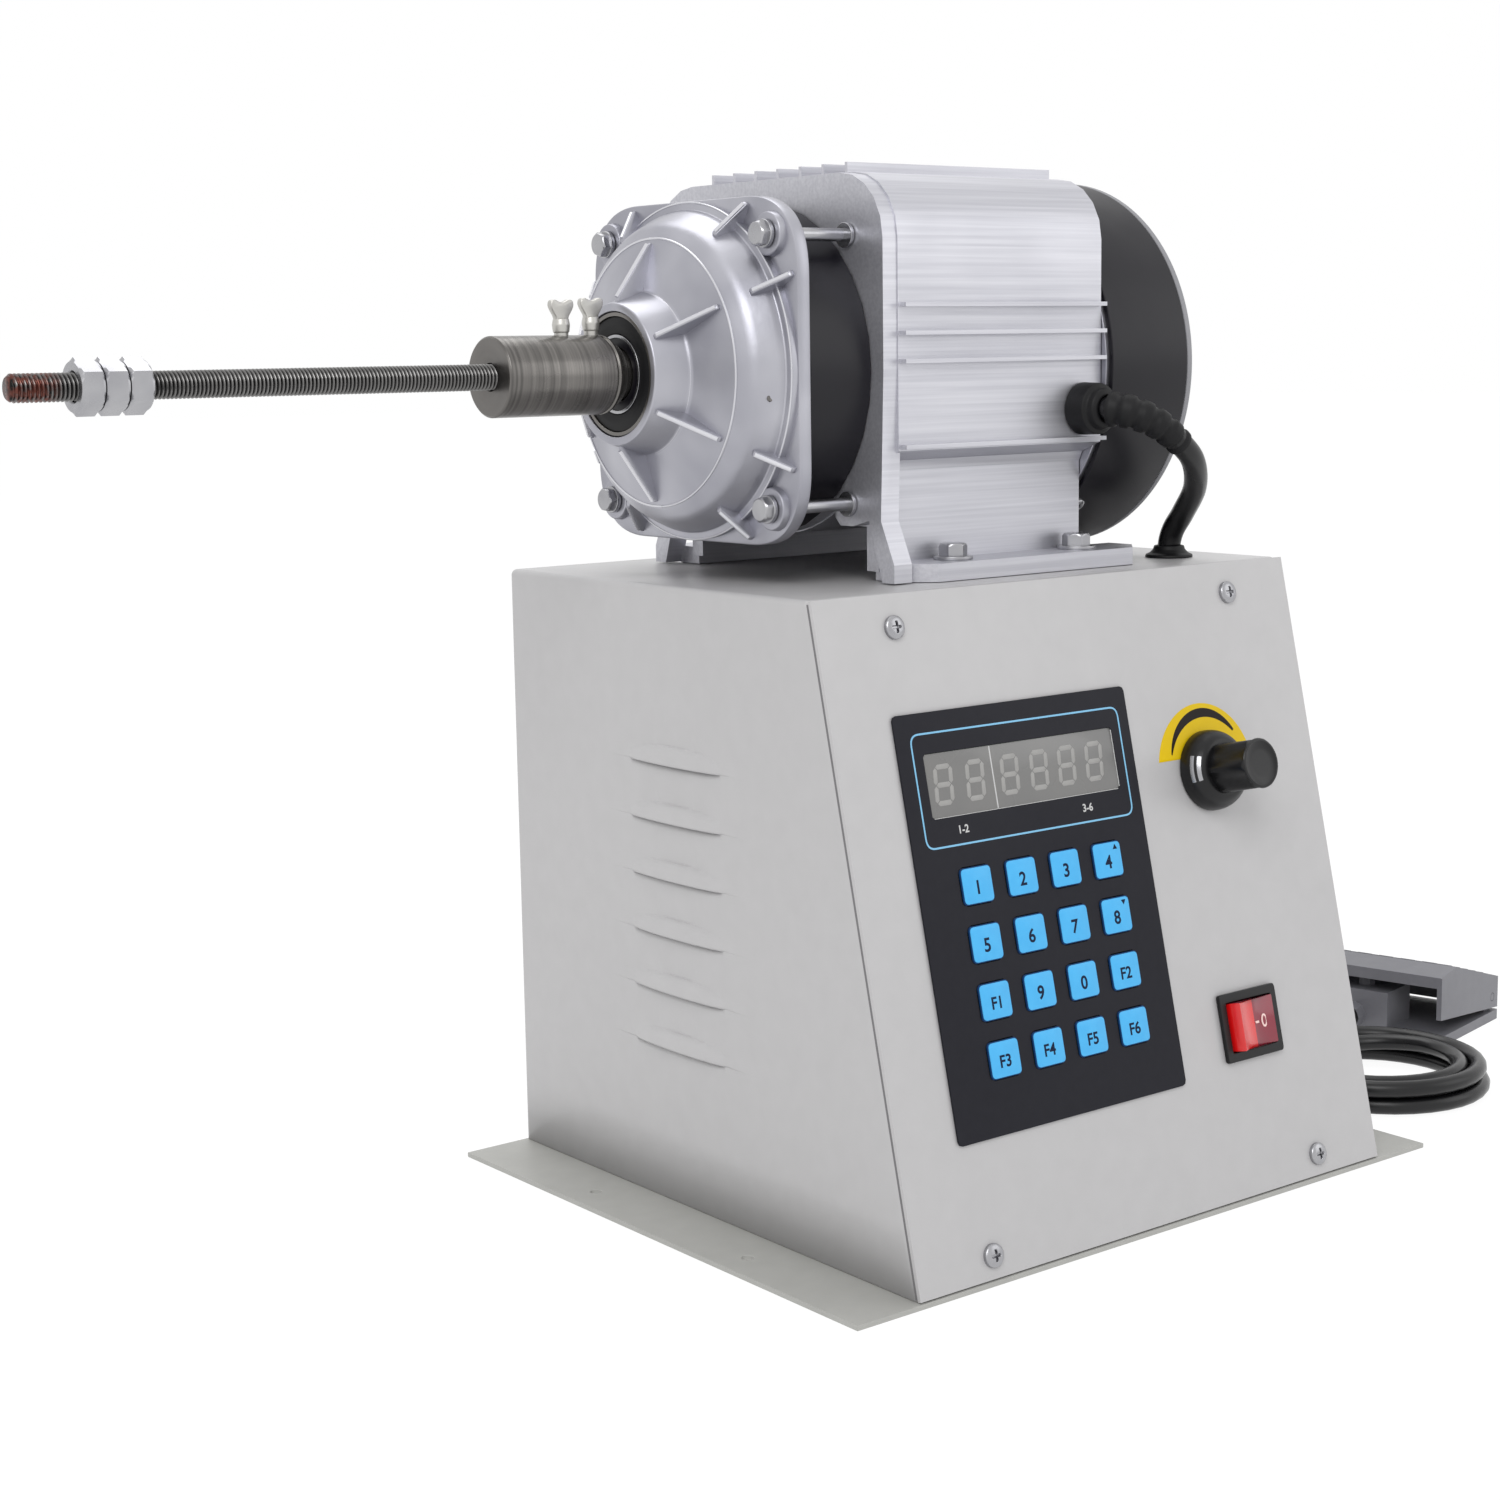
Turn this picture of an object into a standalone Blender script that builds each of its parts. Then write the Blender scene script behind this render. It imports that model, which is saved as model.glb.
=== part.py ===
"""Bench coil winding machine: a slanted control case with a geared motor on top,
a threaded winding spindle in a screw chuck, and a foot pedal on a lead.

Metres, +Z up. The front panel faces -Y, the spindle points to -X, and the origin lies
under the middle of the base plate, on the surface that the machine stands on.
"""
import math

import bmesh
import bpy
from mathutils import Matrix, Vector

# Fits shared by all pieces
SEAT_GAP = 0.0003
CUT_OVERRUN = 0.002
MERGE_DISTANCE = 0.00001

# Sheet-metal case
CASE_WIDTH = 0.256
CASE_DEPTH = 0.257
CASE_TOP_DEPTH = 0.199
CASE_HEIGHT = 0.250
SHEET_THICKNESS = 0.0015
SHEET_BEND_RADIUS = 0.0025
FRONT_LIP_WIDTH = 0.021
BASE_THICKNESS = 0.002
FLANGE_REACH = 0.030
FLANGE_HOLE_RADIUS = 0.0025
FLANGE_HOLE_INSET = 0.0125
FLANGE_HOLE_PITCH = 0.100

# Louvres pressed into both side walls
LOUVRE_COUNT = 6
LOUVRE_LENGTH = 0.060
LOUVRE_HEIGHT = 0.010
LOUVRE_RISE = 0.003
LOUVRE_PITCH = 0.0229
LOUVRE_TOP_Z = 0.181
LOUVRE_MID_Y = 0.014
LOUVRE_SLOT_LENGTH = 0.052
LOUVRE_SLOT_DROP = 0.0012

# Screws of the front panel, in panel places: across, and down from its top edge
PANEL_SCREW_ACROSS = 0.091
PANEL_SCREW_TOP = 0.0126
PANEL_SCREW_FOOT = 0.01134
PAN_HEAD_RADIUS = 0.0045
PAN_HEAD_HEIGHT = 0.0024
PAN_SHANK_RADIUS = 0.0020
PAN_SHANK_LENGTH = 0.0080

# Keypad overlay, in panel places
OVERLAY_LEFT = -0.0996
OVERLAY_RIGHT = 0.0216
OVERLAY_TOP = 0.0450
OVERLAY_BOTTOM = 0.2038
OVERLAY_THICKNESS = 0.0008
WINDOW_LEFT = -0.0874
WINDOW_RIGHT = 0.0113
WINDOW_TOP = 0.0604
WINDOW_BOTTOM = 0.0847

# Keys
KEY_ROWS = 4
KEY_COLUMNS = 4
KEY_FIRST_ACROSS = -0.0714
KEY_FIRST_DOWN = 0.1112
KEY_PITCH_ACROSS = 0.0230
KEY_PITCH_DOWN = 0.02167
KEY_WIDTH = 0.0155
KEY_HEIGHT = 0.0140
KEY_CORNER_RADIUS = 0.0020
KEY_PROUD = 0.0009
KEY_LIP = 0.0010
KEY_LIP_THICKNESS = 0.0008
KEY_STEM_WIDTH = 0.0035
KEY_TRAVEL = 0.0004

# Circuit board behind the panel
BOARD_SET_BACK = 0.0085
BOARD_THICKNESS = 0.0016
BOARD_MARGIN = 0.0030
DISPLAY_RIM = 0.0016
TACT_SIZE = 0.0060
TACT_HEIGHT = 0.0040
BOARD_POST_RADIUS = 0.0030
BOARD_POST_INSET = 0.0055

# Speed control
KNOB_ACROSS = 0.0628
KNOB_DOWN = 0.0835
KNOB_SKIRT_RADIUS = 0.0163
KNOB_SKIRT_HEIGHT = 0.0100
KNOB_RIM_HEIGHT = 0.0015
KNOB_GRIP_RADIUS = 0.0106
KNOB_FLUTE_DEPTH = 0.0008
KNOB_FLUTES = 6
KNOB_HEIGHT = 0.0290
KNOB_CAP_RADIUS = 0.0101
KNOB_CAP_RISE = 0.0010
KNOB_BORE_DEPTH = 0.0150
POT_SHAFT_RADIUS = 0.0030
POT_SHAFT_REACH = 0.0140
POT_BUSH_RADIUS = 0.0036
POT_BODY_RADIUS = 0.0085
POT_BODY_DEPTH = 0.0100
POT_TAG_LENGTH = 0.0060
POT_TAG_WIDTH = 0.0110
POT_TAG_THICKNESS = 0.0010

# Power switch
SWITCH_ACROSS = 0.0628
SWITCH_FOOT = 0.07014
SWITCH_BEZEL_WIDTH = 0.0330
SWITCH_BEZEL_HEIGHT = 0.0275
SWITCH_BEZEL_THICKNESS = 0.0020
SWITCH_BODY_WIDTH = 0.0290
SWITCH_BODY_HEIGHT = 0.0225
SWITCH_BODY_DEPTH = 0.0220
SWITCH_WELL_WIDTH = 0.0262
SWITCH_WELL_HEIGHT = 0.0200
SWITCH_WELL_DEPTH = 0.0130
SWITCH_TAG_LENGTH = 0.0070
SWITCH_TAG_WIDTH = 0.0045
SWITCH_TAG_THICKNESS = 0.0008
SWITCH_TAG_PITCH = 0.0070
PADDLE_HALF_LENGTH = 0.0120
PADDLE_END_RISE = 0.0052
PADDLE_MIDDLE_RISE = 0.0030
PADDLE_PIVOT_DEPTH = 0.0030
PADDLE_KEEL_DEPTH = 0.0070
PADDLE_KEEL_HALF = 0.0040
PADDLE_TILT = math.radians(9.0)

# Spindle axis, measured from the top of the case
SPINDLE_RISE = 0.081

# Motor housing: outline across the axis, and stations along it
HOUSING_FRONT_X = -0.0680
HOUSING_WALL_THICKNESS = 0.0070
HOUSING_REAR_X = 0.0480
FRONT_WALL_STEP = 0.0005
BOLT_BOSS_MARGIN = 0.0090
HOUSING_HALF_WIDTH = 0.0720
HOUSING_TOP_RISE = 0.0750
HOUSING_CORNER_RADIUS = 0.0250
LEG_HALF_WIDTH = 0.0600
LEG_SHOULDER_DROP = 0.0300
LEG_THICKNESS = 0.0070
FRONT_LEG_HALF_WIDTH = 0.0695
FRONT_LEG_FLARE = 0.0075
FRONT_LEG_FLARE_DROP = 0.0570
BARREL_RADIUS = 0.0650
STATOR_BORE_RADIUS = 0.0580
FIN_DEPTH = 0.0040
FIN_THICKNESS = 0.0016
SIDE_FIN_TOP = 0.0245
SIDE_FIN_PITCH = 0.0106
SIDE_FIN_COUNT = 3
LEDGE_DROP = 0.0290
TOP_FIN_COUNT = 7
TOP_FIN_PITCH = 0.0140
FOOT_HALF_SPAN = 0.0810
FOOT_WIDTH = 0.0240
FOOT_THICKNESS = 0.0070
FOOT_FRONT_X = -0.0600
FOOT_REAR_X = 0.0690
FOOT_CHAMFER = 0.0110
FOOT_BOLT_SPAN = 0.0685
FOOT_BOLT_FRONT_X = -0.0300
FOOT_BOLT_PITCH = 0.0680

# Flange bolts of the feet
FOOT_BOLT_RADIUS = 0.0030
FOOT_BOLT_CORNER_RADIUS = 0.0058
FOOT_BOLT_HEAD_HEIGHT = 0.0050
FOOT_BOLT_WASHER_RADIUS = 0.0078
FOOT_BOLT_WASHER_THICKNESS = 0.0015
TAPPED_PLATE_THICKNESS = 0.0040
TAPPED_PLATE_MARGIN = 0.0120

# Rotor, stator, rear shield
SHAFT_RADIUS = 0.0060
ROTOR_RADIUS = 0.0355
ROTOR_FRONT_X = -0.0380
ROTOR_REAR_X = 0.0180
STATOR_INNER_RADIUS = 0.0360
WINDING_OUTER_RADIUS = 0.0530
WINDING_REACH = 0.0120
SHIELD_THICKNESS = 0.0100
SHIELD_SPIGOT = 0.0050
SHIELD_SPIGOT_WALL = 0.0060

# Fan, cowl and grille
COWL_RADIUS = 0.0770
COWL_WALL = 0.0020
COWL_FRONT_X = 0.0500
COWL_REAR_X = 0.0940
GRILLE_RISE = 0.0050
GRILLE_THICKNESS = 0.0018
GRILLE_RIM = 0.0080
GRILLE_SLOT_WIDTH = 0.0045
GRILLE_SLOT_PITCH = 0.0125
GRILLE_SLOTS = 9
FAN_HUB_RADIUS = 0.0130
FAN_RADIUS = 0.0640
FAN_FRONT_X = 0.0630
FAN_DEPTH = 0.0180
FAN_BLADES = 8
FAN_BLADE_THICKNESS = 0.0016
FAN_PLATE_THICKNESS = 0.0020
COWL_SCREW_X = 0.0545
COWL_SCREW_RADIUS = 0.0017
COWL_SCREW_HEAD_RADIUS = 0.0038
COWL_SCREW_HEAD_HEIGHT = 0.0020
COWL_SCREW_LENGTH = 0.0080
COWL_SCREW_ANGLE = math.radians(42.0)

# Planetary gears
GEAR_MODULE = 0.00233
SUN_TEETH = 9
PLANET_TEETH = 18
RING_TEETH = 45
PLANET_COUNT = 3
ADDENDUM_SHARE = 0.80
DEDENDUM_SHARE = 1.15
TOOTH_TIP_SHARE = 0.095
TOOTH_ROOT_SHARE = 0.300
GEAR_FRONT_X = -0.0960
GEAR_REAR_X = -0.0810
RING_OUTER_RADIUS = 0.0650
RING_FRONT_X = -0.0980

# Gear head cover
COVER_HALF_WIDTH = 0.0655
COVER_CORNER_RADIUS = 0.0300
COVER_FLANGE_THICKNESS = 0.0060
COVER_WALL = 0.0040
COVER_HUB_X = -0.1420
COVER_FACE_X = -0.1280
COVER_HUB_TIP_RADIUS = 0.0270
COVER_HUB_FOOT_RADIUS = 0.0310
COVER_FACE_RADIUS = 0.0515
COVER_FACE_DROP = 0.0055
COVER_SHOULDER_RADIUS = 0.0570
COVER_SHOULDER_DROP = 0.0040
COVER_DRUM_RADIUS = 0.0620
COVER_STEP_RADIUS = 0.0650
COVER_STEP_HEIGHT = 0.0030
COVER_CAVITY_RADIUS = 0.0570
COVER_CAVITY_TAPER = 0.0040
COVER_RIBS = 6
COVER_RIB_THICKNESS = 0.0022
COVER_RIB_REACH = 0.0490
GUSSET_THICKNESS = 0.0026
GUSSET_LENGTH = 0.0110
GUSSET_REACH = 0.0730
GUSSET_SPREAD = math.radians(15.0)
COVER_BOSS_RADIUS = 0.0085
COVER_BOSS_HEIGHT = 0.0030

# Through bolts of the gear head
THROUGH_BOLT_SPAN = 0.0510
THROUGH_BOLT_RADIUS = 0.0025
THROUGH_BOLT_HEAD_RADIUS = 0.0052
THROUGH_BOLT_HEAD_HEIGHT = 0.0052
THROUGH_BOLT_DEPTH = 0.0300
BOLT_WASHER_RADIUS = 0.0048
BOLT_WASHER_THICKNESS = 0.0016

# Output bearing and carrier
BEARING_RADIUS = 0.0235
BEARING_BORE_RADIUS = 0.0100
BEARING_WIDTH = 0.0140
BEARING_RECESS = 0.0008
BEARING_RACE_RADIUS = 0.0150
BEARING_RACE_GROOVE = 0.0007
BEARING_STOP_RADIUS = 0.0205
CARRIER_RADIUS = 0.0440
CARRIER_THICKNESS = 0.0080
CARRIER_GAP = 0.0030
CARRIER_PIN_RADIUS = 0.0040
CARRIER_PIN_OVERHANG = 0.0030
OUTPUT_TIP_RADIUS = 0.0083
OUTPUT_TIP_X = -0.1585
OUTPUT_STEP_X = -0.1430

# Chuck and rod
CHUCK_RADIUS = 0.0150
CHUCK_FRONT_X = -0.1980
CHUCK_REAR_X = -0.1480
CHUCK_NECK_RADIUS = 0.0120
CHUCK_NECK_X = -0.1435
CHUCK_CHAMFER = 0.0010
CHUCK_WEB = 0.0014
ROD_RADIUS = 0.0049
ROD_TIP_X = -0.3820
ROD_CHAMFER = 0.0010
WING_FRONT_X = -0.1655
WING_REAR_X = -0.1520
WING_SHANK_RADIUS = 0.0024
WING_NECK_RADIUS = 0.0034
WING_NECK_HEIGHT = 0.0050
WING_SPAN = 0.0105
WING_FOOT_WIDTH = 0.0062
WING_HEIGHT = 0.0075
WING_THICKNESS = 0.0030
WING_SHARES = [(1.0, 0.45), (1.0, 0.80), (0.6, 1.0)]
WING_DIP_SHARE = 0.85
WING_FRONT_LIFT = 0.0008
WING_REAR_LIFT = 0.0014

# Nuts on the rod
NUT_ACROSS_FLATS = 0.0170
NUT_THICKNESS = 0.0084
NUT_CHAMFER = 0.0009
NUT_INNER_X = -0.3340

# Motor lead
GLAND_X = 0.0374
GLAND_DROP = 0.0170
GLAND_RADIUS = 0.0105
GLAND_LENGTH = 0.0100
GLAND_NOSE_RADIUS = 0.0075
GLAND_NOSE_LENGTH = 0.0040
MOTOR_LEAD_RADIUS = 0.0048
MOTOR_LEAD_ROUTE = [
    (0.0374, -0.0790, 0.0640), (0.0374, -0.0870, 0.0640), (0.0410, -0.0945, 0.0628),
    (0.0495, -0.1005, 0.0585), (0.0600, -0.1030, 0.0510), (0.0720, -0.1005, 0.0425),
    (0.0850, -0.0900, 0.0310), (0.0940, -0.0755, 0.0195), (0.0966, -0.0678, 0.0120),
    (0.0970, -0.0651, 0.0055), (0.0970, -0.0650, -0.0020), (0.0970, -0.0650, -0.0180),
]
MOTOR_LEAD_POINTS = 20
LEAD_CLEARANCE = 0.0006
GROMMET_X = 0.0970
GROMMET_SIDE = 0.0650
GROMMET_RADIUS = 0.0100
GROMMET_NECK_RADIUS = 0.0065
GROMMET_RISE = 0.0050
GROMMET_DEPTH = 0.0040
GROMMET_HOLE_RADIUS = 0.0078

# Glands for the pedal lead and the mains lead
LEAD_GLAND_RADIUS = 0.0100
LEAD_GLAND_THICKNESS = 0.0050
LEAD_GLAND_NOSE_RADIUS = 0.0078
LEAD_GLAND_NOSE_LENGTH = 0.0070
LEAD_GLAND_BODY_RADIUS = 0.0060
LEAD_GLAND_BODY_LENGTH = 0.0080
PEDAL_GLAND_Y = 0.0360
PEDAL_GLAND_Z = 0.0300
MAINS_GLAND_X = 0.0850
MAINS_GLAND_Z = 0.0350

# Pedal lead: loose coil on the floor beside the case
LEAD_RADIUS = 0.00375
COIL_X = 0.2160
COIL_Y = -0.0560
COIL_RADIUS = 0.0515
COIL_STEP = 0.0082
COIL_LAYER_RISE = 0.0082
COIL_FLOOR_GAP = 0.0003
COIL_TURNS = 4
COIL_CLIMB_TURNS = 0.5
COIL_POINTS_PER_TURN = 24
CASE_RUN_ROUTE = [
    (0.1565, 0.0358, 0.0285), (0.1640, 0.0345, 0.0235), (0.1705, 0.0300, 0.0160),
    (0.1770, 0.0220, 0.0090), (0.1830, 0.0125, 0.0052), (0.1900, 0.0030, 0.0041),
]
CASE_RUN_POINTS = 18
PEDAL_RUN_ROUTE = [
    (0.2380, -0.0040, 0.0115), (0.2470, -0.0023, 0.0106), (0.2555, -0.0001, 0.0102),
]
PEDAL_RUN_POINTS = 12

# Foot pedal, in its own frame: X towards the hinge, Y away from the front
PEDAL_X = 0.2900
PEDAL_Y = -0.0380
PEDAL_TURN = math.radians(13.0)
PEDAL_LENGTH = 0.0680
PEDAL_WIDTH = 0.1000
PEDAL_PLATE_THICKNESS = 0.0050
PEDAL_LOW_HEIGHT = 0.0220
PEDAL_HIGH_HEIGHT = 0.0370
PEDAL_CROWN_SHARE = 0.24
PEDAL_SHELL = 0.0025
PEDAL_SKIRT_GAP = 0.0085
PEDAL_HINGE_SKIRT_GAP = 0.0012
PEDAL_HINGE_INSET = 0.0065
PEDAL_HINGE_HEIGHT = 0.0125
PEDAL_PIN_RADIUS = 0.0020
PEDAL_EAR_THICKNESS = 0.0040
PEDAL_EAR_WIDTH = 0.0070
PEDAL_BACK_LIP = 0.0080
PEDAL_SWITCH_LENGTH = 0.0260
PEDAL_SWITCH_WIDTH = 0.0340
PEDAL_SWITCH_HEIGHT = 0.0180
PEDAL_PLUNGER_RADIUS = 0.0040
PEDAL_PLUNGER_HEIGHT = 0.0055
PEDAL_EXIT_ALONG = 0.0450
PEDAL_EXIT_HEIGHT = 0.0105
PEDAL_EXIT_RADIUS = 0.0060
PEDAL_EXIT_LENGTH = 0.0080

# How finely round pieces are cut
FINE_STEPS = 32
ROUND_STEPS = 24
SMALL_STEPS = 12
TINY_STEPS = 8

# Places worked out from the sizes above
CASE_BACK_Y = CASE_DEPTH / 2
CASE_FRONT_Y = -CASE_DEPTH / 2
TOP_FRONT_Y = CASE_BACK_Y - CASE_TOP_DEPTH
PANEL_RUN = TOP_FRONT_Y - CASE_FRONT_Y
SPINDLE_Y = (CASE_BACK_Y + TOP_FRONT_Y) / 2
PANEL_TILT = math.atan2(CASE_HEIGHT, PANEL_RUN)
PANEL_SLOPE = CASE_HEIGHT / math.sin(PANEL_TILT)
SWITCH_DOWN = PANEL_SLOPE - SWITCH_FOOT
CASE_FOOT_Z = BASE_THICKNESS + SEAT_GAP
PANEL_BACK = -SHEET_THICKNESS
OVERLAY_FACE = SEAT_GAP + OVERLAY_THICKNESS
TACT_FACE = TACT_HEIGHT - BOARD_SET_BACK
SPINDLE_Z = CASE_HEIGHT + SPINDLE_RISE
RING_REAR_X = HOUSING_FRONT_X - SEAT_GAP
GEAR_MIDDLE_X = (GEAR_FRONT_X + GEAR_REAR_X) / 2
GEAR_WIDTH = GEAR_REAR_X - GEAR_FRONT_X
PLANET_ORBIT = GEAR_MODULE * (SUN_TEETH + PLANET_TEETH) / 2
COVER_FLANGE_REAR_X = RING_FRONT_X - SEAT_GAP
COVER_FLANGE_FRONT_X = COVER_FLANGE_REAR_X - COVER_FLANGE_THICKNESS
BEARING_FRONT_X = COVER_HUB_X + BEARING_RECESS
BEARING_REAR_X = BEARING_FRONT_X + BEARING_WIDTH
CARRIER_REAR_X = GEAR_FRONT_X - CARRIER_GAP
CARRIER_FRONT_X = CARRIER_REAR_X - CARRIER_THICKNESS

parts_collection = None
cutters_collection = None


def reset_scene():
    """Clear the scene and make one collection for the pieces and one for the cutters."""
    global parts_collection, cutters_collection
    for item in list(bpy.data.objects):
        bpy.data.objects.remove(item, do_unlink=True)
    parts_collection = bpy.data.collections.new("coil_winding_machine")
    cutters_collection = bpy.data.collections.new("cutters")
    bpy.context.scene.collection.children.link(parts_collection)
    bpy.context.scene.collection.children.link(cutters_collection)


def make_material(name, colour, roughness, metallic):
    """Plain Principled material; colour is linear RGB."""
    material = bpy.data.materials.new(name)
    material.use_nodes = True
    shader = material.node_tree.nodes["Principled BSDF"]
    shader.inputs["Base Color"].default_value = (*colour, 1.0)
    shader.inputs["Roughness"].default_value = roughness
    shader.inputs["Metallic"].default_value = metallic
    return material


def add_empty(name, location, rotation):
    """Empty that carries the pieces of one sub-assembly."""
    empty = bpy.data.objects.new(name, None)
    empty.location = location
    empty.rotation_euler = rotation
    parts_collection.objects.link(empty)
    bpy.context.view_layer.update()
    return empty


def add_object(name, mesh, location, rotation, parent, material):
    """Link a mesh object; without a material it is a cutter."""
    item = bpy.data.objects.new(name, mesh)
    item.location = location
    item.rotation_euler = rotation
    item.parent = parent
    if material is None:
        cutters_collection.objects.link(item)
        item.hide_render = True
        item.display_type = "WIRE"
    else:
        parts_collection.objects.link(item)
        mesh.materials.append(material)
    return item


def finish_mesh(name, bm):
    """Turn a bmesh into a mesh with its faces pointing out."""
    bmesh.ops.recalc_face_normals(bm, faces=bm.faces)
    mesh = bpy.data.meshes.new(name)
    bm.to_mesh(mesh)
    bm.free()
    return mesh


def smooth(item, angle=math.radians(35.0)):
    """Shade a round piece smooth, with its corners sharp."""
    item.data.shade_smooth()
    item.data.set_sharp_from_angle(angle=angle)
    return item


def block(name, size, at, parent, material, rotation=(0, 0, 0)):
    """Box of the given size round its own middle."""
    bm = bmesh.new()
    bmesh.ops.create_cube(bm, size=1.0, matrix=Matrix.Diagonal((*size, 1.0)))
    return add_object(name, finish_mesh(name, bm), at, rotation, parent, material)


def blocks(name, sizes_and_places, parent, material):
    """Several separate boxes as one object."""
    bm = bmesh.new()
    for size, place in sizes_and_places:
        matrix = Matrix.Translation(place) @ Matrix.Diagonal((*size, 1.0))
        bmesh.ops.create_cube(bm, size=1.0, matrix=matrix)
    return add_object(name, finish_mesh(name, bm), (0, 0, 0), (0, 0, 0), parent, material)


def cylinders(name, radius, length, places, parent, material, turn=None, steps=SMALL_STEPS):
    """Equal cylinders along local Z, or turned by a matrix, centred on each place."""
    bm = bmesh.new()
    for place in places:
        matrix = Matrix.Translation(place)
        if turn is not None:
            matrix = matrix @ turn
        bmesh.ops.create_cone(bm, cap_ends=True, segments=steps, radius1=radius,
                              radius2=radius, depth=length, matrix=matrix)
    return smooth(add_object(name, finish_mesh(name, bm), (0, 0, 0), (0, 0, 0), parent, material))


def turned(name, profile, location, rotation, parent, material, steps=ROUND_STEPS):
    """Profile of (radius, height) points spun round local Z with a Screw modifier.

    The profile closes on itself, or on the axis where it starts and ends there. It is
    ordered so that the outer side runs from top to bottom.
    """
    area = 0.0
    for (r0, z0), (r1, z1) in zip(profile, profile[1:] + profile[:1]):
        area += r0 * z1 - r1 * z0
    if area > 0:
        profile = profile[::-1]
    on_axis = [point[0] == 0 for point in profile]
    if any(on_axis):
        while not (profile[0][0] == 0 and profile[-1][0] == 0):
            profile = profile[1:] + profile[:1]
    points = [(radius, 0.0, height) for radius, height in profile]
    edges = [(i, i + 1) for i in range(len(points) - 1)]
    if not any(on_axis):
        edges.append((len(points) - 1, 0))
    mesh = bpy.data.meshes.new(name)
    mesh.from_pydata(points, edges, [])
    item = add_object(name, mesh, location, rotation, parent, material)
    screw = item.modifiers.new("spin", "SCREW")
    screw.axis = "Z"
    screw.steps = steps
    screw.render_steps = steps
    screw.use_merge_vertices = True
    screw.merge_threshold = MERGE_DISTANCE
    screw.use_smooth_shade = True
    return item


def outline_mesh(name, loops, thickness):
    """Flat outline, extruded half its thickness each way, as a welded mesh."""
    curve = bpy.data.curves.new(name, "CURVE")
    curve.dimensions = "2D"
    curve.fill_mode = "BOTH"
    curve.extrude = thickness / 2
    for loop in loops:
        spline = curve.splines.new("POLY")
        spline.points.add(len(loop) - 1)
        for point, (x, y) in zip(spline.points, loop):
            point.co = (x, y, 0.0, 1.0)
        spline.use_cyclic_u = True
    holder = bpy.data.objects.new(name + "_outline", curve)
    cutters_collection.objects.link(holder)
    bpy.context.view_layer.update()
    graph = bpy.context.evaluated_depsgraph_get()
    mesh = bpy.data.meshes.new_from_object(holder.evaluated_get(graph))
    bpy.data.objects.remove(holder, do_unlink=True)
    bpy.data.curves.remove(curve)
    bm = bmesh.new()
    bm.from_mesh(mesh)
    bmesh.ops.remove_doubles(bm, verts=bm.verts, dist=MERGE_DISTANCE)
    bpy.data.meshes.remove(mesh)
    return finish_mesh(name, bm)


def plate(name, loops, thickness, at, parent, material, rotation=(0, 0, 0)):
    """Outline plate whose middle plane lies at its own Z zero."""
    return add_object(name, outline_mesh(name, loops, thickness), at, rotation, parent, material)


def tube(name, points, radius, material, resolution):
    """Round tube along hand-set points, with filled ends."""
    curve = bpy.data.curves.new(name, "CURVE")
    curve.dimensions = "3D"
    curve.bevel_depth = radius
    curve.bevel_resolution = resolution
    curve.use_fill_caps = True
    spline = curve.splines.new("POLY")
    spline.points.add(len(points) - 1)
    for point, place in zip(spline.points, points):
        point.co = (*place, 1.0)
    curve.materials.append(material)
    item = bpy.data.objects.new(name, curve)
    parts_collection.objects.link(item)
    return item


def boolean(item, tool, operation):
    """Cut or join with another shape, which stays as a hidden guide."""
    modifier = item.modifiers.new(tool.name, "BOOLEAN")
    modifier.operation = operation
    modifier.solver = "EXACT"
    modifier.object = tool
    return item


def cut(item, *tools):
    for tool in tools:
        boolean(item, tool, "DIFFERENCE")
    return item


def join(item, *tools):
    for tool in tools:
        boolean(item, tool, "UNION")
    return item


def rounded_rectangle(width, height, radius, corner_steps=4, centre=(0, 0)):
    """Points of a rectangle with round corners, counter-clockwise."""
    points = []
    corners = [(1, 1, 0.0), (-1, 1, 90.0), (-1, -1, 180.0), (1, -1, 270.0)]
    for side_x, side_y, start in corners:
        middle_x = centre[0] + side_x * (width / 2 - radius)
        middle_y = centre[1] + side_y * (height / 2 - radius)
        for step in range(corner_steps + 1):
            angle = math.radians(start + 90.0 * step / corner_steps)
            points.append((middle_x + radius * math.cos(angle), middle_y + radius * math.sin(angle)))
    return points


def circle(radius, steps, centre=(0, 0)):
    """Points of a circle, counter-clockwise."""
    angles = [2 * math.pi * step / steps for step in range(steps)]
    return [(centre[0] + radius * math.cos(a), centre[1] + radius * math.sin(a)) for a in angles]


def hexagon(across_flats):
    """Points of a hexagon with two corners on its X axis."""
    corner = across_flats / math.sqrt(3.0)
    return circle(corner, 6)


def gear_outline(teeth, phase, inward=False):
    """Tooth outline: straight flanks between a root and a tip circle.

    A tooth's half width at root and tip is a share of the pitch angle. Inward teeth
    belong to a ring gear, whose tips lie on the smaller circle.
    """
    pitch_radius = GEAR_MODULE * teeth / 2
    side = -1 if inward else 1
    root = pitch_radius - side * GEAR_MODULE * DEDENDUM_SHARE
    tip = pitch_radius + side * GEAR_MODULE * ADDENDUM_SHARE
    pitch = 2 * math.pi / teeth
    points = []
    for tooth in range(teeth):
        middle = phase + pitch * tooth
        corners = [(root, -TOOTH_ROOT_SHARE), (tip, -TOOTH_TIP_SHARE),
                   (tip, TOOTH_TIP_SHARE), (root, TOOTH_ROOT_SHARE)]
        for radius, share in corners:
            angle = middle + share * pitch
            points.append((radius * math.cos(angle), radius * math.sin(angle)))
    return points


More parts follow.
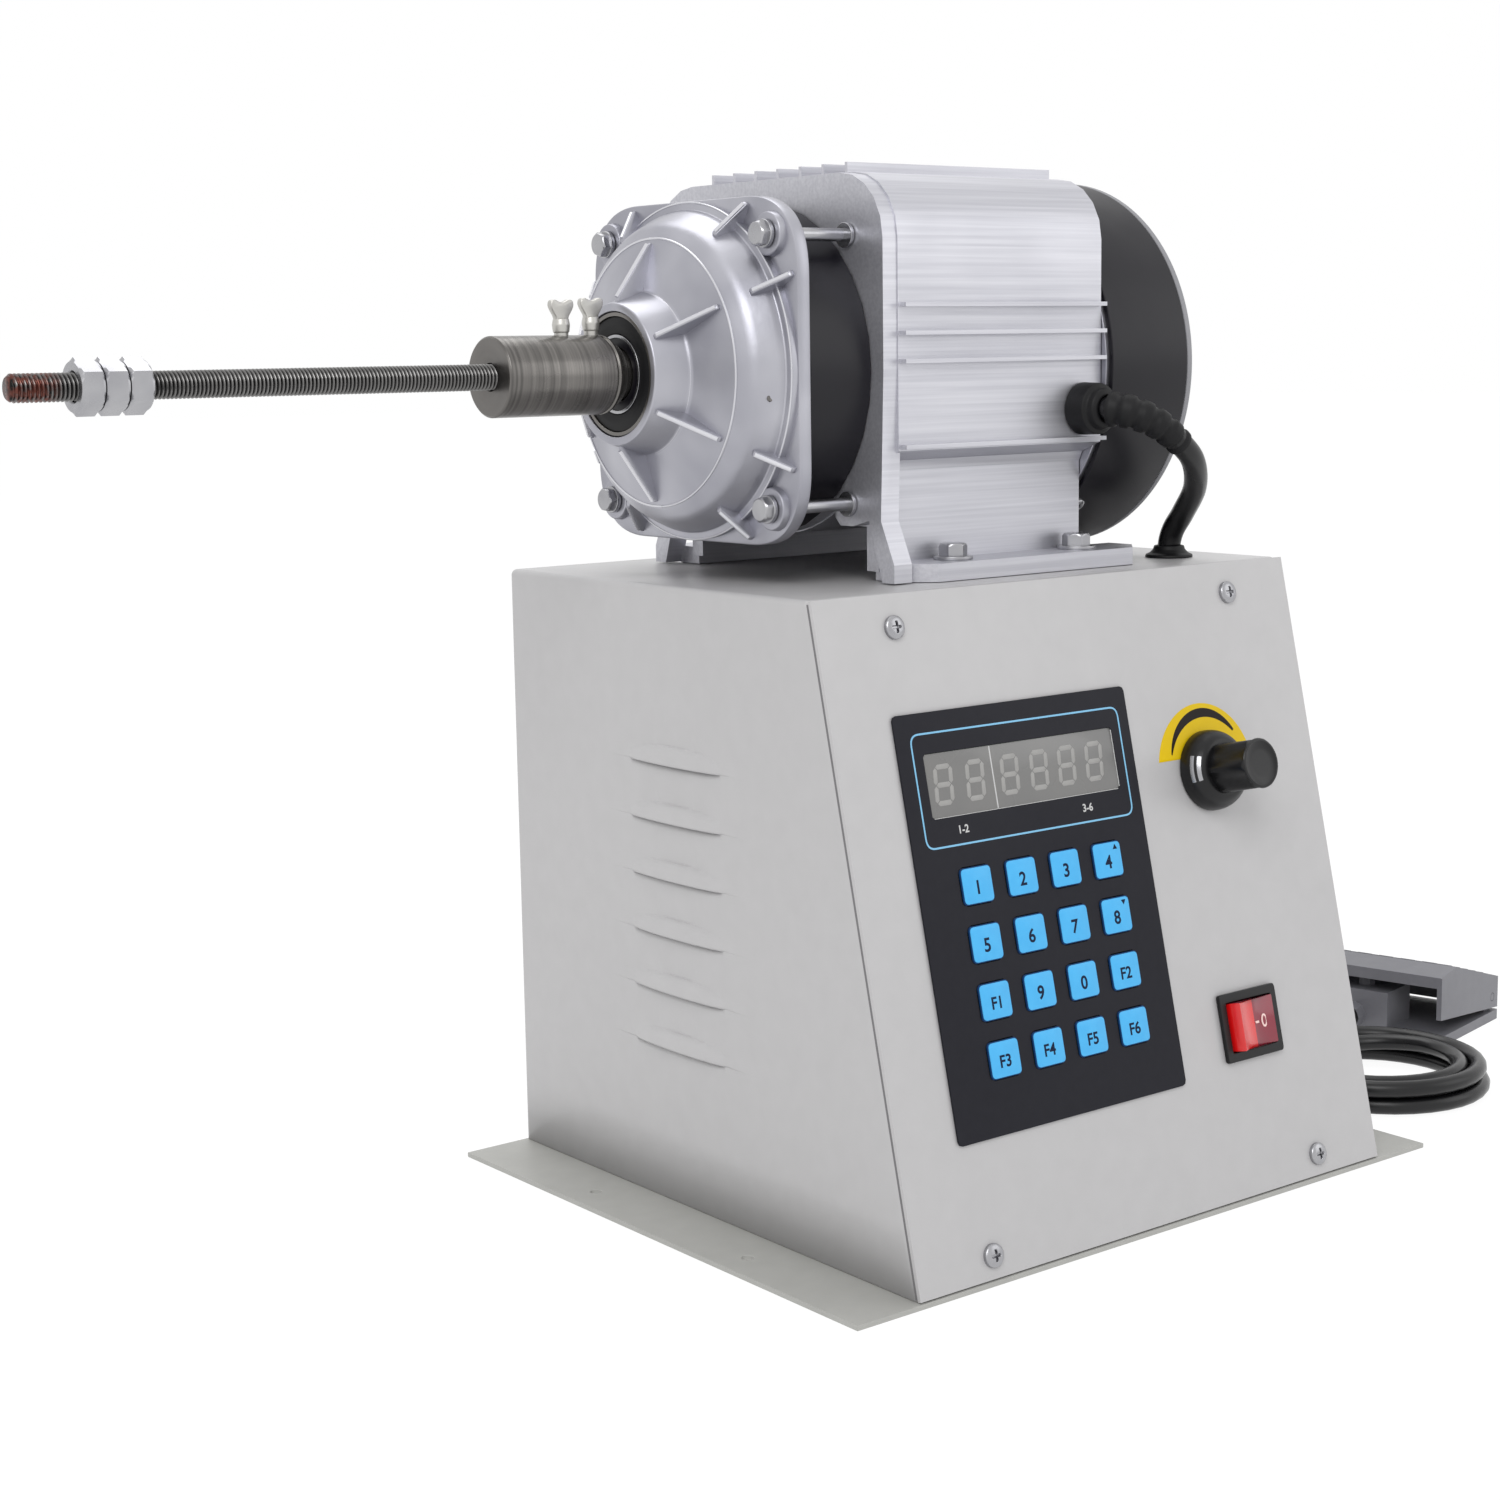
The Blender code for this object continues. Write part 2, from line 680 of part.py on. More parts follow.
def smooth_points(route, count):
    """Evenly spaced points on a smooth curve through hand-chosen route points."""
    nodes = [Vector(place) for place in route]
    padded = [2 * nodes[0] - nodes[1]] + nodes + [2 * nodes[-1] - nodes[-2]]
    fine = []
    pieces = 24
    for index in range(len(nodes) - 1):
        before, start, end, after = padded[index:index + 4]
        for step in range(pieces):
            t = step / pieces
            place = 0.5 * ((2 * start) + (end - before) * t
                           + (2 * before - 5 * start + 4 * end - after) * t * t
                           + (3 * start - before - 3 * end + after) * t * t * t)
            fine.append(place)
    fine.append(nodes[-1])
    reach = [0.0]
    for here, there in zip(fine, fine[1:]):
        reach.append(reach[-1] + (there - here).length)
    points = []
    index = 0
    for step in range(count):
        wanted = reach[-1] * step / (count - 1)
        while index < len(fine) - 2 and reach[index + 1] < wanted:
            index += 1
        span = reach[index + 1] - reach[index]
        share = (wanted - reach[index]) / span
        points.append(fine[index].lerp(fine[index + 1], min(max(share, 0.0), 1.0)))
    return points


def panel_y(height):
    """Y of the panel's outer face at a height above the floor."""
    return TOP_FRONT_Y - PANEL_RUN * (CASE_HEIGHT - height) / CASE_HEIGHT


def build_base_plate(steel):
    """Flat base with two holes in each side flange."""
    width = CASE_WIDTH + 2 * FLANGE_REACH
    base = block("base_plate", (width, CASE_DEPTH, BASE_THICKNESS), (0, 0, BASE_THICKNESS / 2),
                 None, steel)
    across = width / 2 - FLANGE_HOLE_INSET
    places = []
    for side in (-1, 1):
        for end in (-1, 1):
            places.append((side * across, end * FLANGE_HOLE_PITCH / 2, BASE_THICKNESS / 2))
    holes = cylinders("base_plate_holes", FLANGE_HOLE_RADIUS, BASE_THICKNESS + 2 * CUT_OVERRUN,
                      places, None, None, steps=TINY_STEPS)
    return cut(base, holes)


def louvre_hoods():
    """Lens-shaped hoods on both side walls, each sunk half a sheet into its wall."""
    bm = bmesh.new()
    for side in (-1, 1):
        for row in range(LOUVRE_COUNT):
            hood = bmesh.new()
            bmesh.ops.create_uvsphere(hood, u_segments=8, v_segments=4, radius=1.0)
            sunk = -SHEET_THICKNESS / 2 / LOUVRE_RISE
            geometry = hood.verts[:] + hood.edges[:] + hood.faces[:]
            bmesh.ops.bisect_plane(hood, geom=geometry, dist=MERGE_DISTANCE, clear_inner=True,
                                   plane_co=(sunk * side, 0, 0), plane_no=(side, 0, 0))
            bmesh.ops.holes_fill(hood, edges=hood.edges)
            size = Matrix.Diagonal((LOUVRE_RISE, LOUVRE_LENGTH / 2, LOUVRE_HEIGHT / 2, 1.0))
            place = (side * CASE_WIDTH / 2, LOUVRE_MID_Y, LOUVRE_TOP_Z - LOUVRE_PITCH * row)
            bmesh.ops.transform(hood, matrix=Matrix.Translation(place) @ size, verts=hood.verts)
            piece = bpy.data.meshes.new("hood")
            hood.to_mesh(piece)
            hood.free()
            bm.from_mesh(piece)
            bpy.data.meshes.remove(piece)
    return add_object("louvre_hoods", finish_mesh("louvre_hoods", bm), (0, 0, 0), (0, 0, 0),
                      None, None)


def louvre_slots():
    """Openings under the hoods, through the side walls."""
    slots = []
    bottom = LOUVRE_HEIGHT / 2 + CUT_OVERRUN
    height = bottom - LOUVRE_SLOT_DROP
    for side in (-1, 1):
        for row in range(LOUVRE_COUNT):
            middle = LOUVRE_TOP_Z - LOUVRE_PITCH * row - (bottom + LOUVRE_SLOT_DROP) / 2
            depth = SHEET_THICKNESS + LOUVRE_RISE + 2 * CUT_OVERRUN
            across = side * (CASE_WIDTH / 2 + (LOUVRE_RISE - SHEET_THICKNESS) / 2)
            slots.append(((depth, LOUVRE_SLOT_LENGTH, height), (across, LOUVRE_MID_Y, middle)))
    return blocks("louvre_slots", slots, None, None)


def foot_bolt_places(height):
    """Middles of the four foot bolts at a height above the floor."""
    places = []
    for side in (-1, 1):
        for step in (0, 1):
            x = FOOT_BOLT_FRONT_X + FOOT_BOLT_PITCH * step
            places.append((x, SPINDLE_Y + side * FOOT_BOLT_SPAN, height))
    return places


def grommet_place():
    """Middle of the grommet in the case top, beside the motor."""
    return (GROMMET_X, SPINDLE_Y - GROMMET_SIDE, CASE_HEIGHT)


def panel_screw_places(depth):
    """Screw middles on the panel at a depth along its normal."""
    places = []
    for side in (-1, 1):
        for down in (PANEL_SCREW_TOP, PANEL_SLOPE - PANEL_SCREW_FOOT):
            places.append((side * PANEL_SCREW_ACROSS, -down, depth))
    return places


def build_case_shell(paint, panel_frame):
    """Sides, back, top and a lip round the open front, bent from one sheet."""
    set_back = (SHEET_THICKNESS + SEAT_GAP) / math.sin(PANEL_TILT)
    bm = bmesh.new()
    bmesh.ops.create_cube(bm, size=1.0)
    for vert in bm.verts:
        height = CASE_HEIGHT if vert.co.z > 0 else CASE_FOOT_Z
        back = vert.co.y > 0
        vert.co.x = math.copysign(CASE_WIDTH / 2, vert.co.x)
        vert.co.y = CASE_BACK_Y if back else panel_y(height) + set_back
        vert.co.z = height
    bm.normal_update()
    bottom = [face for face in bm.faces if face.normal.z < -0.9]
    bmesh.ops.delete(bm, geom=bottom, context="FACES_ONLY")
    front = [face for face in bm.faces if face.normal.y < -0.9]
    bmesh.ops.inset_individual(bm, faces=front, thickness=FRONT_LIP_WIDTH, use_even_offset=True)
    bmesh.ops.delete(bm, geom=front, context="FACES_ONLY")
    mesh = bpy.data.meshes.new("case_shell")
    bm.to_mesh(mesh)
    bm.free()
    shell = add_object("case_shell", mesh, (0, 0, 0), (0, 0, 0), None, paint)
    bend = shell.modifiers.new("bends", "BEVEL")
    bend.width = SHEET_BEND_RADIUS
    bend.segments = 2
    bend.limit_method = "ANGLE"
    wall = shell.modifiers.new("sheet", "SOLIDIFY")
    wall.thickness = SHEET_THICKNESS
    wall.offset = -1.0
    wall.use_even_offset = True
    join(shell, louvre_hoods())
    cut(shell, louvre_slots())
    through = SHEET_THICKNESS + 2 * CUT_OVERRUN
    cut(shell, cylinders("case_foot_holes", FOOT_BOLT_RADIUS + SEAT_GAP, through,
                         foot_bolt_places(CASE_HEIGHT), None, None, steps=TINY_STEPS))
    cut(shell, cylinders("case_grommet_hole", GROMMET_HOLE_RADIUS, through,
                         [grommet_place()], None, None))
    cut(shell, cylinders("case_pedal_hole", LEAD_GLAND_BODY_RADIUS + SEAT_GAP, through,
                         [(CASE_WIDTH / 2, PEDAL_GLAND_Y, PEDAL_GLAND_Z)], None, None,
                         turn=Matrix.Rotation(math.pi / 2, 4, "Y")))
    cut(shell, cylinders("case_mains_hole", (LEAD_RADIUS + LEAD_GLAND_BODY_RADIUS) / 2, through,
                         [(MAINS_GLAND_X, CASE_BACK_Y, MAINS_GLAND_Z)], None, None,
                         turn=Matrix.Rotation(math.pi / 2, 4, "X")))
    profile = pan_head_profile(PAN_SHANK_RADIUS, PAN_SHANK_LENGTH, PAN_HEAD_RADIUS, PAN_HEAD_HEIGHT)
    placements = [Matrix.Translation(place) for place in panel_screw_places(SEAT_GAP)]
    join(shell, screw_set("case_panel_screws", profile, placements, panel_frame))
    mains = Matrix.Translation((MAINS_GLAND_X, CASE_BACK_Y, MAINS_GLAND_Z))
    mains = mains @ Matrix.Rotation(-math.pi / 2, 4, "X")
    return join(shell, screw_set("case_mains_gland", gland_profile(LEAD_GLAND_BODY_RADIUS, 0),
                                 [mains], None, SMALL_STEPS))


def window_box(name, left, right, top, bottom, thickness, depth, panel_frame):
    """Box cutter for an opening in the panel or the overlay."""
    size = (right - left, bottom - top, thickness + 2 * CUT_OVERRUN)
    return block(name, size, ((left + right) / 2, -(top + bottom) / 2, depth), panel_frame, None)


def key_place(row, column, depth):
    """Middle of a key on the panel."""
    across = KEY_FIRST_ACROSS + KEY_PITCH_ACROSS * column
    down = KEY_FIRST_DOWN + KEY_PITCH_DOWN * row
    return (across, -down, depth)


def build_front_panel(paint, panel_frame):
    """Slanted plate with the openings of its controls."""
    slant = math.sin(PANEL_TILT)
    lean = math.cos(PANEL_TILT)
    length = (CASE_HEIGHT - CASE_FOOT_Z - SHEET_THICKNESS * lean) / slant
    middle = PANEL_BACK / 2
    panel = block("front_panel", (CASE_WIDTH, length, SHEET_THICKNESS), (0, -length / 2, middle),
                  panel_frame, paint)
    rim = DISPLAY_RIM + SEAT_GAP
    cut(panel, window_box("panel_display_opening", WINDOW_LEFT - rim, WINDOW_RIGHT + rim,
                          WINDOW_TOP - rim, WINDOW_BOTTOM + rim, SHEET_THICKNESS, middle,
                          panel_frame))
    reach_across = KEY_WIDTH / 2 + KEY_LIP + SEAT_GAP
    reach_down = KEY_HEIGHT / 2 + KEY_LIP + SEAT_GAP
    left = KEY_FIRST_ACROSS - reach_across
    right = KEY_FIRST_ACROSS + KEY_PITCH_ACROSS * (KEY_COLUMNS - 1) + reach_across
    top = KEY_FIRST_DOWN - reach_down
    bottom = KEY_FIRST_DOWN + KEY_PITCH_DOWN * (KEY_ROWS - 1) + reach_down
    cut(panel, window_box("panel_key_opening", left, right, top, bottom, SHEET_THICKNESS, middle,
                          panel_frame))
    cut(panel, block("panel_switch_opening",
                     (SWITCH_BODY_WIDTH + 2 * SEAT_GAP, SWITCH_BODY_HEIGHT + 2 * SEAT_GAP,
                      SHEET_THICKNESS + 2 * CUT_OVERRUN),
                     (SWITCH_ACROSS, -SWITCH_DOWN, middle), panel_frame, None))
    through = SHEET_THICKNESS + 2 * CUT_OVERRUN
    cut(panel, cylinders("panel_knob_hole", POT_BUSH_RADIUS + SEAT_GAP, through,
                         [(KNOB_ACROSS, -KNOB_DOWN, middle)], panel_frame, None))
    cut(panel, cylinders("panel_screw_holes", PAN_SHANK_RADIUS + SEAT_GAP, through,
                         panel_screw_places(middle), panel_frame, None, steps=TINY_STEPS))
    return panel


def pan_head_profile(shank_radius, shank_length, head_radius, head_height):
    """Pan-head screw standing on its seat: shank below zero, head above."""
    return [(0, -shank_length), (shank_radius, -shank_length), (shank_radius, 0),
            (head_radius, 0), (head_radius, head_height / 2),
            (head_radius - head_height / 3, head_height), (0, head_height)]


def screw_set(name, profile, placements, parent, steps=TINY_STEPS):
    """Equal turned pieces, one at each placement, to be joined to what holds them."""
    single = turned(name + "_pattern", profile, (0, 0, 0), (0, 0, 0), None, None, steps)
    bpy.context.view_layer.update()
    graph = bpy.context.evaluated_depsgraph_get()
    mesh = bpy.data.meshes.new_from_object(single.evaluated_get(graph))
    bpy.data.objects.remove(single, do_unlink=True)
    bm = bmesh.new()
    for placement in placements:
        first = len(bm.verts)
        bm.from_mesh(mesh)
        bm.verts.ensure_lookup_table()
        bmesh.ops.transform(bm, matrix=placement, verts=bm.verts[first:])
    bpy.data.meshes.remove(mesh)
    return add_object(name, finish_mesh(name, bm), (0, 0, 0), (0, 0, 0), parent, None)


def build_overlay(film, panel_frame):
    """Membrane over the panel, with a hole for each key and the display window."""
    width = OVERLAY_RIGHT - OVERLAY_LEFT
    height = OVERLAY_BOTTOM - OVERLAY_TOP
    centre_x = (OVERLAY_LEFT + OVERLAY_RIGHT) / 2
    centre_y = -(OVERLAY_TOP + OVERLAY_BOTTOM) / 2
    loops = [rounded_rectangle(width, height, KEY_CORNER_RADIUS, 2, (centre_x, centre_y))]
    window = (WINDOW_RIGHT - WINDOW_LEFT, WINDOW_BOTTOM - WINDOW_TOP)
    window_middle = ((WINDOW_LEFT + WINDOW_RIGHT) / 2, -(WINDOW_TOP + WINDOW_BOTTOM) / 2)
    loops.append(rounded_rectangle(*window, KEY_CORNER_RADIUS / 2, 1, window_middle))
    for row in range(KEY_ROWS):
        for column in range(KEY_COLUMNS):
            centre = key_place(row, column, 0)[:2]
            loops.append(rounded_rectangle(KEY_WIDTH + 2 * SEAT_GAP, KEY_HEIGHT + 2 * SEAT_GAP,
                                           KEY_CORNER_RADIUS + SEAT_GAP, 1, centre))
    return plate("keypad_overlay", loops, OVERLAY_THICKNESS,
                 (0, 0, SEAT_GAP + OVERLAY_THICKNESS / 2), panel_frame, film)


def build_keys(blue, panel_frame):
    """Sixteen caps, each with a lip under the overlay and a stem to its switch."""
    lip_top = 0.0
    lip_bottom = lip_top - KEY_LIP_THICKNESS
    stem_end = TACT_FACE + KEY_TRAVEL + SEAT_GAP / 3
    cap_height = OVERLAY_FACE + KEY_PROUD - lip_bottom
    for row in range(KEY_ROWS):
        for column in range(KEY_COLUMNS):
            number = row * KEY_COLUMNS + column + 1
            name = "key_%d" % number
            loops = [rounded_rectangle(KEY_WIDTH, KEY_HEIGHT, KEY_CORNER_RADIUS, 1)]
            mesh = outline_mesh(name, loops, cap_height)
            place = key_place(row, column, lip_bottom + cap_height / 2)
            key = add_object(name, mesh, place, (0, 0, 0), panel_frame, blue)
            lip = block(name + "_lip", (KEY_WIDTH + 2 * KEY_LIP, KEY_HEIGHT + 2 * KEY_LIP,
                                        KEY_LIP_THICKNESS),
                        key_place(row, column, lip_bottom + KEY_LIP_THICKNESS / 2), panel_frame, None)
            top = lip_bottom + KEY_LIP_THICKNESS / 2
            stem = block(name + "_stem", (KEY_STEM_WIDTH, KEY_STEM_WIDTH, top - stem_end),
                         key_place(row, column, (top + stem_end) / 2), panel_frame, None)
            join(key, lip, stem)


def build_control_board(board_green, panel_frame):
    """Board with the display block, a switch under each key, and posts to the panel."""
    left = OVERLAY_LEFT + BOARD_MARGIN
    right = OVERLAY_RIGHT - BOARD_MARGIN
    top = OVERLAY_TOP + BOARD_MARGIN
    bottom = OVERLAY_BOTTOM - BOARD_MARGIN
    front = -BOARD_SET_BACK
    middle = front - BOARD_THICKNESS / 2
    board = block("control_board", (right - left, bottom - top, BOARD_THICKNESS),
                  ((left + right) / 2, -(top + bottom) / 2, middle), panel_frame, board_green)
    display_back = middle
    display_front = -SEAT_GAP
    size = (WINDOW_RIGHT - WINDOW_LEFT + 2 * DISPLAY_RIM, WINDOW_BOTTOM - WINDOW_TOP + 2 * DISPLAY_RIM,
            display_front - display_back)
    place = ((WINDOW_LEFT + WINDOW_RIGHT) / 2, -(WINDOW_TOP + WINDOW_BOTTOM) / 2,
             (display_front + display_back) / 2)
    join(board, block("control_board_display", size, place, panel_frame, None))
    tacts = []
    for row in range(KEY_ROWS):
        for column in range(KEY_COLUMNS):
            depth = TACT_FACE - middle
            tacts.append(((TACT_SIZE, TACT_SIZE, depth), key_place(row, column, middle + depth / 2)))
    join(board, blocks("control_board_tacts", tacts, panel_frame, None))
    post_front = PANEL_BACK - SEAT_GAP
    posts = []
    for x in (left + BOARD_POST_INSET, right - BOARD_POST_INSET):
        for y in (-(top + BOARD_POST_INSET), -(bottom - BOARD_POST_INSET)):
            posts.append((x, y, (post_front + middle) / 2))
    join(board, cylinders("control_board_posts", BOARD_POST_RADIUS, post_front - middle, posts,
                          panel_frame, None, steps=TINY_STEPS))
    return board


def build_speed_control(black, steel, panel_frame):
    """Potentiometer behind the panel and the knob on its shaft."""
    back = PANEL_BACK - SEAT_GAP
    body = back - POT_BODY_DEPTH
    at = (KNOB_ACROSS, -KNOB_DOWN, 0)
    profile = [(0, body), (POT_BODY_RADIUS, body), (POT_BODY_RADIUS, back), (POT_BUSH_RADIUS, back),
               (POT_BUSH_RADIUS, SEAT_GAP), (POT_SHAFT_RADIUS, SEAT_GAP),
               (POT_SHAFT_RADIUS, POT_SHAFT_REACH), (0, POT_SHAFT_REACH)]
    pot = turned("potentiometer", profile, at, (0, 0, 0), panel_frame, steel, SMALL_STEPS)
    tag_middle = -KNOB_DOWN - POT_BODY_RADIUS - POT_TAG_LENGTH / 2 + POT_TAG_THICKNESS
    join(pot, block("potentiometer_tags", (POT_TAG_WIDTH, POT_TAG_LENGTH + POT_TAG_THICKNESS,
                                           POT_TAG_THICKNESS),
                    (KNOB_ACROSS, tag_middle, body + POT_TAG_THICKNESS), panel_frame, None))
    foot = 2 * SEAT_GAP
    top = KNOB_HEIGHT
    skirt = [(0, foot), (KNOB_SKIRT_RADIUS, foot)]
    dome = KNOB_SKIRT_HEIGHT - KNOB_RIM_HEIGHT
    steps = 4
    for step in range(steps):
        angle = math.pi / 2 * step / steps
        radius = KNOB_GRIP_RADIUS + (KNOB_SKIRT_RADIUS - KNOB_GRIP_RADIUS) * math.cos(angle)
        skirt.append((radius, foot + KNOB_RIM_HEIGHT + dome * math.sin(angle)))
    skirt += [(KNOB_GRIP_RADIUS / 2, foot + KNOB_SKIRT_HEIGHT),
              (0, foot + KNOB_SKIRT_HEIGHT)]
    knob = turned("speed_knob", skirt, at, (0, 0, 0), panel_frame, black, ROUND_STEPS)
    grip = []
    steps = 4 * KNOB_FLUTES
    for step in range(steps):
        angle = 2 * math.pi * step / steps
        hollow = (1 - math.cos(KNOB_FLUTES * angle)) / 2
        radius = KNOB_GRIP_RADIUS - KNOB_FLUTE_DEPTH * hollow
        grip.append((radius * math.cos(angle), radius * math.sin(angle)))
    grip_bottom = KNOB_SKIRT_HEIGHT / 2
    grip_top = top - KNOB_CAP_RISE
    join(knob, plate("speed_knob_grip", [grip], grip_top - grip_bottom,
                     (KNOB_ACROSS, -KNOB_DOWN, (grip_top + grip_bottom) / 2), panel_frame, None))
    cap = [(0, grip_top - KNOB_CAP_RISE), (KNOB_CAP_RADIUS, grip_top - KNOB_CAP_RISE),
           (KNOB_CAP_RADIUS, grip_top + KNOB_CAP_RISE / 2), (KNOB_CAP_RADIUS - KNOB_CAP_RISE, top),
           (0, top)]
    join(knob, turned("speed_knob_cap", cap, at, (0, 0, 0), panel_frame, None, SMALL_STEPS))
    bore_radius = POT_SHAFT_RADIUS + SEAT_GAP
    bore_top = KNOB_BORE_DEPTH
    cut(knob, cylinders("speed_knob_bore", bore_radius, bore_top + CUT_OVERRUN,
                        [(KNOB_ACROSS, -KNOB_DOWN, (bore_top - CUT_OVERRUN) / 2)], panel_frame, None))
    return knob


def build_switch(black, red, panel_frame):
    """Switch body with a well, and the rocking paddle tilted to its off side."""
    at = (SWITCH_ACROSS, -SWITCH_DOWN, 0)
    bezel_loops = [rounded_rectangle(SWITCH_BEZEL_WIDTH, SWITCH_BEZEL_HEIGHT, KEY_CORNER_RADIUS / 2, 2)]
    bezel_middle = SEAT_GAP + SWITCH_BEZEL_THICKNESS / 2
    housing = plate("rocker_housing", bezel_loops, SWITCH_BEZEL_THICKNESS,
                    (SWITCH_ACROSS, -SWITCH_DOWN, bezel_middle), panel_frame, black)
    body_height = SWITCH_BODY_DEPTH + SWITCH_BEZEL_THICKNESS / 2
    join(housing, block("rocker_housing_body", (SWITCH_BODY_WIDTH, SWITCH_BODY_HEIGHT, body_height),
                        (SWITCH_ACROSS, -SWITCH_DOWN, bezel_middle - body_height / 2),
                        panel_frame, None))
    bottom = bezel_middle - body_height
    tags = []
    for step in (-1, 0, 1):
        tags.append(((SWITCH_TAG_THICKNESS, SWITCH_TAG_WIDTH, 2 * SWITCH_TAG_LENGTH),
                     (SWITCH_ACROSS + SWITCH_TAG_PITCH * step, -SWITCH_DOWN, bottom)))
    join(housing, blocks("rocker_housing_tags", tags, panel_frame, None))
    well_top = SEAT_GAP + SWITCH_BEZEL_THICKNESS + CUT_OVERRUN
    well_bottom = -SWITCH_WELL_DEPTH
    cut(housing, block("rocker_housing_well", (SWITCH_WELL_WIDTH, SWITCH_WELL_HEIGHT,
                                               well_top - well_bottom),
                       (SWITCH_ACROSS, -SWITCH_DOWN, (well_top + well_bottom) / 2),
                       panel_frame, None))
    pivot = -PADDLE_PIVOT_DEPTH
    end = PADDLE_HALF_LENGTH
    top = PADDLE_END_RISE - pivot
    middle = PADDLE_MIDDLE_RISE - pivot
    skirt = PADDLE_KEEL_DEPTH
    outline = [(-end, 0), (-PADDLE_KEEL_HALF, -skirt), (PADDLE_KEEL_HALF, -skirt), (end, 0),
               (end, top), (PADDLE_KEEL_HALF, middle + SHEET_THICKNESS / 2), (0, middle),
               (-PADDLE_KEEL_HALF, middle + SHEET_THICKNESS / 2), (-end, top)]
    width = SWITCH_WELL_HEIGHT - 2 * SEAT_GAP
    mesh = outline_mesh("rocker_paddle", [outline], width)
    bm = bmesh.new()
    bm.from_mesh(mesh)
    bmesh.ops.rotate(bm, verts=bm.verts, cent=(0, 0, 0), matrix=Matrix.Rotation(math.pi / 2, 3, "X"))
    bmesh.ops.rotate(bm, verts=bm.verts, cent=(0, 0, 0), matrix=Matrix.Rotation(PADDLE_TILT, 3, "Y"))
    bm.to_mesh(mesh)
    bm.free()
    paddle = add_object("rocker_paddle", mesh, (at[0], at[1], pivot), (0, 0, 0), panel_frame, red)
    return housing, paddle


def across_axis(y, z):
    """Place across the spindle axis as local X and Y of a piece on that axis."""
    return (-z, y)


def housing_outline():
    """Closed outline of the extruded body without its fins: legs below, open between.

    Places are (across, up) from the spindle axis, clockwise from the top.
    """
    half = HOUSING_HALF_WIDTH
    top = HOUSING_TOP_RISE
    radius = HOUSING_CORNER_RADIUS
    points = [(0, top)] + quarter_arc((half - radius, top - radius), radius)
    foot_top = -SPINDLE_RISE + SEAT_GAP + FOOT_THICKNESS
    foot_middle = foot_top - FOOT_THICKNESS / 2
    leg = LEG_HALF_WIDTH
    neck = LEDGE_DROP + FIN_THICKNESS
    points += [(half, -neck), (leg + FIN_DEPTH / 2, -neck - FIN_DEPTH), (leg, -neck - 2 * FIN_DEPTH),
               (leg, foot_middle), (leg - LEG_THICKNESS, foot_middle)]
    points += bolt_boss_and_barrel(leg - LEG_THICKNESS, 0)
    return points + mirrored(points)


def quarter_arc(centre, radius):
    """Arc from straight up to straight out, clockwise."""
    points = []
    steps = 5
    for step in range(steps + 1):
        angle = math.pi / 2 * (1 - step / steps)
        points.append((centre[0] + radius * math.cos(angle), centre[1] + radius * math.sin(angle)))
    return points


def mirrored(points):
    """The same places on the other side, in reverse order."""
    return [(-y, z) for y, z in reversed(points) if abs(y) > MERGE_DISTANCE]


def bolt_boss_and_barrel(side, set_in):
    """Inner corner that holds a lower bolt, then the round belly down to the middle."""
    low = -THROUGH_BOLT_SPAN - BOLT_BOSS_MARGIN + set_in
    inner = THROUGH_BOLT_SPAN - BOLT_BOSS_MARGIN + set_in
    corner = BOLT_BOSS_MARGIN / 3
    belly = BARREL_RADIUS - set_in
    points = [(side, low), (inner + corner, low), (inner, low + corner)]
    start = math.acos(inner / belly)
    steps = 7
    for step in range(steps + 1):
        turn = -start + (start - math.pi / 2) * step / steps
        points.append((belly * math.cos(turn), belly * math.sin(turn)))
    return points


def housing_fins():
    """Sizes and places of the cooling fins on the top and both sides, in the axis frame."""
    front = HOUSING_FRONT_X + HOUSING_WALL_THICKNESS + FRONT_WALL_STEP
    rear = HOUSING_REAR_X - FRONT_WALL_STEP
    middle = (front + rear) / 2
    depth = 2 * FIN_DEPTH
    fins = []
    for index in range(TOP_FIN_COUNT):
        across = TOP_FIN_PITCH * (index - (TOP_FIN_COUNT - 1) / 2)
        place = across_axis(across, HOUSING_TOP_RISE)
        fins.append(((depth, FIN_THICKNESS, rear - front), (*place, middle)))
    rises = [SIDE_FIN_TOP - SIDE_FIN_PITCH * index for index in range(SIDE_FIN_COUNT)]
    for rise in rises + [-LEDGE_DROP]:
        for side in (-1, 1):
            place = across_axis(side * HOUSING_HALF_WIDTH, rise)
            fins.append(((FIN_THICKNESS, depth, rear - front), (*place, middle)))
    return fins


def front_wall_outline():
    """Closed outline of the front wall, whose legs flare out to the feet."""
    half = HOUSING_HALF_WIDTH - FRONT_WALL_STEP
    top = HOUSING_TOP_RISE - FRONT_WALL_STEP
    radius = HOUSING_CORNER_RADIUS
    bottom = -SPINDLE_RISE + 2 * SEAT_GAP
    foot_top = bottom + FOOT_THICKNESS
    points = [(0, top)] + quarter_arc((half - radius, top - radius), radius)
    flare = FRONT_LEG_HALF_WIDTH + FRONT_LEG_FLARE
    points += [(half, 0), (FRONT_LEG_HALF_WIDTH, -FRONT_LEG_FLARE_DROP), (flare, foot_top),
               (flare, bottom), (flare - LEG_THICKNESS, bottom),
               (FRONT_LEG_HALF_WIDTH - LEG_THICKNESS, -FRONT_LEG_FLARE_DROP)]
    points += bolt_boss_and_barrel(LEG_HALF_WIDTH - LEG_THICKNESS, FRONT_WALL_STEP)
    return points + mirrored(points)


def through_bolt_places(station):
    """Middles of the four through bolts on the axis frame, at a station along it."""
    places = []
    for side_y in (-1, 1):
        for side_z in (-1, 1):
            x, y = across_axis(side_y * THROUGH_BOLT_SPAN, side_z * THROUGH_BOLT_SPAN)
            places.append((x, y, station))
    return places


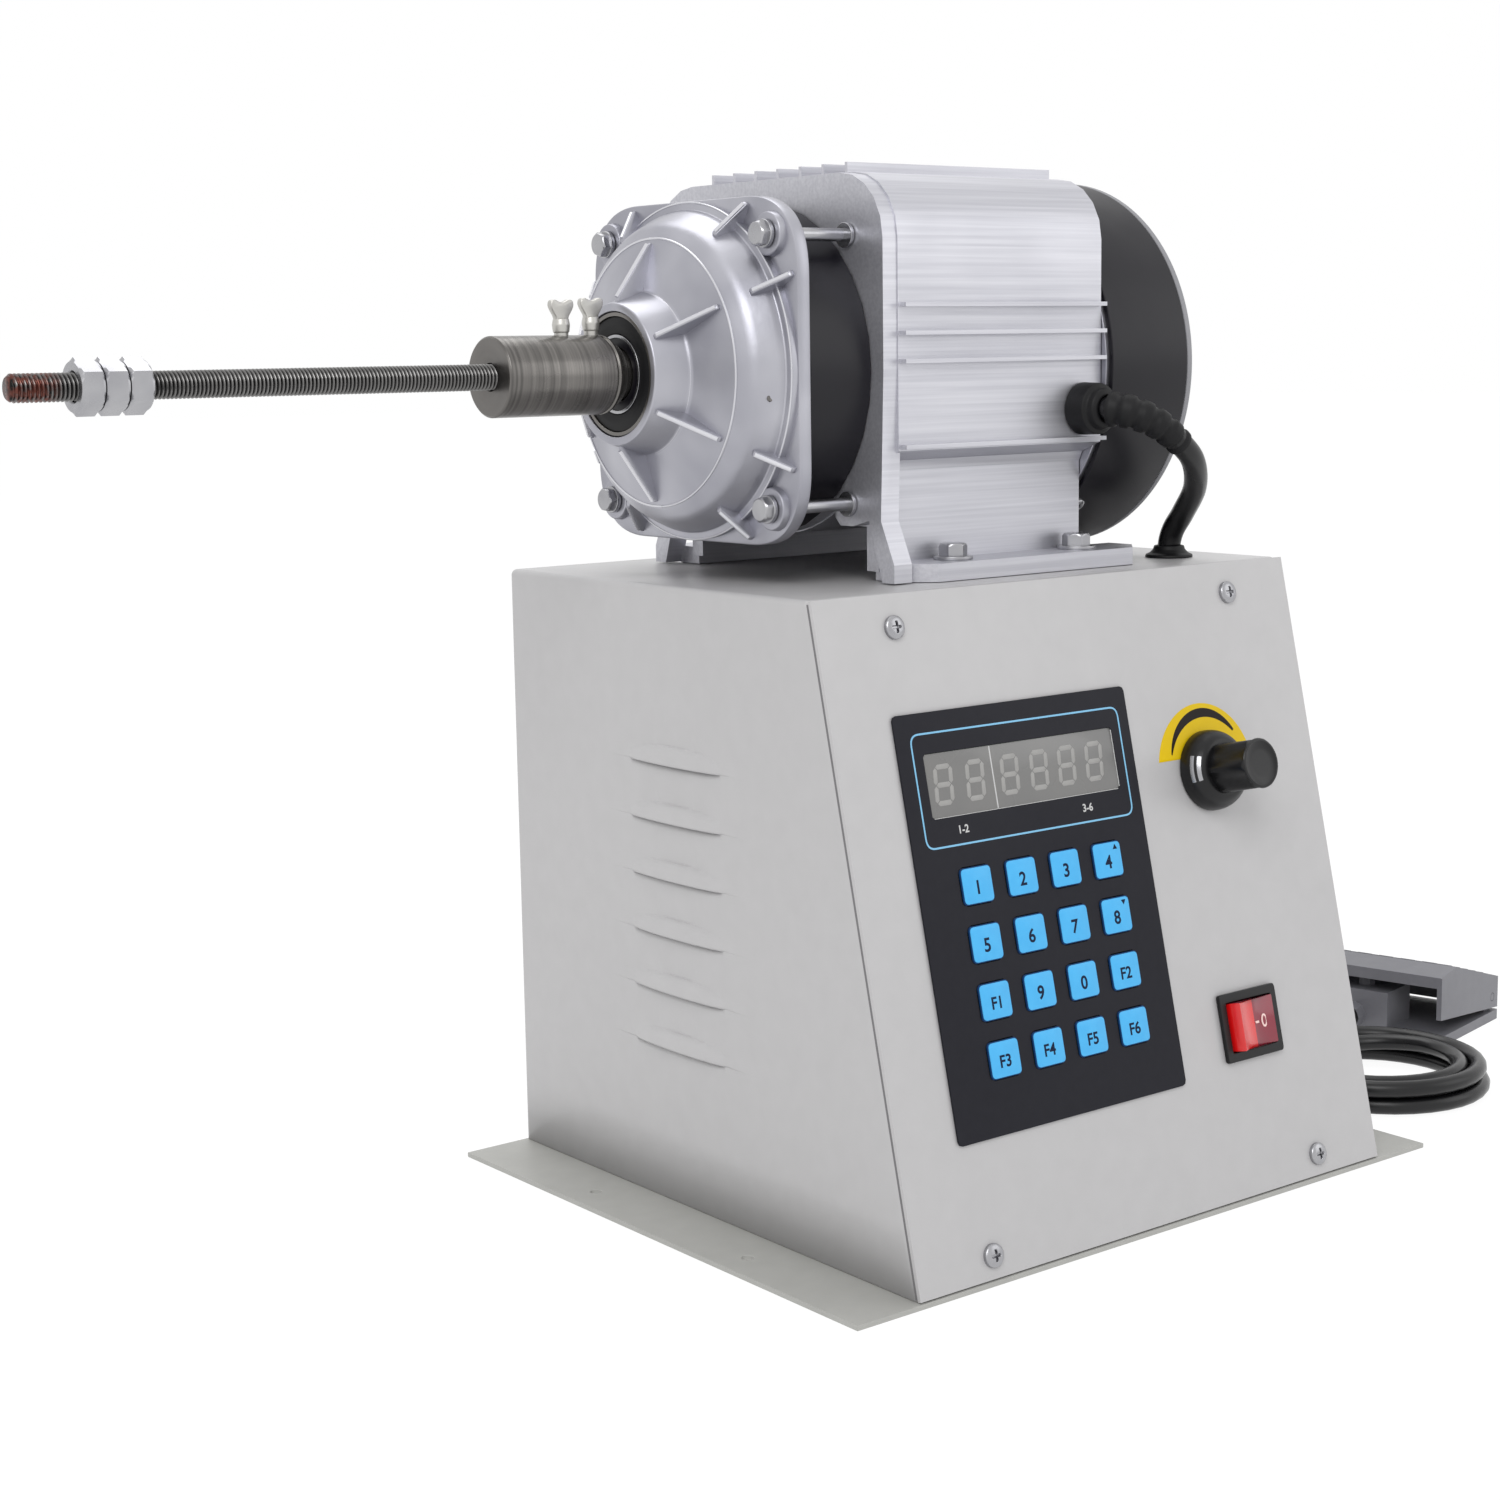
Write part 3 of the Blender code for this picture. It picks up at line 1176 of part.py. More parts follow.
def foot_outline(side):
    """One foot seen from above, along local (X, Y), with its outer corners cut off."""
    outer = side * FOOT_HALF_SPAN
    inner = side * (FOOT_HALF_SPAN - FOOT_WIDTH)
    cut_in = side * FOOT_CHAMFER
    return [(FOOT_FRONT_X, inner), (FOOT_FRONT_X, outer - cut_in),
            (FOOT_FRONT_X + FOOT_CHAMFER, outer), (FOOT_REAR_X - FOOT_CHAMFER, outer),
            (FOOT_REAR_X, outer - cut_in), (FOOT_REAR_X, inner)]


def build_motor_housing(aluminium, axis):
    """Extruded body with its front wall, feet, bore and bolt holes."""
    body_front = HOUSING_FRONT_X + HOUSING_WALL_THICKNESS
    body_length = HOUSING_REAR_X - body_front
    outline = [across_axis(y, z) for y, z in housing_outline()]
    housing = plate("motor_housing", [outline], body_length, (0, 0, body_front + body_length / 2),
                    axis, aluminium)
    join(housing, blocks("motor_housing_fins", housing_fins(), axis, None))
    wall_front = HOUSING_FRONT_X
    wall_length = HOUSING_WALL_THICKNESS + CUT_OVERRUN
    wall = [across_axis(y, z) for y, z in front_wall_outline()]
    join(housing, plate("motor_housing_wall", [wall], wall_length,
                        (0, 0, wall_front + wall_length / 2), axis, None))
    foot_z = CASE_HEIGHT + SEAT_GAP + FOOT_THICKNESS / 2
    for side, name in ((-1, "motor_housing_front_foot"), (1, "motor_housing_back_foot")):
        join(housing, plate(name, [foot_outline(side)], FOOT_THICKNESS, (0, SPINDLE_Y, foot_z),
                            None, None))
    bore_front = wall_front + HOUSING_WALL_THICKNESS
    bore_length = HOUSING_REAR_X + CUT_OVERRUN - bore_front
    cut(housing, cylinders("motor_housing_bore", STATOR_BORE_RADIUS, bore_length,
                           [(0, 0, bore_front + bore_length / 2)], axis, None, steps=FINE_STEPS))
    cut(housing, cylinders("motor_housing_shaft_hole", SHAFT_RADIUS + SEAT_GAP,
                           HOUSING_WALL_THICKNESS + 2 * CUT_OVERRUN,
                           [(0, 0, wall_front + HOUSING_WALL_THICKNESS / 2)], axis, None))
    depth = THROUGH_BOLT_DEPTH + CUT_OVERRUN
    cut(housing, cylinders("motor_housing_bolt_holes", THROUGH_BOLT_RADIUS + SEAT_GAP, 2 * depth,
                           through_bolt_places(wall_front), axis, None, steps=TINY_STEPS))
    cut(housing, cylinders("motor_housing_foot_holes", FOOT_BOLT_RADIUS + SEAT_GAP,
                           FOOT_THICKNESS + 2 * CUT_OVERRUN, foot_bolt_places(foot_z), None, None,
                           steps=TINY_STEPS))
    cut(housing, cylinders("motor_housing_gland_hole", GLAND_NOSE_RADIUS + SEAT_GAP,
                           2 * (HOUSING_HALF_WIDTH - STATOR_BORE_RADIUS),
                           [(GLAND_X, SPINDLE_Y - HOUSING_HALF_WIDTH, SPINDLE_Z - GLAND_DROP)],
                           None, None, turn=Matrix.Rotation(math.pi / 2, 4, "X")))
    return housing


def build_foot_bolts(zinc):
    """Tapped plate under the case top with the four flange bolts screwed into it."""
    top = CASE_HEIGHT - SHEET_THICKNESS - SEAT_GAP
    length = FOOT_BOLT_PITCH + 2 * TAPPED_PLATE_MARGIN
    width = 2 * (FOOT_BOLT_SPAN + TAPPED_PLATE_MARGIN)
    strip = block("foot_bolt_plate", (length, width, TAPPED_PLATE_THICKNESS),
                  (FOOT_BOLT_FRONT_X + FOOT_BOLT_PITCH / 2, SPINDLE_Y,
                   top - TAPPED_PLATE_THICKNESS / 2),
                  None, zinc)
    seat = CASE_HEIGHT + SEAT_GAP + FOOT_THICKNESS + SEAT_GAP
    washer = FOOT_BOLT_WASHER_THICKNESS
    end = top - TAPPED_PLATE_THICKNESS - FOOT_BOLT_RADIUS
    profile = [(0, end), (FOOT_BOLT_RADIUS, end), (FOOT_BOLT_RADIUS, seat),
               (FOOT_BOLT_WASHER_RADIUS, seat), (FOOT_BOLT_WASHER_RADIUS, seat + washer / 2),
               (FOOT_BOLT_CORNER_RADIUS, seat + washer), (0, seat + washer)]
    placements = [Matrix.Translation(place) for place in foot_bolt_places(0)]
    join(strip, screw_set("foot_bolt_shanks", profile, placements, None))
    head = FOOT_BOLT_HEAD_HEIGHT + washer / 2
    join(strip, cylinders("foot_bolt_heads", FOOT_BOLT_CORNER_RADIUS, head,
                          foot_bolt_places(seat + washer / 2 + head / 2), None, None, steps=6))
    return strip


def build_stator(copper, axis):
    """Laminated ring with the winding heads standing out at both ends."""
    outer = STATOR_BORE_RADIUS - SEAT_GAP
    front = ROTOR_FRONT_X
    rear = ROTOR_REAR_X
    profile = [(STATOR_INNER_RADIUS, front - WINDING_REACH),
               (WINDING_OUTER_RADIUS, front - WINDING_REACH),
               (WINDING_OUTER_RADIUS, front), (outer, front), (outer, rear),
               (WINDING_OUTER_RADIUS, rear), (WINDING_OUTER_RADIUS, rear + WINDING_REACH),
               (STATOR_INNER_RADIUS, rear + WINDING_REACH)]
    return turned("stator", profile, (0, 0, 0), (0, 0, 0), axis, copper, FINE_STEPS)


def build_rotor(steel, axis):
    """Rotor core and shaft, with the sun pinion cut on its front end."""
    tail = FAN_FRONT_X + FAN_DEPTH
    rotor_radius = ROTOR_RADIUS
    profile = [(0, GEAR_REAR_X), (SHAFT_RADIUS, GEAR_REAR_X), (SHAFT_RADIUS, ROTOR_FRONT_X),
               (rotor_radius, ROTOR_FRONT_X), (rotor_radius, ROTOR_REAR_X),
               (SHAFT_RADIUS, ROTOR_REAR_X), (SHAFT_RADIUS, tail), (0, tail)]
    rotor = turned("rotor_shaft", profile, (0, 0, 0), (0, 0, 0), axis, steel)
    half_pitch = math.pi / SUN_TEETH
    sun = gear_outline(SUN_TEETH, half_pitch)
    length = GEAR_WIDTH + SHEET_THICKNESS
    join(rotor, plate("rotor_shaft_sun", [sun], length, (0, 0, GEAR_FRONT_X + length / 2), axis, None))
    return rotor


def build_planets(steel, axis):
    """Three planet gears, each on its own carrier pin, clear of its corners."""
    bore = (CARRIER_PIN_RADIUS + SEAT_GAP) / math.cos(math.pi / TINY_STEPS)
    for index in range(PLANET_COUNT):
        angle = 2 * math.pi * index / PLANET_COUNT
        name = "planet_gear_%d" % (index + 1)
        loops = [gear_outline(PLANET_TEETH, angle), circle(bore, TINY_STEPS)]
        place = (PLANET_ORBIT * math.cos(angle), PLANET_ORBIT * math.sin(angle), GEAR_MIDDLE_X)
        plate(name, loops, GEAR_WIDTH, place, axis, steel)


def build_ring_gear(black, axis):
    """Toothed ring between the cover and the motor."""
    length = RING_REAR_X - RING_FRONT_X
    phase = math.pi / RING_TEETH
    loops = [circle(RING_OUTER_RADIUS, FINE_STEPS), gear_outline(RING_TEETH, phase, inward=True)]
    return plate("ring_gear", loops, length, (0, 0, RING_FRONT_X + length / 2), axis, black)


def build_carrier(steel, axis):
    """Output shaft with the carrier plate and the pins of the planets."""
    stop = BEARING_BORE_RADIUS - SEAT_GAP
    collar = BEARING_REAR_X + SEAT_GAP
    profile = [(0, OUTPUT_TIP_X), (OUTPUT_TIP_RADIUS, OUTPUT_TIP_X), (OUTPUT_TIP_RADIUS, OUTPUT_STEP_X),
               (stop, OUTPUT_STEP_X), (stop, collar), (BEARING_RACE_RADIUS, collar),
               (BEARING_RACE_RADIUS, CARRIER_FRONT_X), (CARRIER_RADIUS, CARRIER_FRONT_X),
               (CARRIER_RADIUS, CARRIER_REAR_X), (0, CARRIER_REAR_X)]
    carrier = turned("planet_carrier", profile, (0, 0, 0), (0, 0, 0), axis, steel)
    pin_end = GEAR_REAR_X + CARRIER_PIN_OVERHANG
    pin_start = CARRIER_REAR_X - CARRIER_THICKNESS / 2
    places = []
    for index in range(PLANET_COUNT):
        angle = 2 * math.pi * index / PLANET_COUNT
        places.append((PLANET_ORBIT * math.cos(angle), PLANET_ORBIT * math.sin(angle),
                       (pin_start + pin_end) / 2))
    join(carrier, cylinders("planet_carrier_pins", CARRIER_PIN_RADIUS, pin_end - pin_start, places,
                            axis, None, steps=TINY_STEPS))
    return carrier


def build_bearing(seal_black, axis):
    """Sealed bearing with a groove where its inner race ends."""
    bore = BEARING_BORE_RADIUS
    front = BEARING_FRONT_X
    race = BEARING_RACE_RADIUS
    groove = BEARING_RACE_GROOVE
    profile = [(bore, front), (race - groove, front), (race - groove, front + groove),
               (race + groove, front + groove), (race + groove, front), (BEARING_RADIUS, front),
               (BEARING_RADIUS, BEARING_REAR_X), (bore, BEARING_REAR_X)]
    return turned("output_bearing", profile, (0, 0, 0), (0, 0, 0), axis, seal_black)


def cover_profile():
    """Wall section of the cover's dome and hub, as (radius, station)."""
    seat = BEARING_RADIUS + SEAT_GAP
    seat_end = BEARING_REAR_X + SEAT_GAP
    inner_face = COVER_FACE_X + COVER_WALL
    step_front = COVER_FLANGE_FRONT_X - COVER_STEP_HEIGHT
    face_edge = COVER_FACE_X + COVER_FACE_DROP
    drop = COVER_SHOULDER_DROP
    narrow = COVER_CAVITY_RADIUS - COVER_CAVITY_TAPER
    return [(seat, COVER_HUB_X), (COVER_HUB_TIP_RADIUS, COVER_HUB_X),
            (COVER_HUB_FOOT_RADIUS, COVER_FACE_X), (COVER_FACE_RADIUS, face_edge),
            (COVER_SHOULDER_RADIUS, face_edge + drop),
            (COVER_DRUM_RADIUS, step_front), (COVER_STEP_RADIUS, step_front),
            (COVER_STEP_RADIUS, COVER_FLANGE_REAR_X), (COVER_CAVITY_RADIUS, COVER_FLANGE_REAR_X),
            (COVER_CAVITY_RADIUS, step_front), (narrow, face_edge + COVER_FACE_DROP),
            (narrow - COVER_WALL, face_edge + drop), (BEARING_STOP_RADIUS, inner_face),
            (BEARING_STOP_RADIUS, seat_end), (seat, seat_end)]


def radial_web(name, outline, thickness, angle, axis):
    """Thin plate in a plane through the axis; its outline is (radius, station)."""
    mesh = outline_mesh(name, [outline], thickness)
    bm = bmesh.new()
    bm.from_mesh(mesh)
    stand = Matrix.Rotation(math.pi / 2, 4, "X")
    turn = Matrix.Rotation(angle, 4, "Z")
    bmesh.ops.transform(bm, matrix=turn @ stand, verts=bm.verts)
    bm.to_mesh(mesh)
    bm.free()
    return add_object(name, mesh, (0, 0, 0), (0, 0, 0), axis, None)


def build_cover(aluminium, axis):
    """Die-cast dome with hub ribs, gussets, bolt bosses and a square flange."""
    cover = turned("gearbox_cover", cover_profile(), (0, 0, 0), (0, 0, 0), axis, aluminium, FINE_STEPS)
    across = 2 * COVER_HALF_WIDTH
    flange_loops = [rounded_rectangle(across, across, COVER_CORNER_RADIUS, 4),
                    circle((COVER_CAVITY_RADIUS + COVER_STEP_RADIUS) / 2, ROUND_STEPS)]
    flange_middle = COVER_FLANGE_REAR_X - COVER_FLANGE_THICKNESS / 2
    join(cover, plate("gearbox_cover_flange", flange_loops, COVER_FLANGE_THICKNESS,
                      (0, 0, flange_middle), axis, None))
    boss_length = COVER_BOSS_HEIGHT + COVER_FLANGE_THICKNESS / 2
    boss_station = COVER_FLANGE_FRONT_X - COVER_BOSS_HEIGHT + boss_length / 2
    join(cover, cylinders("gearbox_cover_bosses", COVER_BOSS_RADIUS, boss_length,
                          through_bolt_places(boss_station), axis, None, steps=TINY_STEPS))
    rib_foot = COVER_FACE_X + COVER_WALL / 2
    rib_end = COVER_FACE_X + COVER_FACE_DROP + COVER_WALL / 4
    rib = [(COVER_HUB_TIP_RADIUS, rib_foot), (COVER_RIB_REACH, rib_end),
           (COVER_RIB_REACH, rib_end - COVER_WALL * 3 / 4),
           (COVER_HUB_TIP_RADIUS + COVER_WALL / 4, COVER_HUB_X + COVER_WALL / 2),
           (COVER_HUB_TIP_RADIUS - COVER_WALL / 4, COVER_HUB_X + COVER_WALL / 2)]
    for index in range(COVER_RIBS):
        angle = 2 * math.pi * index / COVER_RIBS
        join(cover, radial_web("gearbox_cover_rib_%d" % index, rib, COVER_RIB_THICKNESS, angle, axis))
    gusset_root = COVER_CAVITY_RADIUS + COVER_WALL / 4
    gusset_foot = COVER_FLANGE_FRONT_X + COVER_FLANGE_THICKNESS / 2
    gusset = [(gusset_root, gusset_foot), (gusset_root, COVER_FLANGE_FRONT_X - GUSSET_LENGTH),
              (GUSSET_REACH, COVER_FLANGE_FRONT_X), (GUSSET_REACH, gusset_foot)]
    count = 0
    for corner in range(4):
        for side in (-1, 1):
            angle = math.pi / 4 + math.pi / 2 * corner + side * GUSSET_SPREAD
            count += 1
            join(cover, radial_web("gearbox_cover_gusset_%d" % count, gusset, GUSSET_THICKNESS,
                                   angle, axis))
    depth = COVER_FLANGE_THICKNESS + COVER_BOSS_HEIGHT + 2 * CUT_OVERRUN
    cut(cover, cylinders("gearbox_cover_bolt_holes", THROUGH_BOLT_RADIUS + SEAT_GAP, depth,
                         through_bolt_places(flange_middle), axis, None, steps=TINY_STEPS))
    return cover


def build_through_bolts(zinc, axis):
    """Long screws from the cover's bosses into the motor housing, each with a washer."""
    seat = COVER_FLANGE_FRONT_X - COVER_BOSS_HEIGHT - SEAT_GAP
    head_top = seat - THROUGH_BOLT_HEAD_HEIGHT
    end = HOUSING_FRONT_X + THROUGH_BOLT_DEPTH
    washer = HOUSING_FRONT_X - SEAT_GAP
    profile = [(0, head_top), (THROUGH_BOLT_HEAD_RADIUS - THROUGH_BOLT_HEAD_HEIGHT / 4, head_top),
               (THROUGH_BOLT_HEAD_RADIUS, head_top + THROUGH_BOLT_HEAD_HEIGHT / 4),
               (THROUGH_BOLT_HEAD_RADIUS, seat), (THROUGH_BOLT_RADIUS, seat),
               (THROUGH_BOLT_RADIUS, washer - BOLT_WASHER_THICKNESS),
               (BOLT_WASHER_RADIUS, washer - BOLT_WASHER_THICKNESS), (BOLT_WASHER_RADIUS, washer),
               (THROUGH_BOLT_RADIUS, washer), (THROUGH_BOLT_RADIUS, end), (0, end)]
    for index, place in enumerate(through_bolt_places(0)):
        turned("gearbox_bolt_%d" % (index + 1), profile, place, (0, 0, 0), axis, zinc, TINY_STEPS)


def build_rear_shield(aluminium, axis):
    """End plate with a spigot in the housing's bore, and the four cowl screws in its rim."""
    front = HOUSING_REAR_X + SEAT_GAP
    rear = front + SHIELD_THICKNESS
    outer = COWL_RADIUS - COWL_WALL - SEAT_GAP
    spigot = STATOR_BORE_RADIUS - SEAT_GAP
    bore = SHAFT_RADIUS + SEAT_GAP
    web = rear - SHIELD_THICKNESS / 2
    profile = [(bore, web), (bore, rear), (outer, rear), (outer, front), (spigot, front),
               (spigot, front - SHIELD_SPIGOT), (spigot - SHIELD_SPIGOT_WALL, front - SHIELD_SPIGOT),
               (spigot - SHIELD_SPIGOT_WALL, web)]
    shield = turned("rear_shield", profile, (0, 0, 0), (0, 0, 0), axis, aluminium, FINE_STEPS)
    screw = pan_head_profile(COWL_SCREW_RADIUS, COWL_SCREW_LENGTH, COWL_SCREW_HEAD_RADIUS,
                             COWL_SCREW_HEAD_HEIGHT)
    placements = cowl_screw_placements(COWL_RADIUS + SEAT_GAP)
    return join(shield, screw_set("rear_shield_screws", screw, placements, axis))


def cowl_screw_placements(radius):
    """Radial placements of the cowl screws on the axis frame, heads outwards."""
    placements = []
    for side in (1, -1):
        for half_turn in (0, math.pi):
            angle = side * COWL_SCREW_ANGLE + half_turn
            place = (radius * math.cos(angle), radius * math.sin(angle), COWL_SCREW_X)
            turn = Matrix.Rotation(angle, 4, "Z") @ Matrix.Rotation(math.pi / 2, 4, "Y")
            placements.append(Matrix.Translation(place) @ turn)
    return placements


def build_cowl(black, axis):
    """Round fan cowl, open at both ends."""
    inner = COWL_RADIUS - COWL_WALL
    profile = [(inner, COWL_FRONT_X), (COWL_RADIUS, COWL_FRONT_X), (COWL_RADIUS, COWL_REAR_X),
               (inner, COWL_REAR_X)]
    cowl = turned("fan_cowl", profile, (0, 0, 0), (0, 0, 0), axis, black, FINE_STEPS)
    bm = bmesh.new()
    for placement in cowl_screw_placements(COWL_RADIUS):
        wide = COWL_SCREW_RADIUS + SEAT_GAP
        bmesh.ops.create_cone(bm, cap_ends=True, segments=TINY_STEPS, radius1=wide,
                              radius2=wide,
                              depth=2 * (COWL_WALL + CUT_OVERRUN), matrix=placement)
    cutter = add_object("fan_cowl_screw_holes", finish_mesh("fan_cowl_screw_holes", bm),
                        (0, 0, 0), (0, 0, 0), axis, None)
    return cut(cowl, cutter)


def build_grille(grey, axis):
    """Slightly domed rear cap with parallel air slots."""
    inner = COWL_RADIUS - COWL_WALL - SEAT_GAP
    rim_front = COWL_REAR_X - GRILLE_RIM
    outside = []
    inside = []
    steps = 2
    for step in range(steps + 1):
        share = step / steps
        radius = COWL_RADIUS * share
        rise = GRILLE_RISE * (1 - share * share)
        outside.append((radius, COWL_REAR_X + SEAT_GAP + GRILLE_THICKNESS + rise))
        inside.append((radius * inner / COWL_RADIUS, COWL_REAR_X + SEAT_GAP + rise))
    wall = inner - GRILLE_THICKNESS
    inside = [point for point in inside if point[0] < wall]
    last_rise = GRILLE_RISE * (1 - (wall / inner) ** 2)
    inside.append((wall, COWL_REAR_X + SEAT_GAP + last_rise))
    profile = (outside + [(COWL_RADIUS, COWL_REAR_X + SEAT_GAP), (inner, COWL_REAR_X + SEAT_GAP),
                          (inner, rim_front), (wall, rim_front)] + inside[::-1])
    grille = turned("fan_grille", profile, (0, 0, 0), (0, 0, 0), axis, grey, FINE_STEPS)
    slots = []
    half = (GRILLE_SLOTS - 1) / 2
    for index in range(GRILLE_SLOTS):
        across = (index - half) * GRILLE_SLOT_PITCH
        reach = math.sqrt((wall - GRILLE_SLOT_PITCH / 2) ** 2 - across ** 2)
        slots.append(((GRILLE_SLOT_WIDTH, 2 * reach, GRILLE_RISE + 4 * GRILLE_THICKNESS),
                      (across, 0, COWL_REAR_X + GRILLE_RISE / 2 + GRILLE_THICKNESS)))
    return cut(grille, blocks("fan_grille_slots", slots, axis, None))


def build_fan(plastic, axis):
    """Hub, back plate and straight blades of the cooling fan."""
    bore = SHAFT_RADIUS + SEAT_GAP
    front = FAN_FRONT_X
    rear = FAN_FRONT_X + FAN_DEPTH
    profile = [(bore, front), (FAN_RADIUS, front), (FAN_RADIUS, front + FAN_PLATE_THICKNESS),
               (FAN_HUB_RADIUS, front + FAN_PLATE_THICKNESS), (FAN_HUB_RADIUS, rear), (bore, rear)]
    fan = turned("cooling_fan", profile, (0, 0, 0), (0, 0, 0), axis, plastic)
    root = (FAN_HUB_RADIUS + bore) / 2
    tip = FAN_RADIUS - FAN_PLATE_THICKNESS
    near = front + FAN_PLATE_THICKNESS / 2
    far = rear - FAN_PLATE_THICKNESS
    blade = [(root, near), (tip, near), (tip, far), (root, far)]
    for index in range(FAN_BLADES):
        angle = 2 * math.pi * index / FAN_BLADES
        join(fan, radial_web("cooling_fan_blade_%d" % index, blade, FAN_BLADE_THICKNESS, angle, axis))
    return fan


def build_motor_gland(rubber):
    """Gland on the front side of the motor, with its hollow nose in the wall."""
    face = SPINDLE_Y - HOUSING_HALF_WIDTH - SEAT_GAP
    bore = MOTOR_LEAD_RADIUS + LEAD_CLEARANCE
    wall = HOUSING_HALF_WIDTH - STATOR_BORE_RADIUS
    shank = wall / 2
    profile = [(bore, -shank), (GLAND_NOSE_RADIUS, -shank), (GLAND_NOSE_RADIUS, 0), (GLAND_RADIUS, 0),
               (GLAND_RADIUS, GLAND_LENGTH), (GLAND_NOSE_RADIUS, GLAND_LENGTH + GLAND_NOSE_LENGTH),
               (bore, GLAND_LENGTH + GLAND_NOSE_LENGTH)]
    at = (GLAND_X, face, SPINDLE_Z - GLAND_DROP)
    return turned("motor_gland", profile, at, (math.pi / 2, 0, 0), None, rubber, SMALL_STEPS)


def build_motor_lead(rubber):
    """Lead from the motor gland down through the grommet into the case."""
    inside = (GLAND_X, SPINDLE_Y - HOUSING_HALF_WIDTH, SPINDLE_Z - GLAND_DROP)
    route = [(x, SPINDLE_Y + y, CASE_HEIGHT + z) for x, y, z in MOTOR_LEAD_ROUTE]
    points = smooth_points([inside] + route, MOTOR_LEAD_POINTS)
    return tube("motor_lead", points, MOTOR_LEAD_RADIUS, rubber, 2)


def build_grommet(rubber):
    """Flared rubber grommet in the case top."""
    bore = MOTOR_LEAD_RADIUS + LEAD_CLEARANCE
    seat = SEAT_GAP
    hole = GROMMET_HOLE_RADIUS - SEAT_GAP
    below = -SHEET_THICKNESS - GROMMET_DEPTH
    profile = [(bore, below), (hole, below), (hole, seat), (GROMMET_RADIUS, seat),
               (GROMMET_RADIUS, seat + GROMMET_RISE / 4), (GROMMET_NECK_RADIUS, GROMMET_RISE),
               (bore, GROMMET_RISE)]
    return turned("case_grommet", profile, grommet_place(), (0, 0, 0), None, rubber, SMALL_STEPS)


def gland_profile(body_radius, seat):
    """Hollow cable gland: hexagon-sized collar and nose outside, body inside the wall."""
    bore = LEAD_RADIUS + SEAT_GAP
    collar = LEAD_GLAND_THICKNESS
    nose = seat + collar + LEAD_GLAND_NOSE_LENGTH
    rounding = LEAD_GLAND_NOSE_LENGTH / 4
    return [(bore, -LEAD_GLAND_BODY_LENGTH), (body_radius, -LEAD_GLAND_BODY_LENGTH),
            (body_radius, seat), (LEAD_GLAND_RADIUS, seat), (LEAD_GLAND_RADIUS, seat + collar),
            (LEAD_GLAND_NOSE_RADIUS, seat + collar), (LEAD_GLAND_NOSE_RADIUS, nose - rounding),
            (LEAD_GLAND_NOSE_RADIUS - rounding, nose), (bore, nose)]


def build_pedal_gland(plastic):
    """Gland of the pedal's lead, on the right wall."""
    turned("pedal_lead_gland", gland_profile(LEAD_GLAND_BODY_RADIUS, SEAT_GAP),
           (CASE_WIDTH / 2, PEDAL_GLAND_Y, PEDAL_GLAND_Z), (0, math.pi / 2, 0), None, plastic,
           SMALL_STEPS)


def build_chuck(steel, axis):
    """Sleeve bored for the rod at one end and for the output shaft at the other."""
    rod_bore = ROD_RADIUS + SEAT_GAP
    shaft_bore = OUTPUT_TIP_RADIUS + SEAT_GAP
    web_rear = OUTPUT_TIP_X - SEAT_GAP
    web_front = web_rear - CHUCK_WEB
    chamfer = CHUCK_CHAMFER
    profile = [(rod_bore, CHUCK_FRONT_X), (CHUCK_RADIUS - chamfer, CHUCK_FRONT_X),
               (CHUCK_RADIUS, CHUCK_FRONT_X + chamfer), (CHUCK_RADIUS, CHUCK_REAR_X - chamfer),
               (CHUCK_RADIUS - chamfer, CHUCK_REAR_X), (CHUCK_NECK_RADIUS, CHUCK_REAR_X),
               (CHUCK_NECK_RADIUS, CHUCK_NECK_X), (shaft_bore, CHUCK_NECK_X),
               (shaft_bore, web_front), (rod_bore, web_front)]
    chuck = turned("chuck_sleeve", profile, (0, 0, 0), (0, 0, 0), axis, steel)
    holes = []
    for station in (WING_FRONT_X, WING_REAR_X):
        holes.append((-CHUCK_RADIUS, 0, station))
    turn = Matrix.Rotation(math.pi / 2, 4, "Y")
    return cut(chuck, cylinders("chuck_sleeve_holes", WING_SHANK_RADIUS + SEAT_GAP,
                                2 * (CHUCK_RADIUS - ROD_RADIUS), holes, axis, None, turn=turn,
                                steps=TINY_STEPS))


def build_rod(steel, axis):
    """Straight threaded rod, chamfered at its tip."""
    rear = OUTPUT_TIP_X - SEAT_GAP - CHUCK_WEB
    profile = [(0, ROD_TIP_X), (ROD_RADIUS - ROD_CHAMFER, ROD_TIP_X),
               (ROD_RADIUS, ROD_TIP_X + ROD_CHAMFER), (ROD_RADIUS, rear), (0, rear)]
    return turned("threaded_rod", profile, (0, 0, 0), (0, 0, 0), axis, steel, SMALL_STEPS)


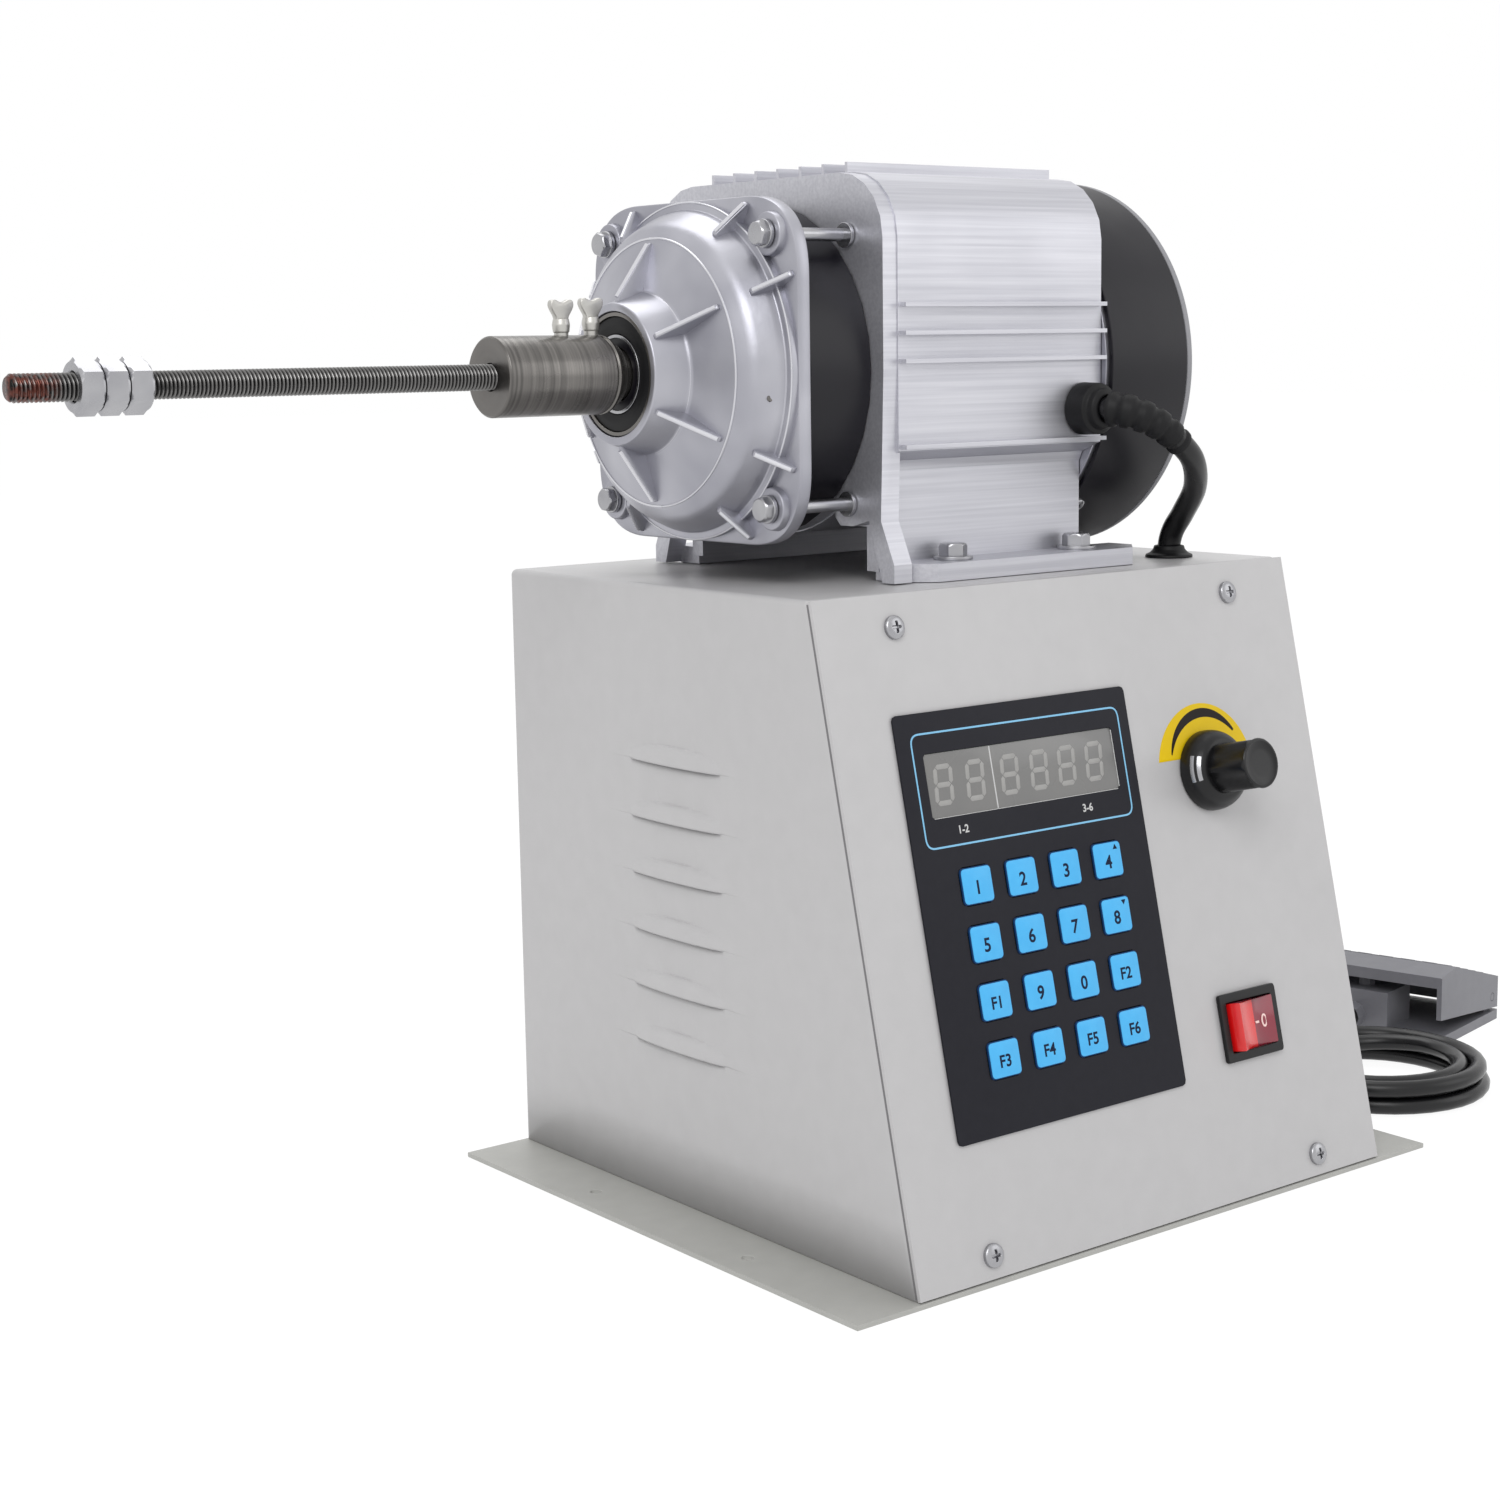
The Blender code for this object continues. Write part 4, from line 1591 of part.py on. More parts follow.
def build_wing_screw(name, station, tip_radius, lift, zinc):
    """Wing screw on top of the chuck: shank, neck and a flat flaring wing."""
    tip = SPINDLE_Z + tip_radius + SEAT_GAP
    seat = SPINDLE_Z + CHUCK_RADIUS + lift
    wing_foot = seat + WING_NECK_HEIGHT
    top = wing_foot + WING_HEIGHT
    profile = [(0, tip), (WING_SHANK_RADIUS, tip), (WING_SHANK_RADIUS, seat), (WING_NECK_RADIUS, seat),
               (WING_NECK_RADIUS, wing_foot + WING_THICKNESS / 2), (0, wing_foot + WING_THICKNESS / 2)]
    local = [(radius, height - SPINDLE_Z) for radius, height in profile]
    at = (station, SPINDLE_Y, SPINDLE_Z)
    screw = turned(name, local, at, (0, 0, 0), None, zinc, TINY_STEPS)
    foot = WING_FOOT_WIDTH / 2
    span = WING_SPAN / 2
    rise = WING_HEIGHT
    right = [(span * across, rise * up) for across, up in WING_SHARES]
    left = [(-x, z) for x, z in reversed(right)]
    outline = [(-foot, 0), (foot, 0)] + right + [(0, rise * WING_DIP_SHARE)] + left
    mesh = outline_mesh(name + "_wing", [outline], WING_THICKNESS)
    bm = bmesh.new()
    bm.from_mesh(mesh)
    bmesh.ops.rotate(bm, verts=bm.verts, cent=(0, 0, 0), matrix=Matrix.Rotation(math.pi / 2, 3, "X"))
    bm.to_mesh(mesh)
    bm.free()
    wing = add_object(name + "_wing", mesh, (station, SPINDLE_Y, top - rise), (0, 0, 0), None, None)
    return join(screw, wing)


def build_nut(name, inner_face, zinc, axis):
    """Hexagon nut with its corners turned off at both ends, on the rod."""
    half = NUT_THICKNESS / 2
    place = (0, 0, inner_face - half)
    bore = ROD_RADIUS + SEAT_GAP
    loops = [hexagon(NUT_ACROSS_FLATS), circle(bore, SMALL_STEPS)]
    nut = plate(name, loops, NUT_THICKNESS, place, axis, zinc)
    corner = NUT_ACROSS_FLATS / math.sqrt(3.0)
    reach = corner + CUT_OVERRUN
    flat = NUT_ACROSS_FLATS / 2
    profile = [(0, -half - CUT_OVERRUN), (flat, -half - CUT_OVERRUN), (flat, -half),
               (corner, -half + NUT_CHAMFER), (reach, -half + NUT_CHAMFER), (reach, half - NUT_CHAMFER),
               (corner, half - NUT_CHAMFER), (flat, half), (flat, half + CUT_OVERRUN),
               (0, half + CUT_OVERRUN)]
    envelope = turned(name + "_envelope", profile, place, (0, 0, 0), axis, None, SMALL_STEPS)
    return boolean(nut, envelope, "INTERSECT")


def lead_coil_points():
    """Loose coil: in along the lower layer, up a layer, and out along the upper one.

    It starts and ends at its far side, heading to +X, and turns clockwise. The spiral
    reverses in the middle of its climb.
    """
    lower = LEAD_RADIUS + COIL_FLOOR_GAP
    diameter = 2 * LEAD_RADIUS
    points = [Vector((COIL_X - diameter, COIL_Y + COIL_RADIUS, lower))]
    for index in range(COIL_TURNS * COIL_POINTS_PER_TURN + 1):
        turn = index / COIL_POINTS_PER_TURN
        past_middle = turn - COIL_TURNS / 2
        climb = min(max(past_middle / COIL_CLIMB_TURNS + 0.5, 0.0), 1.0)
        radius = COIL_RADIUS - COIL_STEP * (COIL_TURNS / 2 - abs(past_middle))
        angle = math.pi / 2 - 2 * math.pi * turn
        points.append(Vector((COIL_X + radius * math.cos(angle), COIL_Y + radius * math.sin(angle),
                              lower + COIL_LAYER_RISE * climb)))
    points.append(Vector((COIL_X + diameter, COIL_Y + COIL_RADIUS, lower + COIL_LAYER_RISE)))
    return points


def report_coil_gap(points):
    """Print the least gap between turns, on points more than a third of a turn apart."""
    apart = COIL_POINTS_PER_TURN // 3
    least = min((points[i] - points[j]).length
                for i in range(len(points)) for j in range(i + apart, len(points)))
    print("least gap of the lead coil to itself, mm:", round((least - 2 * LEAD_RADIUS) * 1000, 2))


def build_pedal_lead(rubber, pedal_frame):
    """The pedal's lead: a run from the case, a loose coil, and a run to the pedal."""
    diameter = 2 * LEAD_RADIUS
    gap = Vector((SEAT_GAP, 0, 0))
    straight = Vector((diameter, 0, 0))
    coil = lead_coil_points()
    report_coil_gap(coil)
    exit_x = CASE_WIDTH / 2 + SEAT_GAP + LEAD_GLAND_THICKNESS + LEAD_GLAND_NOSE_LENGTH
    start = Vector((exit_x, PEDAL_GLAND_Y, PEDAL_GLAND_Z)) + gap
    end = coil[0] - gap
    route = [start, start + straight] + CASE_RUN_ROUTE + [end - straight, end]
    tube("lead_run_case", smooth_points(route, CASE_RUN_POINTS), LEAD_RADIUS, rubber, 2)
    tube("lead_coil", coil, LEAD_RADIUS, rubber, 1)
    start = coil[-1] + gap
    reach = PEDAL_EXIT_LENGTH + SEAT_GAP
    end = pedal_frame.matrix_world @ Vector((-reach, PEDAL_EXIT_ALONG, PEDAL_EXIT_HEIGHT))
    before = pedal_frame.matrix_world @ Vector((-reach - diameter, PEDAL_EXIT_ALONG, PEDAL_EXIT_HEIGHT))
    route = [start, start + straight] + PEDAL_RUN_ROUTE + [before, end]
    tube("lead_run_pedal", smooth_points(route, PEDAL_RUN_POINTS), LEAD_RADIUS, rubber, 2)


def pedal_side_outline():
    """Treadle side view as (X, Z): high at the toe, low at the hinge."""
    low = PEDAL_LOW_HEIGHT
    high = PEDAL_HIGH_HEIGHT
    crown = PEDAL_LENGTH * PEDAL_CROWN_SHARE
    toe_skirt = PEDAL_PLATE_THICKNESS + PEDAL_SKIRT_GAP
    hinge_skirt = PEDAL_PLATE_THICKNESS + PEDAL_HINGE_SKIRT_GAP
    return [(0, toe_skirt), (PEDAL_LENGTH, hinge_skirt), (PEDAL_LENGTH, low), (crown, high),
            (0, high - PEDAL_SHELL)]


def build_pedal(plastic, pedal_frame):
    """Base plate with its hinge pins and switch, and the hinged treadle over it."""
    half_width = PEDAL_WIDTH / 2
    hinge_x = PEDAL_LENGTH - PEDAL_HINGE_INSET
    base = block("pedal_base", (PEDAL_LENGTH, PEDAL_WIDTH, PEDAL_PLATE_THICKNESS),
                 (PEDAL_LENGTH / 2, half_width, PEDAL_PLATE_THICKNESS / 2), pedal_frame, plastic)
    ears = []
    ear_top = PEDAL_HINGE_HEIGHT + PEDAL_PIN_RADIUS + PEDAL_PIN_RADIUS
    ear_inset = PEDAL_SHELL + SEAT_GAP + PEDAL_EAR_THICKNESS / 2
    for middle in (ear_inset, PEDAL_WIDTH - ear_inset):
        ears.append(((PEDAL_EAR_WIDTH, PEDAL_EAR_THICKNESS, ear_top),
                     (hinge_x, middle, ear_top / 2)))
    join(base, blocks("pedal_base_ears", ears, pedal_frame, None))
    switch_height = PEDAL_PLATE_THICKNESS + PEDAL_SWITCH_HEIGHT
    switch_x = PEDAL_SWITCH_LENGTH / 2
    join(base, block("pedal_base_switch", (PEDAL_SWITCH_LENGTH, PEDAL_SWITCH_WIDTH, switch_height),
                     (switch_x, PEDAL_EXIT_ALONG, switch_height / 2), pedal_frame, None))
    plunger_top = switch_height + PEDAL_PLUNGER_HEIGHT
    join(base, cylinders("pedal_base_plunger", PEDAL_PLUNGER_RADIUS, plunger_top,
                         [(switch_x, PEDAL_EXIT_ALONG, plunger_top / 2)], pedal_frame, None,
                         steps=TINY_STEPS))
    relief = PEDAL_EXIT_LENGTH + SHEET_THICKNESS
    join(base, cylinders("pedal_base_relief", PEDAL_EXIT_RADIUS, relief,
                         [(-PEDAL_EXIT_LENGTH + relief / 2, PEDAL_EXIT_ALONG, PEDAL_EXIT_HEIGHT)],
                         pedal_frame, None, turn=Matrix.Rotation(math.pi / 2, 4, "Y"),
                         steps=TINY_STEPS))
    pin_middle = [(hinge_x, half_width, PEDAL_HINGE_HEIGHT)]
    along = Matrix.Rotation(math.pi / 2, 4, "X")
    reach = PEDAL_SHELL + SEAT_GAP + PEDAL_EAR_THICKNESS / 2
    stubs = []
    for middle in (reach / 2, PEDAL_WIDTH - reach / 2):
        stubs.append((hinge_x, middle, PEDAL_HINGE_HEIGHT))
    join(base, cylinders("pedal_base_pins", PEDAL_PIN_RADIUS, reach, stubs, pedal_frame, None,
                         turn=along, steps=TINY_STEPS))
    solid = outline_mesh("pedal_treadle", [pedal_side_outline()], PEDAL_WIDTH)
    bm = bmesh.new()
    bm.from_mesh(solid)
    move = Matrix.Translation((-hinge_x, 0, -PEDAL_HINGE_HEIGHT)) @ Matrix.Rotation(math.pi / 2, 4, "X")
    bmesh.ops.transform(bm, matrix=move, verts=bm.verts)
    bm.to_mesh(solid)
    bm.free()
    treadle = add_object("pedal_treadle", solid, (hinge_x, half_width, PEDAL_HINGE_HEIGHT),
                         (0, 0, 0), pedal_frame, plastic)
    inside_low = PEDAL_LOW_HEIGHT - PEDAL_SHELL
    inside_high = PEDAL_HIGH_HEIGHT - PEDAL_SHELL
    crown = PEDAL_LENGTH * PEDAL_CROWN_SHARE
    front = -CUT_OVERRUN
    end = PEDAL_LENGTH - PEDAL_SHELL
    back_lip = PEDAL_HIGH_HEIGHT - PEDAL_BACK_LIP
    hollow = [(front, -CUT_OVERRUN), (end, -CUT_OVERRUN), (end, inside_low), (crown, inside_high),
              (PEDAL_SHELL, inside_high - PEDAL_SHELL), (PEDAL_SHELL, back_lip), (front, back_lip)]
    inner = outline_mesh("pedal_treadle_hollow", [hollow], PEDAL_WIDTH - 2 * PEDAL_SHELL)
    bm = bmesh.new()
    bm.from_mesh(inner)
    bmesh.ops.transform(bm, matrix=Matrix.Translation((0, half_width, 0)) @ along, verts=bm.verts)
    bm.to_mesh(inner)
    bm.free()
    cut(treadle, add_object("pedal_treadle_hollow", inner, (0, 0, 0), (0, 0, 0), pedal_frame, None))
    cut(treadle, cylinders("pedal_treadle_pin_hole", PEDAL_PIN_RADIUS + SEAT_GAP,
                           PEDAL_WIDTH + 2 * CUT_OVERRUN, pin_middle, pedal_frame, None, turn=along,
                           steps=TINY_STEPS))


def main():
    reset_scene()
    paint = make_material("case_paint", (0.55, 0.55, 0.53), 0.45, 0.0)
    base_paint = make_material("base_paint", (0.45, 0.45, 0.43), 0.5, 0.0)
    film = make_material("keypad_film", (0.02, 0.02, 0.03), 0.35, 0.0)
    blue = make_material("key_blue", (0.07, 0.48, 0.86), 0.4, 0.0)
    board_green = make_material("circuit_board", (0.05, 0.20, 0.10), 0.6, 0.0)
    black = make_material("black_plastic", (0.02, 0.02, 0.02), 0.4, 0.0)
    black_enamel = make_material("black_enamel", (0.02, 0.02, 0.025), 0.35, 0.2)
    red = make_material("switch_red", (0.75, 0.02, 0.02), 0.25, 0.0)
    aluminium = make_material("cast_aluminium", (0.62, 0.62, 0.65), 0.4, 0.9)
    grey = make_material("grey_cap", (0.30, 0.30, 0.33), 0.5, 0.2)
    steel = make_material("dark_steel", (0.20, 0.19, 0.18), 0.35, 0.9)
    zinc = make_material("zinc_plate", (0.65, 0.66, 0.68), 0.3, 1.0)
    copper = make_material("winding_copper", (0.55, 0.25, 0.12), 0.45, 0.8)
    rubber = make_material("black_rubber", (0.02, 0.02, 0.02), 0.6, 0.0)
    pedal_grey = make_material("pedal_plastic", (0.20, 0.20, 0.21), 0.5, 0.0)
    panel_frame = add_empty("panel_frame", (0, TOP_FRONT_Y, CASE_HEIGHT), (PANEL_TILT, 0, 0))
    axis = add_empty("spindle_axis", (0, SPINDLE_Y, SPINDLE_Z), (0, math.pi / 2, 0))
    pedal_frame = add_empty("pedal_frame", (PEDAL_X, PEDAL_Y, 0), (0, 0, PEDAL_TURN))
    build_base_plate(base_paint)
    build_case_shell(paint, panel_frame)
    build_front_panel(paint, panel_frame)
    build_overlay(film, panel_frame)
    build_keys(blue, panel_frame)
    build_control_board(board_green, panel_frame)
    build_speed_control(black, steel, panel_frame)
    build_switch(black, red, panel_frame)
    build_motor_housing(aluminium, axis)
    build_foot_bolts(zinc)
    build_stator(copper, axis)
    build_rotor(steel, axis)
    build_planets(steel, axis)
    build_ring_gear(black_enamel, axis)
    build_carrier(steel, axis)
    build_bearing(rubber, axis)
    build_cover(aluminium, axis)
    build_through_bolts(zinc, axis)
    build_rear_shield(aluminium, axis)
    build_cowl(black_enamel, axis)
    build_grille(grey, axis)
    build_fan(black, axis)
    build_motor_gland(rubber)
    build_motor_lead(rubber)
    build_grommet(rubber)
    build_pedal_gland(black)
    build_chuck(steel, axis)
    build_rod(steel, axis)
    build_wing_screw("wing_screw_front", WING_FRONT_X, ROD_RADIUS, WING_FRONT_LIFT, zinc)
    build_wing_screw("wing_screw_rear", WING_REAR_X, OUTPUT_TIP_RADIUS, WING_REAR_LIFT, zinc)
    pitch = NUT_THICKNESS + SEAT_GAP
    for index, name in enumerate(("nut_inner", "nut_middle", "nut_outer")):
        build_nut(name, NUT_INNER_X - pitch * index, zinc, axis)
    build_pedal(pedal_grey, pedal_frame)
    build_pedal_lead(rubber, pedal_frame)


main()
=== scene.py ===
import math

import bmesh
import bpy
import numpy as np
from mathutils import Matrix, Vector

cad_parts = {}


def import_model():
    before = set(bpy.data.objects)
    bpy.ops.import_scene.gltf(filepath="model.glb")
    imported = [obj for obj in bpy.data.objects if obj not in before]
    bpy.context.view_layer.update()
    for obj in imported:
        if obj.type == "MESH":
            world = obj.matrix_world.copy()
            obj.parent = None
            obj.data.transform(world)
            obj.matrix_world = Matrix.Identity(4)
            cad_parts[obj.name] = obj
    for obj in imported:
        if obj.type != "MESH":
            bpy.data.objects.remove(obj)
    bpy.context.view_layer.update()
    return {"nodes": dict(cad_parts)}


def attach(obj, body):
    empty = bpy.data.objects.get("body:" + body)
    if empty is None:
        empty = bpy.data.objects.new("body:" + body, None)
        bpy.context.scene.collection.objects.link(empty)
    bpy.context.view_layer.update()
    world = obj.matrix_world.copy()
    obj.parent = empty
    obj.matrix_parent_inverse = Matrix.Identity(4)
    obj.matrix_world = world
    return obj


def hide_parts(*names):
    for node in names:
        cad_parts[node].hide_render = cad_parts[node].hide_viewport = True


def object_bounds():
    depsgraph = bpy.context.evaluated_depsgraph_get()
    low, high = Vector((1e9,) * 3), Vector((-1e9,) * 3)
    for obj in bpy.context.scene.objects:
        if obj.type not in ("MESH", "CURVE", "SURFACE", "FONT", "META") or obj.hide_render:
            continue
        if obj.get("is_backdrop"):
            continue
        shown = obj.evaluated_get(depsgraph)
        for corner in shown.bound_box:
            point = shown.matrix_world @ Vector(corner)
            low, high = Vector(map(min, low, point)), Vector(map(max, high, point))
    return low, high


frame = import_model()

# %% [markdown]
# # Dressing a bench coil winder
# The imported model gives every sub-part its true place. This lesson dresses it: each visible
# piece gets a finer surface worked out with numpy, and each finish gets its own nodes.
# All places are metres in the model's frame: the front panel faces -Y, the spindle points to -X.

# %% [markdown]
# ## Frames
# Most pieces are simplest in a frame of their own: the spindle axis, the tilted front panel, or
# the turned pedal. A frame is an origin and three directions, and `world` turns arrays of local
# places into places in the model.

# %% Frames of the spindle, the panel and the pedal
X_WAY, Y_WAY, Z_WAY = (1, 0, 0), (0, 1, 0), (0, 0, 1)


def world(frame_of, places):
    """Local places (..., 3) to the model: origin + a * first + b * second + c * third."""
    origin, first, second, third = (np.asarray(part, float) for part in frame_of)
    places = np.asarray(places, float)
    return (origin + places[..., 0:1] * first + places[..., 1:2] * second
            + places[..., 2:3] * third)


def shifted(frame_of, place):
    """The same directions about another local place."""
    return (world(frame_of, np.asarray(place, float)), *frame_of[1:])


def upright(place):
    """The model's own directions about a place."""
    return (place, X_WAY, Y_WAY, Z_WAY)


CASE_HEIGHT, TOP_FRONT_Y = 0.250, -0.0705
PANEL_SIN, PANEL_COS = 0.226023, 0.974122
SPINDLE = np.array([0.0, 0.029, 0.331])
PANEL_DOWN = np.array([0.0, -PANEL_SIN, -PANEL_COS])
PANEL_OUT = np.array([0.0, -PANEL_COS, PANEL_SIN])
PEDAL_TURN = math.radians(13.0)
# Spindle frame: across (Y), up (Z), along (X)
AXIS = (SPINDLE, Y_WAY, Z_WAY, X_WAY)
# Panel frame: across to the right, down the slope, out of the face
PANEL = ((0, TOP_FRONT_Y, CASE_HEIGHT), X_WAY, PANEL_DOWN, PANEL_OUT)
# Pedal frame: along the pedal, across it, up
PEDAL = ((0.290, -0.038, 0), (math.cos(PEDAL_TURN), math.sin(PEDAL_TURN), 0),
         (-math.sin(PEDAL_TURN), math.cos(PEDAL_TURN), 0), Z_WAY)
print("panel tilt from upright, degrees:", round(math.degrees(math.asin(PANEL_SIN)), 2))

# %% [markdown]
# ## Camera
# The photograph is taken with a long lens from the front left, slightly above the keys. The
# place and the lens come from the straight edges of the case, so the render lines up with it.

# %% Camera
CAMERA_PLACE = (-0.70679, -0.77519, 0.34079)
AZIMUTH, ELEVATION, ROLL = math.radians(-37.984), math.radians(9.007), math.radians(-0.900)
SENSOR_WIDTH, FOCAL_PIXELS, PICTURE_PIXELS = 36.0, 2546.57, 1500

back = np.array([math.sin(AZIMUTH) * math.cos(ELEVATION), -math.cos(AZIMUTH) * math.cos(ELEVATION),
                 math.sin(ELEVATION)])
level = np.cross(-back, Z_WAY)
level /= np.linalg.norm(level)
above = np.cross(level, -back)
right = math.cos(ROLL) * level + math.sin(ROLL) * above
upward = -math.sin(ROLL) * level + math.cos(ROLL) * above
camera_data = bpy.data.cameras.new("camera")
camera_data.sensor_fit = "HORIZONTAL"
camera_data.sensor_width = SENSOR_WIDTH
camera_data.lens = FOCAL_PIXELS / PICTURE_PIXELS * SENSOR_WIDTH
camera_data.clip_end = 30.0
camera = bpy.data.objects.new("camera", camera_data)
scene = bpy.context.scene
scene.collection.objects.link(camera)
camera.matrix_world = Matrix([[right[i], upward[i], back[i], CAMERA_PLACE[i]] for i in range(3)]
                             + [[0, 0, 0, 1]])
scene.camera = camera
print("lens", round(camera_data.lens, 2), "mm")

# %% [markdown]
# ## Node groups
# A finish is a colour, a roughness and a small relief that vary over the surface. They come from
# noise textures, so first a few helpers that place one node each and return its output.

# %% Helpers for node groups
def new_group(name, inputs, outputs):
    """Empty shader group with float inputs {name: default} besides Vector, and float outputs."""
    group = bpy.data.node_groups.new(name, "ShaderNodeTree")
    group.interface.new_socket("Vector", in_out="INPUT", socket_type="NodeSocketVector")
    for label, value in inputs.items():
        socket = group.interface.new_socket(label, in_out="INPUT", socket_type="NodeSocketFloat")
        socket.default_value = value
    for label in outputs:
        group.interface.new_socket(label, in_out="OUTPUT", socket_type="NodeSocketFloat")
    start, end = group.nodes.new("NodeGroupInput"), group.nodes.new("NodeGroupOutput")
    return group, start.outputs, end.inputs


def feed(tree, socket, value):
    """Gives a socket a number, or links it to another socket."""
    if isinstance(value, (int, float)):
        socket.default_value = value
    else:
        tree.links.new(value, socket)


def math_node(tree, operation, first, second):
    """Math node; arguments are sockets or numbers. Returns its output."""
    node = tree.nodes.new("ShaderNodeMath")
    node.operation = operation
    feed(tree, node.inputs[0], first)
    feed(tree, node.inputs[1], second)
    return node.outputs[0]


def ramp(tree, value, low, high, start=0.0, end=1.0):
    """Map Range node: value from low..high to start..end, clamped. Returns its output."""
    node = tree.nodes.new("ShaderNodeMapRange")
    for label, number in (("From Min", low), ("From Max", high), ("To Min", start), ("To Max", end)):
        node.inputs[label].default_value = number
    tree.links.new(value, node.inputs["Value"])
    return node.outputs["Result"]


def noise(tree, vector, scale, detail=2.0, stretch=None):
    """Noise texture on a vector, stretched by a Mapping node if asked. Returns its Fac."""
    if stretch is not None:
        mapping = tree.nodes.new("ShaderNodeMapping")
        mapping.inputs["Scale"].default_value = stretch
        tree.links.new(vector, mapping.inputs["Vector"])
        vector = mapping.outputs["Vector"]
    node = tree.nodes.new("ShaderNodeTexNoise")
    node.inputs["Detail"].default_value = detail
    feed(tree, node.inputs["Scale"], scale)
    tree.links.new(vector, node.inputs["Vector"])
    return node.outputs["Fac"]


def colour_mix(tree, factor, first, second):
    """Colour Mix node from a factor socket, a colour or socket, and a colour. Returns its output."""
    node = tree.nodes.new("ShaderNodeMix")
    node.data_type = "RGBA"
    tree.links.new(factor, node.inputs["Factor"])
    if isinstance(first, tuple):
        node.inputs["A"].default_value = srgb(*first)
    else:
        tree.links.new(first, node.inputs["A"])
    node.inputs["B"].default_value = srgb(*second)
    return node.outputs["Result"]


def srgb(*picture_value):
    """Colour of a picture value 0..255 in the linear scale that nodes use, with an alpha of 1."""
    value = np.array(picture_value) / 255.0
    linear = np.where(value <= 0.04045, value / 12.92, ((value + 0.055) / 1.055) ** 2.4)
    return (*(float(v) for v in linear), 1.0)


print("node helpers ready")

# %% [markdown]
# Three kinds of group give those variations to all materials: grains for paint, castings and
# moulded plastic, fine parallel lines for turned or extruded metal, and soft clouds for handling
# marks. They read Object coordinates, which for these pieces are metres in the model.

# %% The shared groups
def grain_group():
    """Grains: fine noise for relief, the same noise ten times coarser for tone."""
    group, start, end = new_group("surface_grain", {"Scale": 900.0, "Contrast": 1.0}, ("Tone", "Height"))
    fine = noise(group, start["Vector"], start["Scale"], 3.0)
    coarse = noise(group, start["Vector"], math_node(group, "MULTIPLY", start["Scale"], 0.1), 2.0)
    spread = math_node(group, "MULTIPLY", math_node(group, "SUBTRACT", coarse, 0.5), start["Contrast"])
    group.links.new(math_node(group, "ADD", spread, 0.5), end["Tone"])
    group.links.new(fine, end["Height"])
    return group


def line_group(name, stretch):
    """Fine lines: noise squeezed along one direction, so it draws streaks across it."""
    group, start, end = new_group(name, {"Scale": 60.0}, ("Tone", "Height"))
    wide = noise(group, start["Vector"], start["Scale"], 4.0, stretch)
    fine = noise(group, start["Vector"], math_node(group, "MULTIPLY", start["Scale"], 5.0), 2.0, stretch)
    group.links.new(ramp(group, wide, 0.3, 0.7), end["Tone"])
    group.links.new(fine, end["Height"])
    return group


def smudge_group():
    """Soft clouds for finger marks and dust: noise of five octaves pulled into patches."""
    group, start, end = new_group("handling_marks", {"Scale": 14.0}, ("Mask",))
    cloud = noise(group, start["Vector"], start["Scale"], 5.0)
    group.links.new(ramp(group, cloud, 0.42, 0.68), end["Mask"])
    return group


surface_grain = grain_group()
turned_lines = line_group("turned_lines", (40.0, 0.6, 0.6))
drawn_lines = line_group("drawn_lines", (0.4, 30.0, 30.0))
handling_marks = smudge_group()
print("groups:", [g.name for g in bpy.data.node_groups])

# %% [markdown]
# ## Finishes
# One function builds a finish from those groups: two tones of a colour mixed by a group's Tone,
# a roughness that the handling marks shift, and the group's Height through a Bump node. The
# numbers are what make a powder coat differ from a casting.

# %% The finish function
looks, COAT_ROUGHNESS = {}, 0.12


def place_group(tree, group, coordinates):
    """Group node in a material, reading the coordinates."""
    node = tree.nodes.new("ShaderNodeGroup")
    node.node_tree = group
    tree.links.new(coordinates, node.inputs["Vector"])
    return node


def finish(name, colour, second, roughness, metallic=0.0, group=None, scale=900.0, relief=0.1,
           depth=0.0001, marks=0.06, coat=0.0, contrast=1.0, specular=0.5):
    """Material whose colour lies between two tones and whose roughness wanders by `marks`."""
    material = bpy.data.materials.new(name)
    material.use_nodes = True
    tree = material.node_tree
    shader = tree.nodes["Principled BSDF"].inputs
    for label, value in (("Metallic", metallic), ("Coat Weight", coat), ("Coat Roughness", COAT_ROUGHNESS),
                         ("Specular IOR Level", specular)):
        shader[label].default_value = value
    coordinates = tree.nodes.new("ShaderNodeTexCoord").outputs["Object"]
    pattern = place_group(tree, group or surface_grain, coordinates)
    pattern.inputs["Scale"].default_value = scale
    if "Contrast" in pattern.inputs:
        pattern.inputs["Contrast"].default_value = contrast
    marking = place_group(tree, handling_marks, coordinates)
    tree.links.new(colour_mix(tree, pattern.outputs["Tone"], colour, second), shader["Base Color"])
    rough = ramp(tree, marking.outputs["Mask"], 0.0, 1.0, roughness - marks, roughness + marks)
    tree.links.new(rough, shader["Roughness"])
    bump = tree.nodes.new("ShaderNodeBump")
    bump.inputs["Strength"].default_value = relief
    bump.inputs["Distance"].default_value = depth
    tree.links.new(pattern.outputs["Height"], bump.inputs["Height"])
    tree.links.new(bump.outputs["Normal"], shader["Normal"])
    looks[name] = material
    return tree


print("a finish takes two colours, a roughness and the group that varies them")

# %% [markdown]
# Colours are written as they look in a picture, 0 to 255, the second one being the tone that
# the pattern mixes in. Prints and films are smooth, so their grain is fine and their relief low.

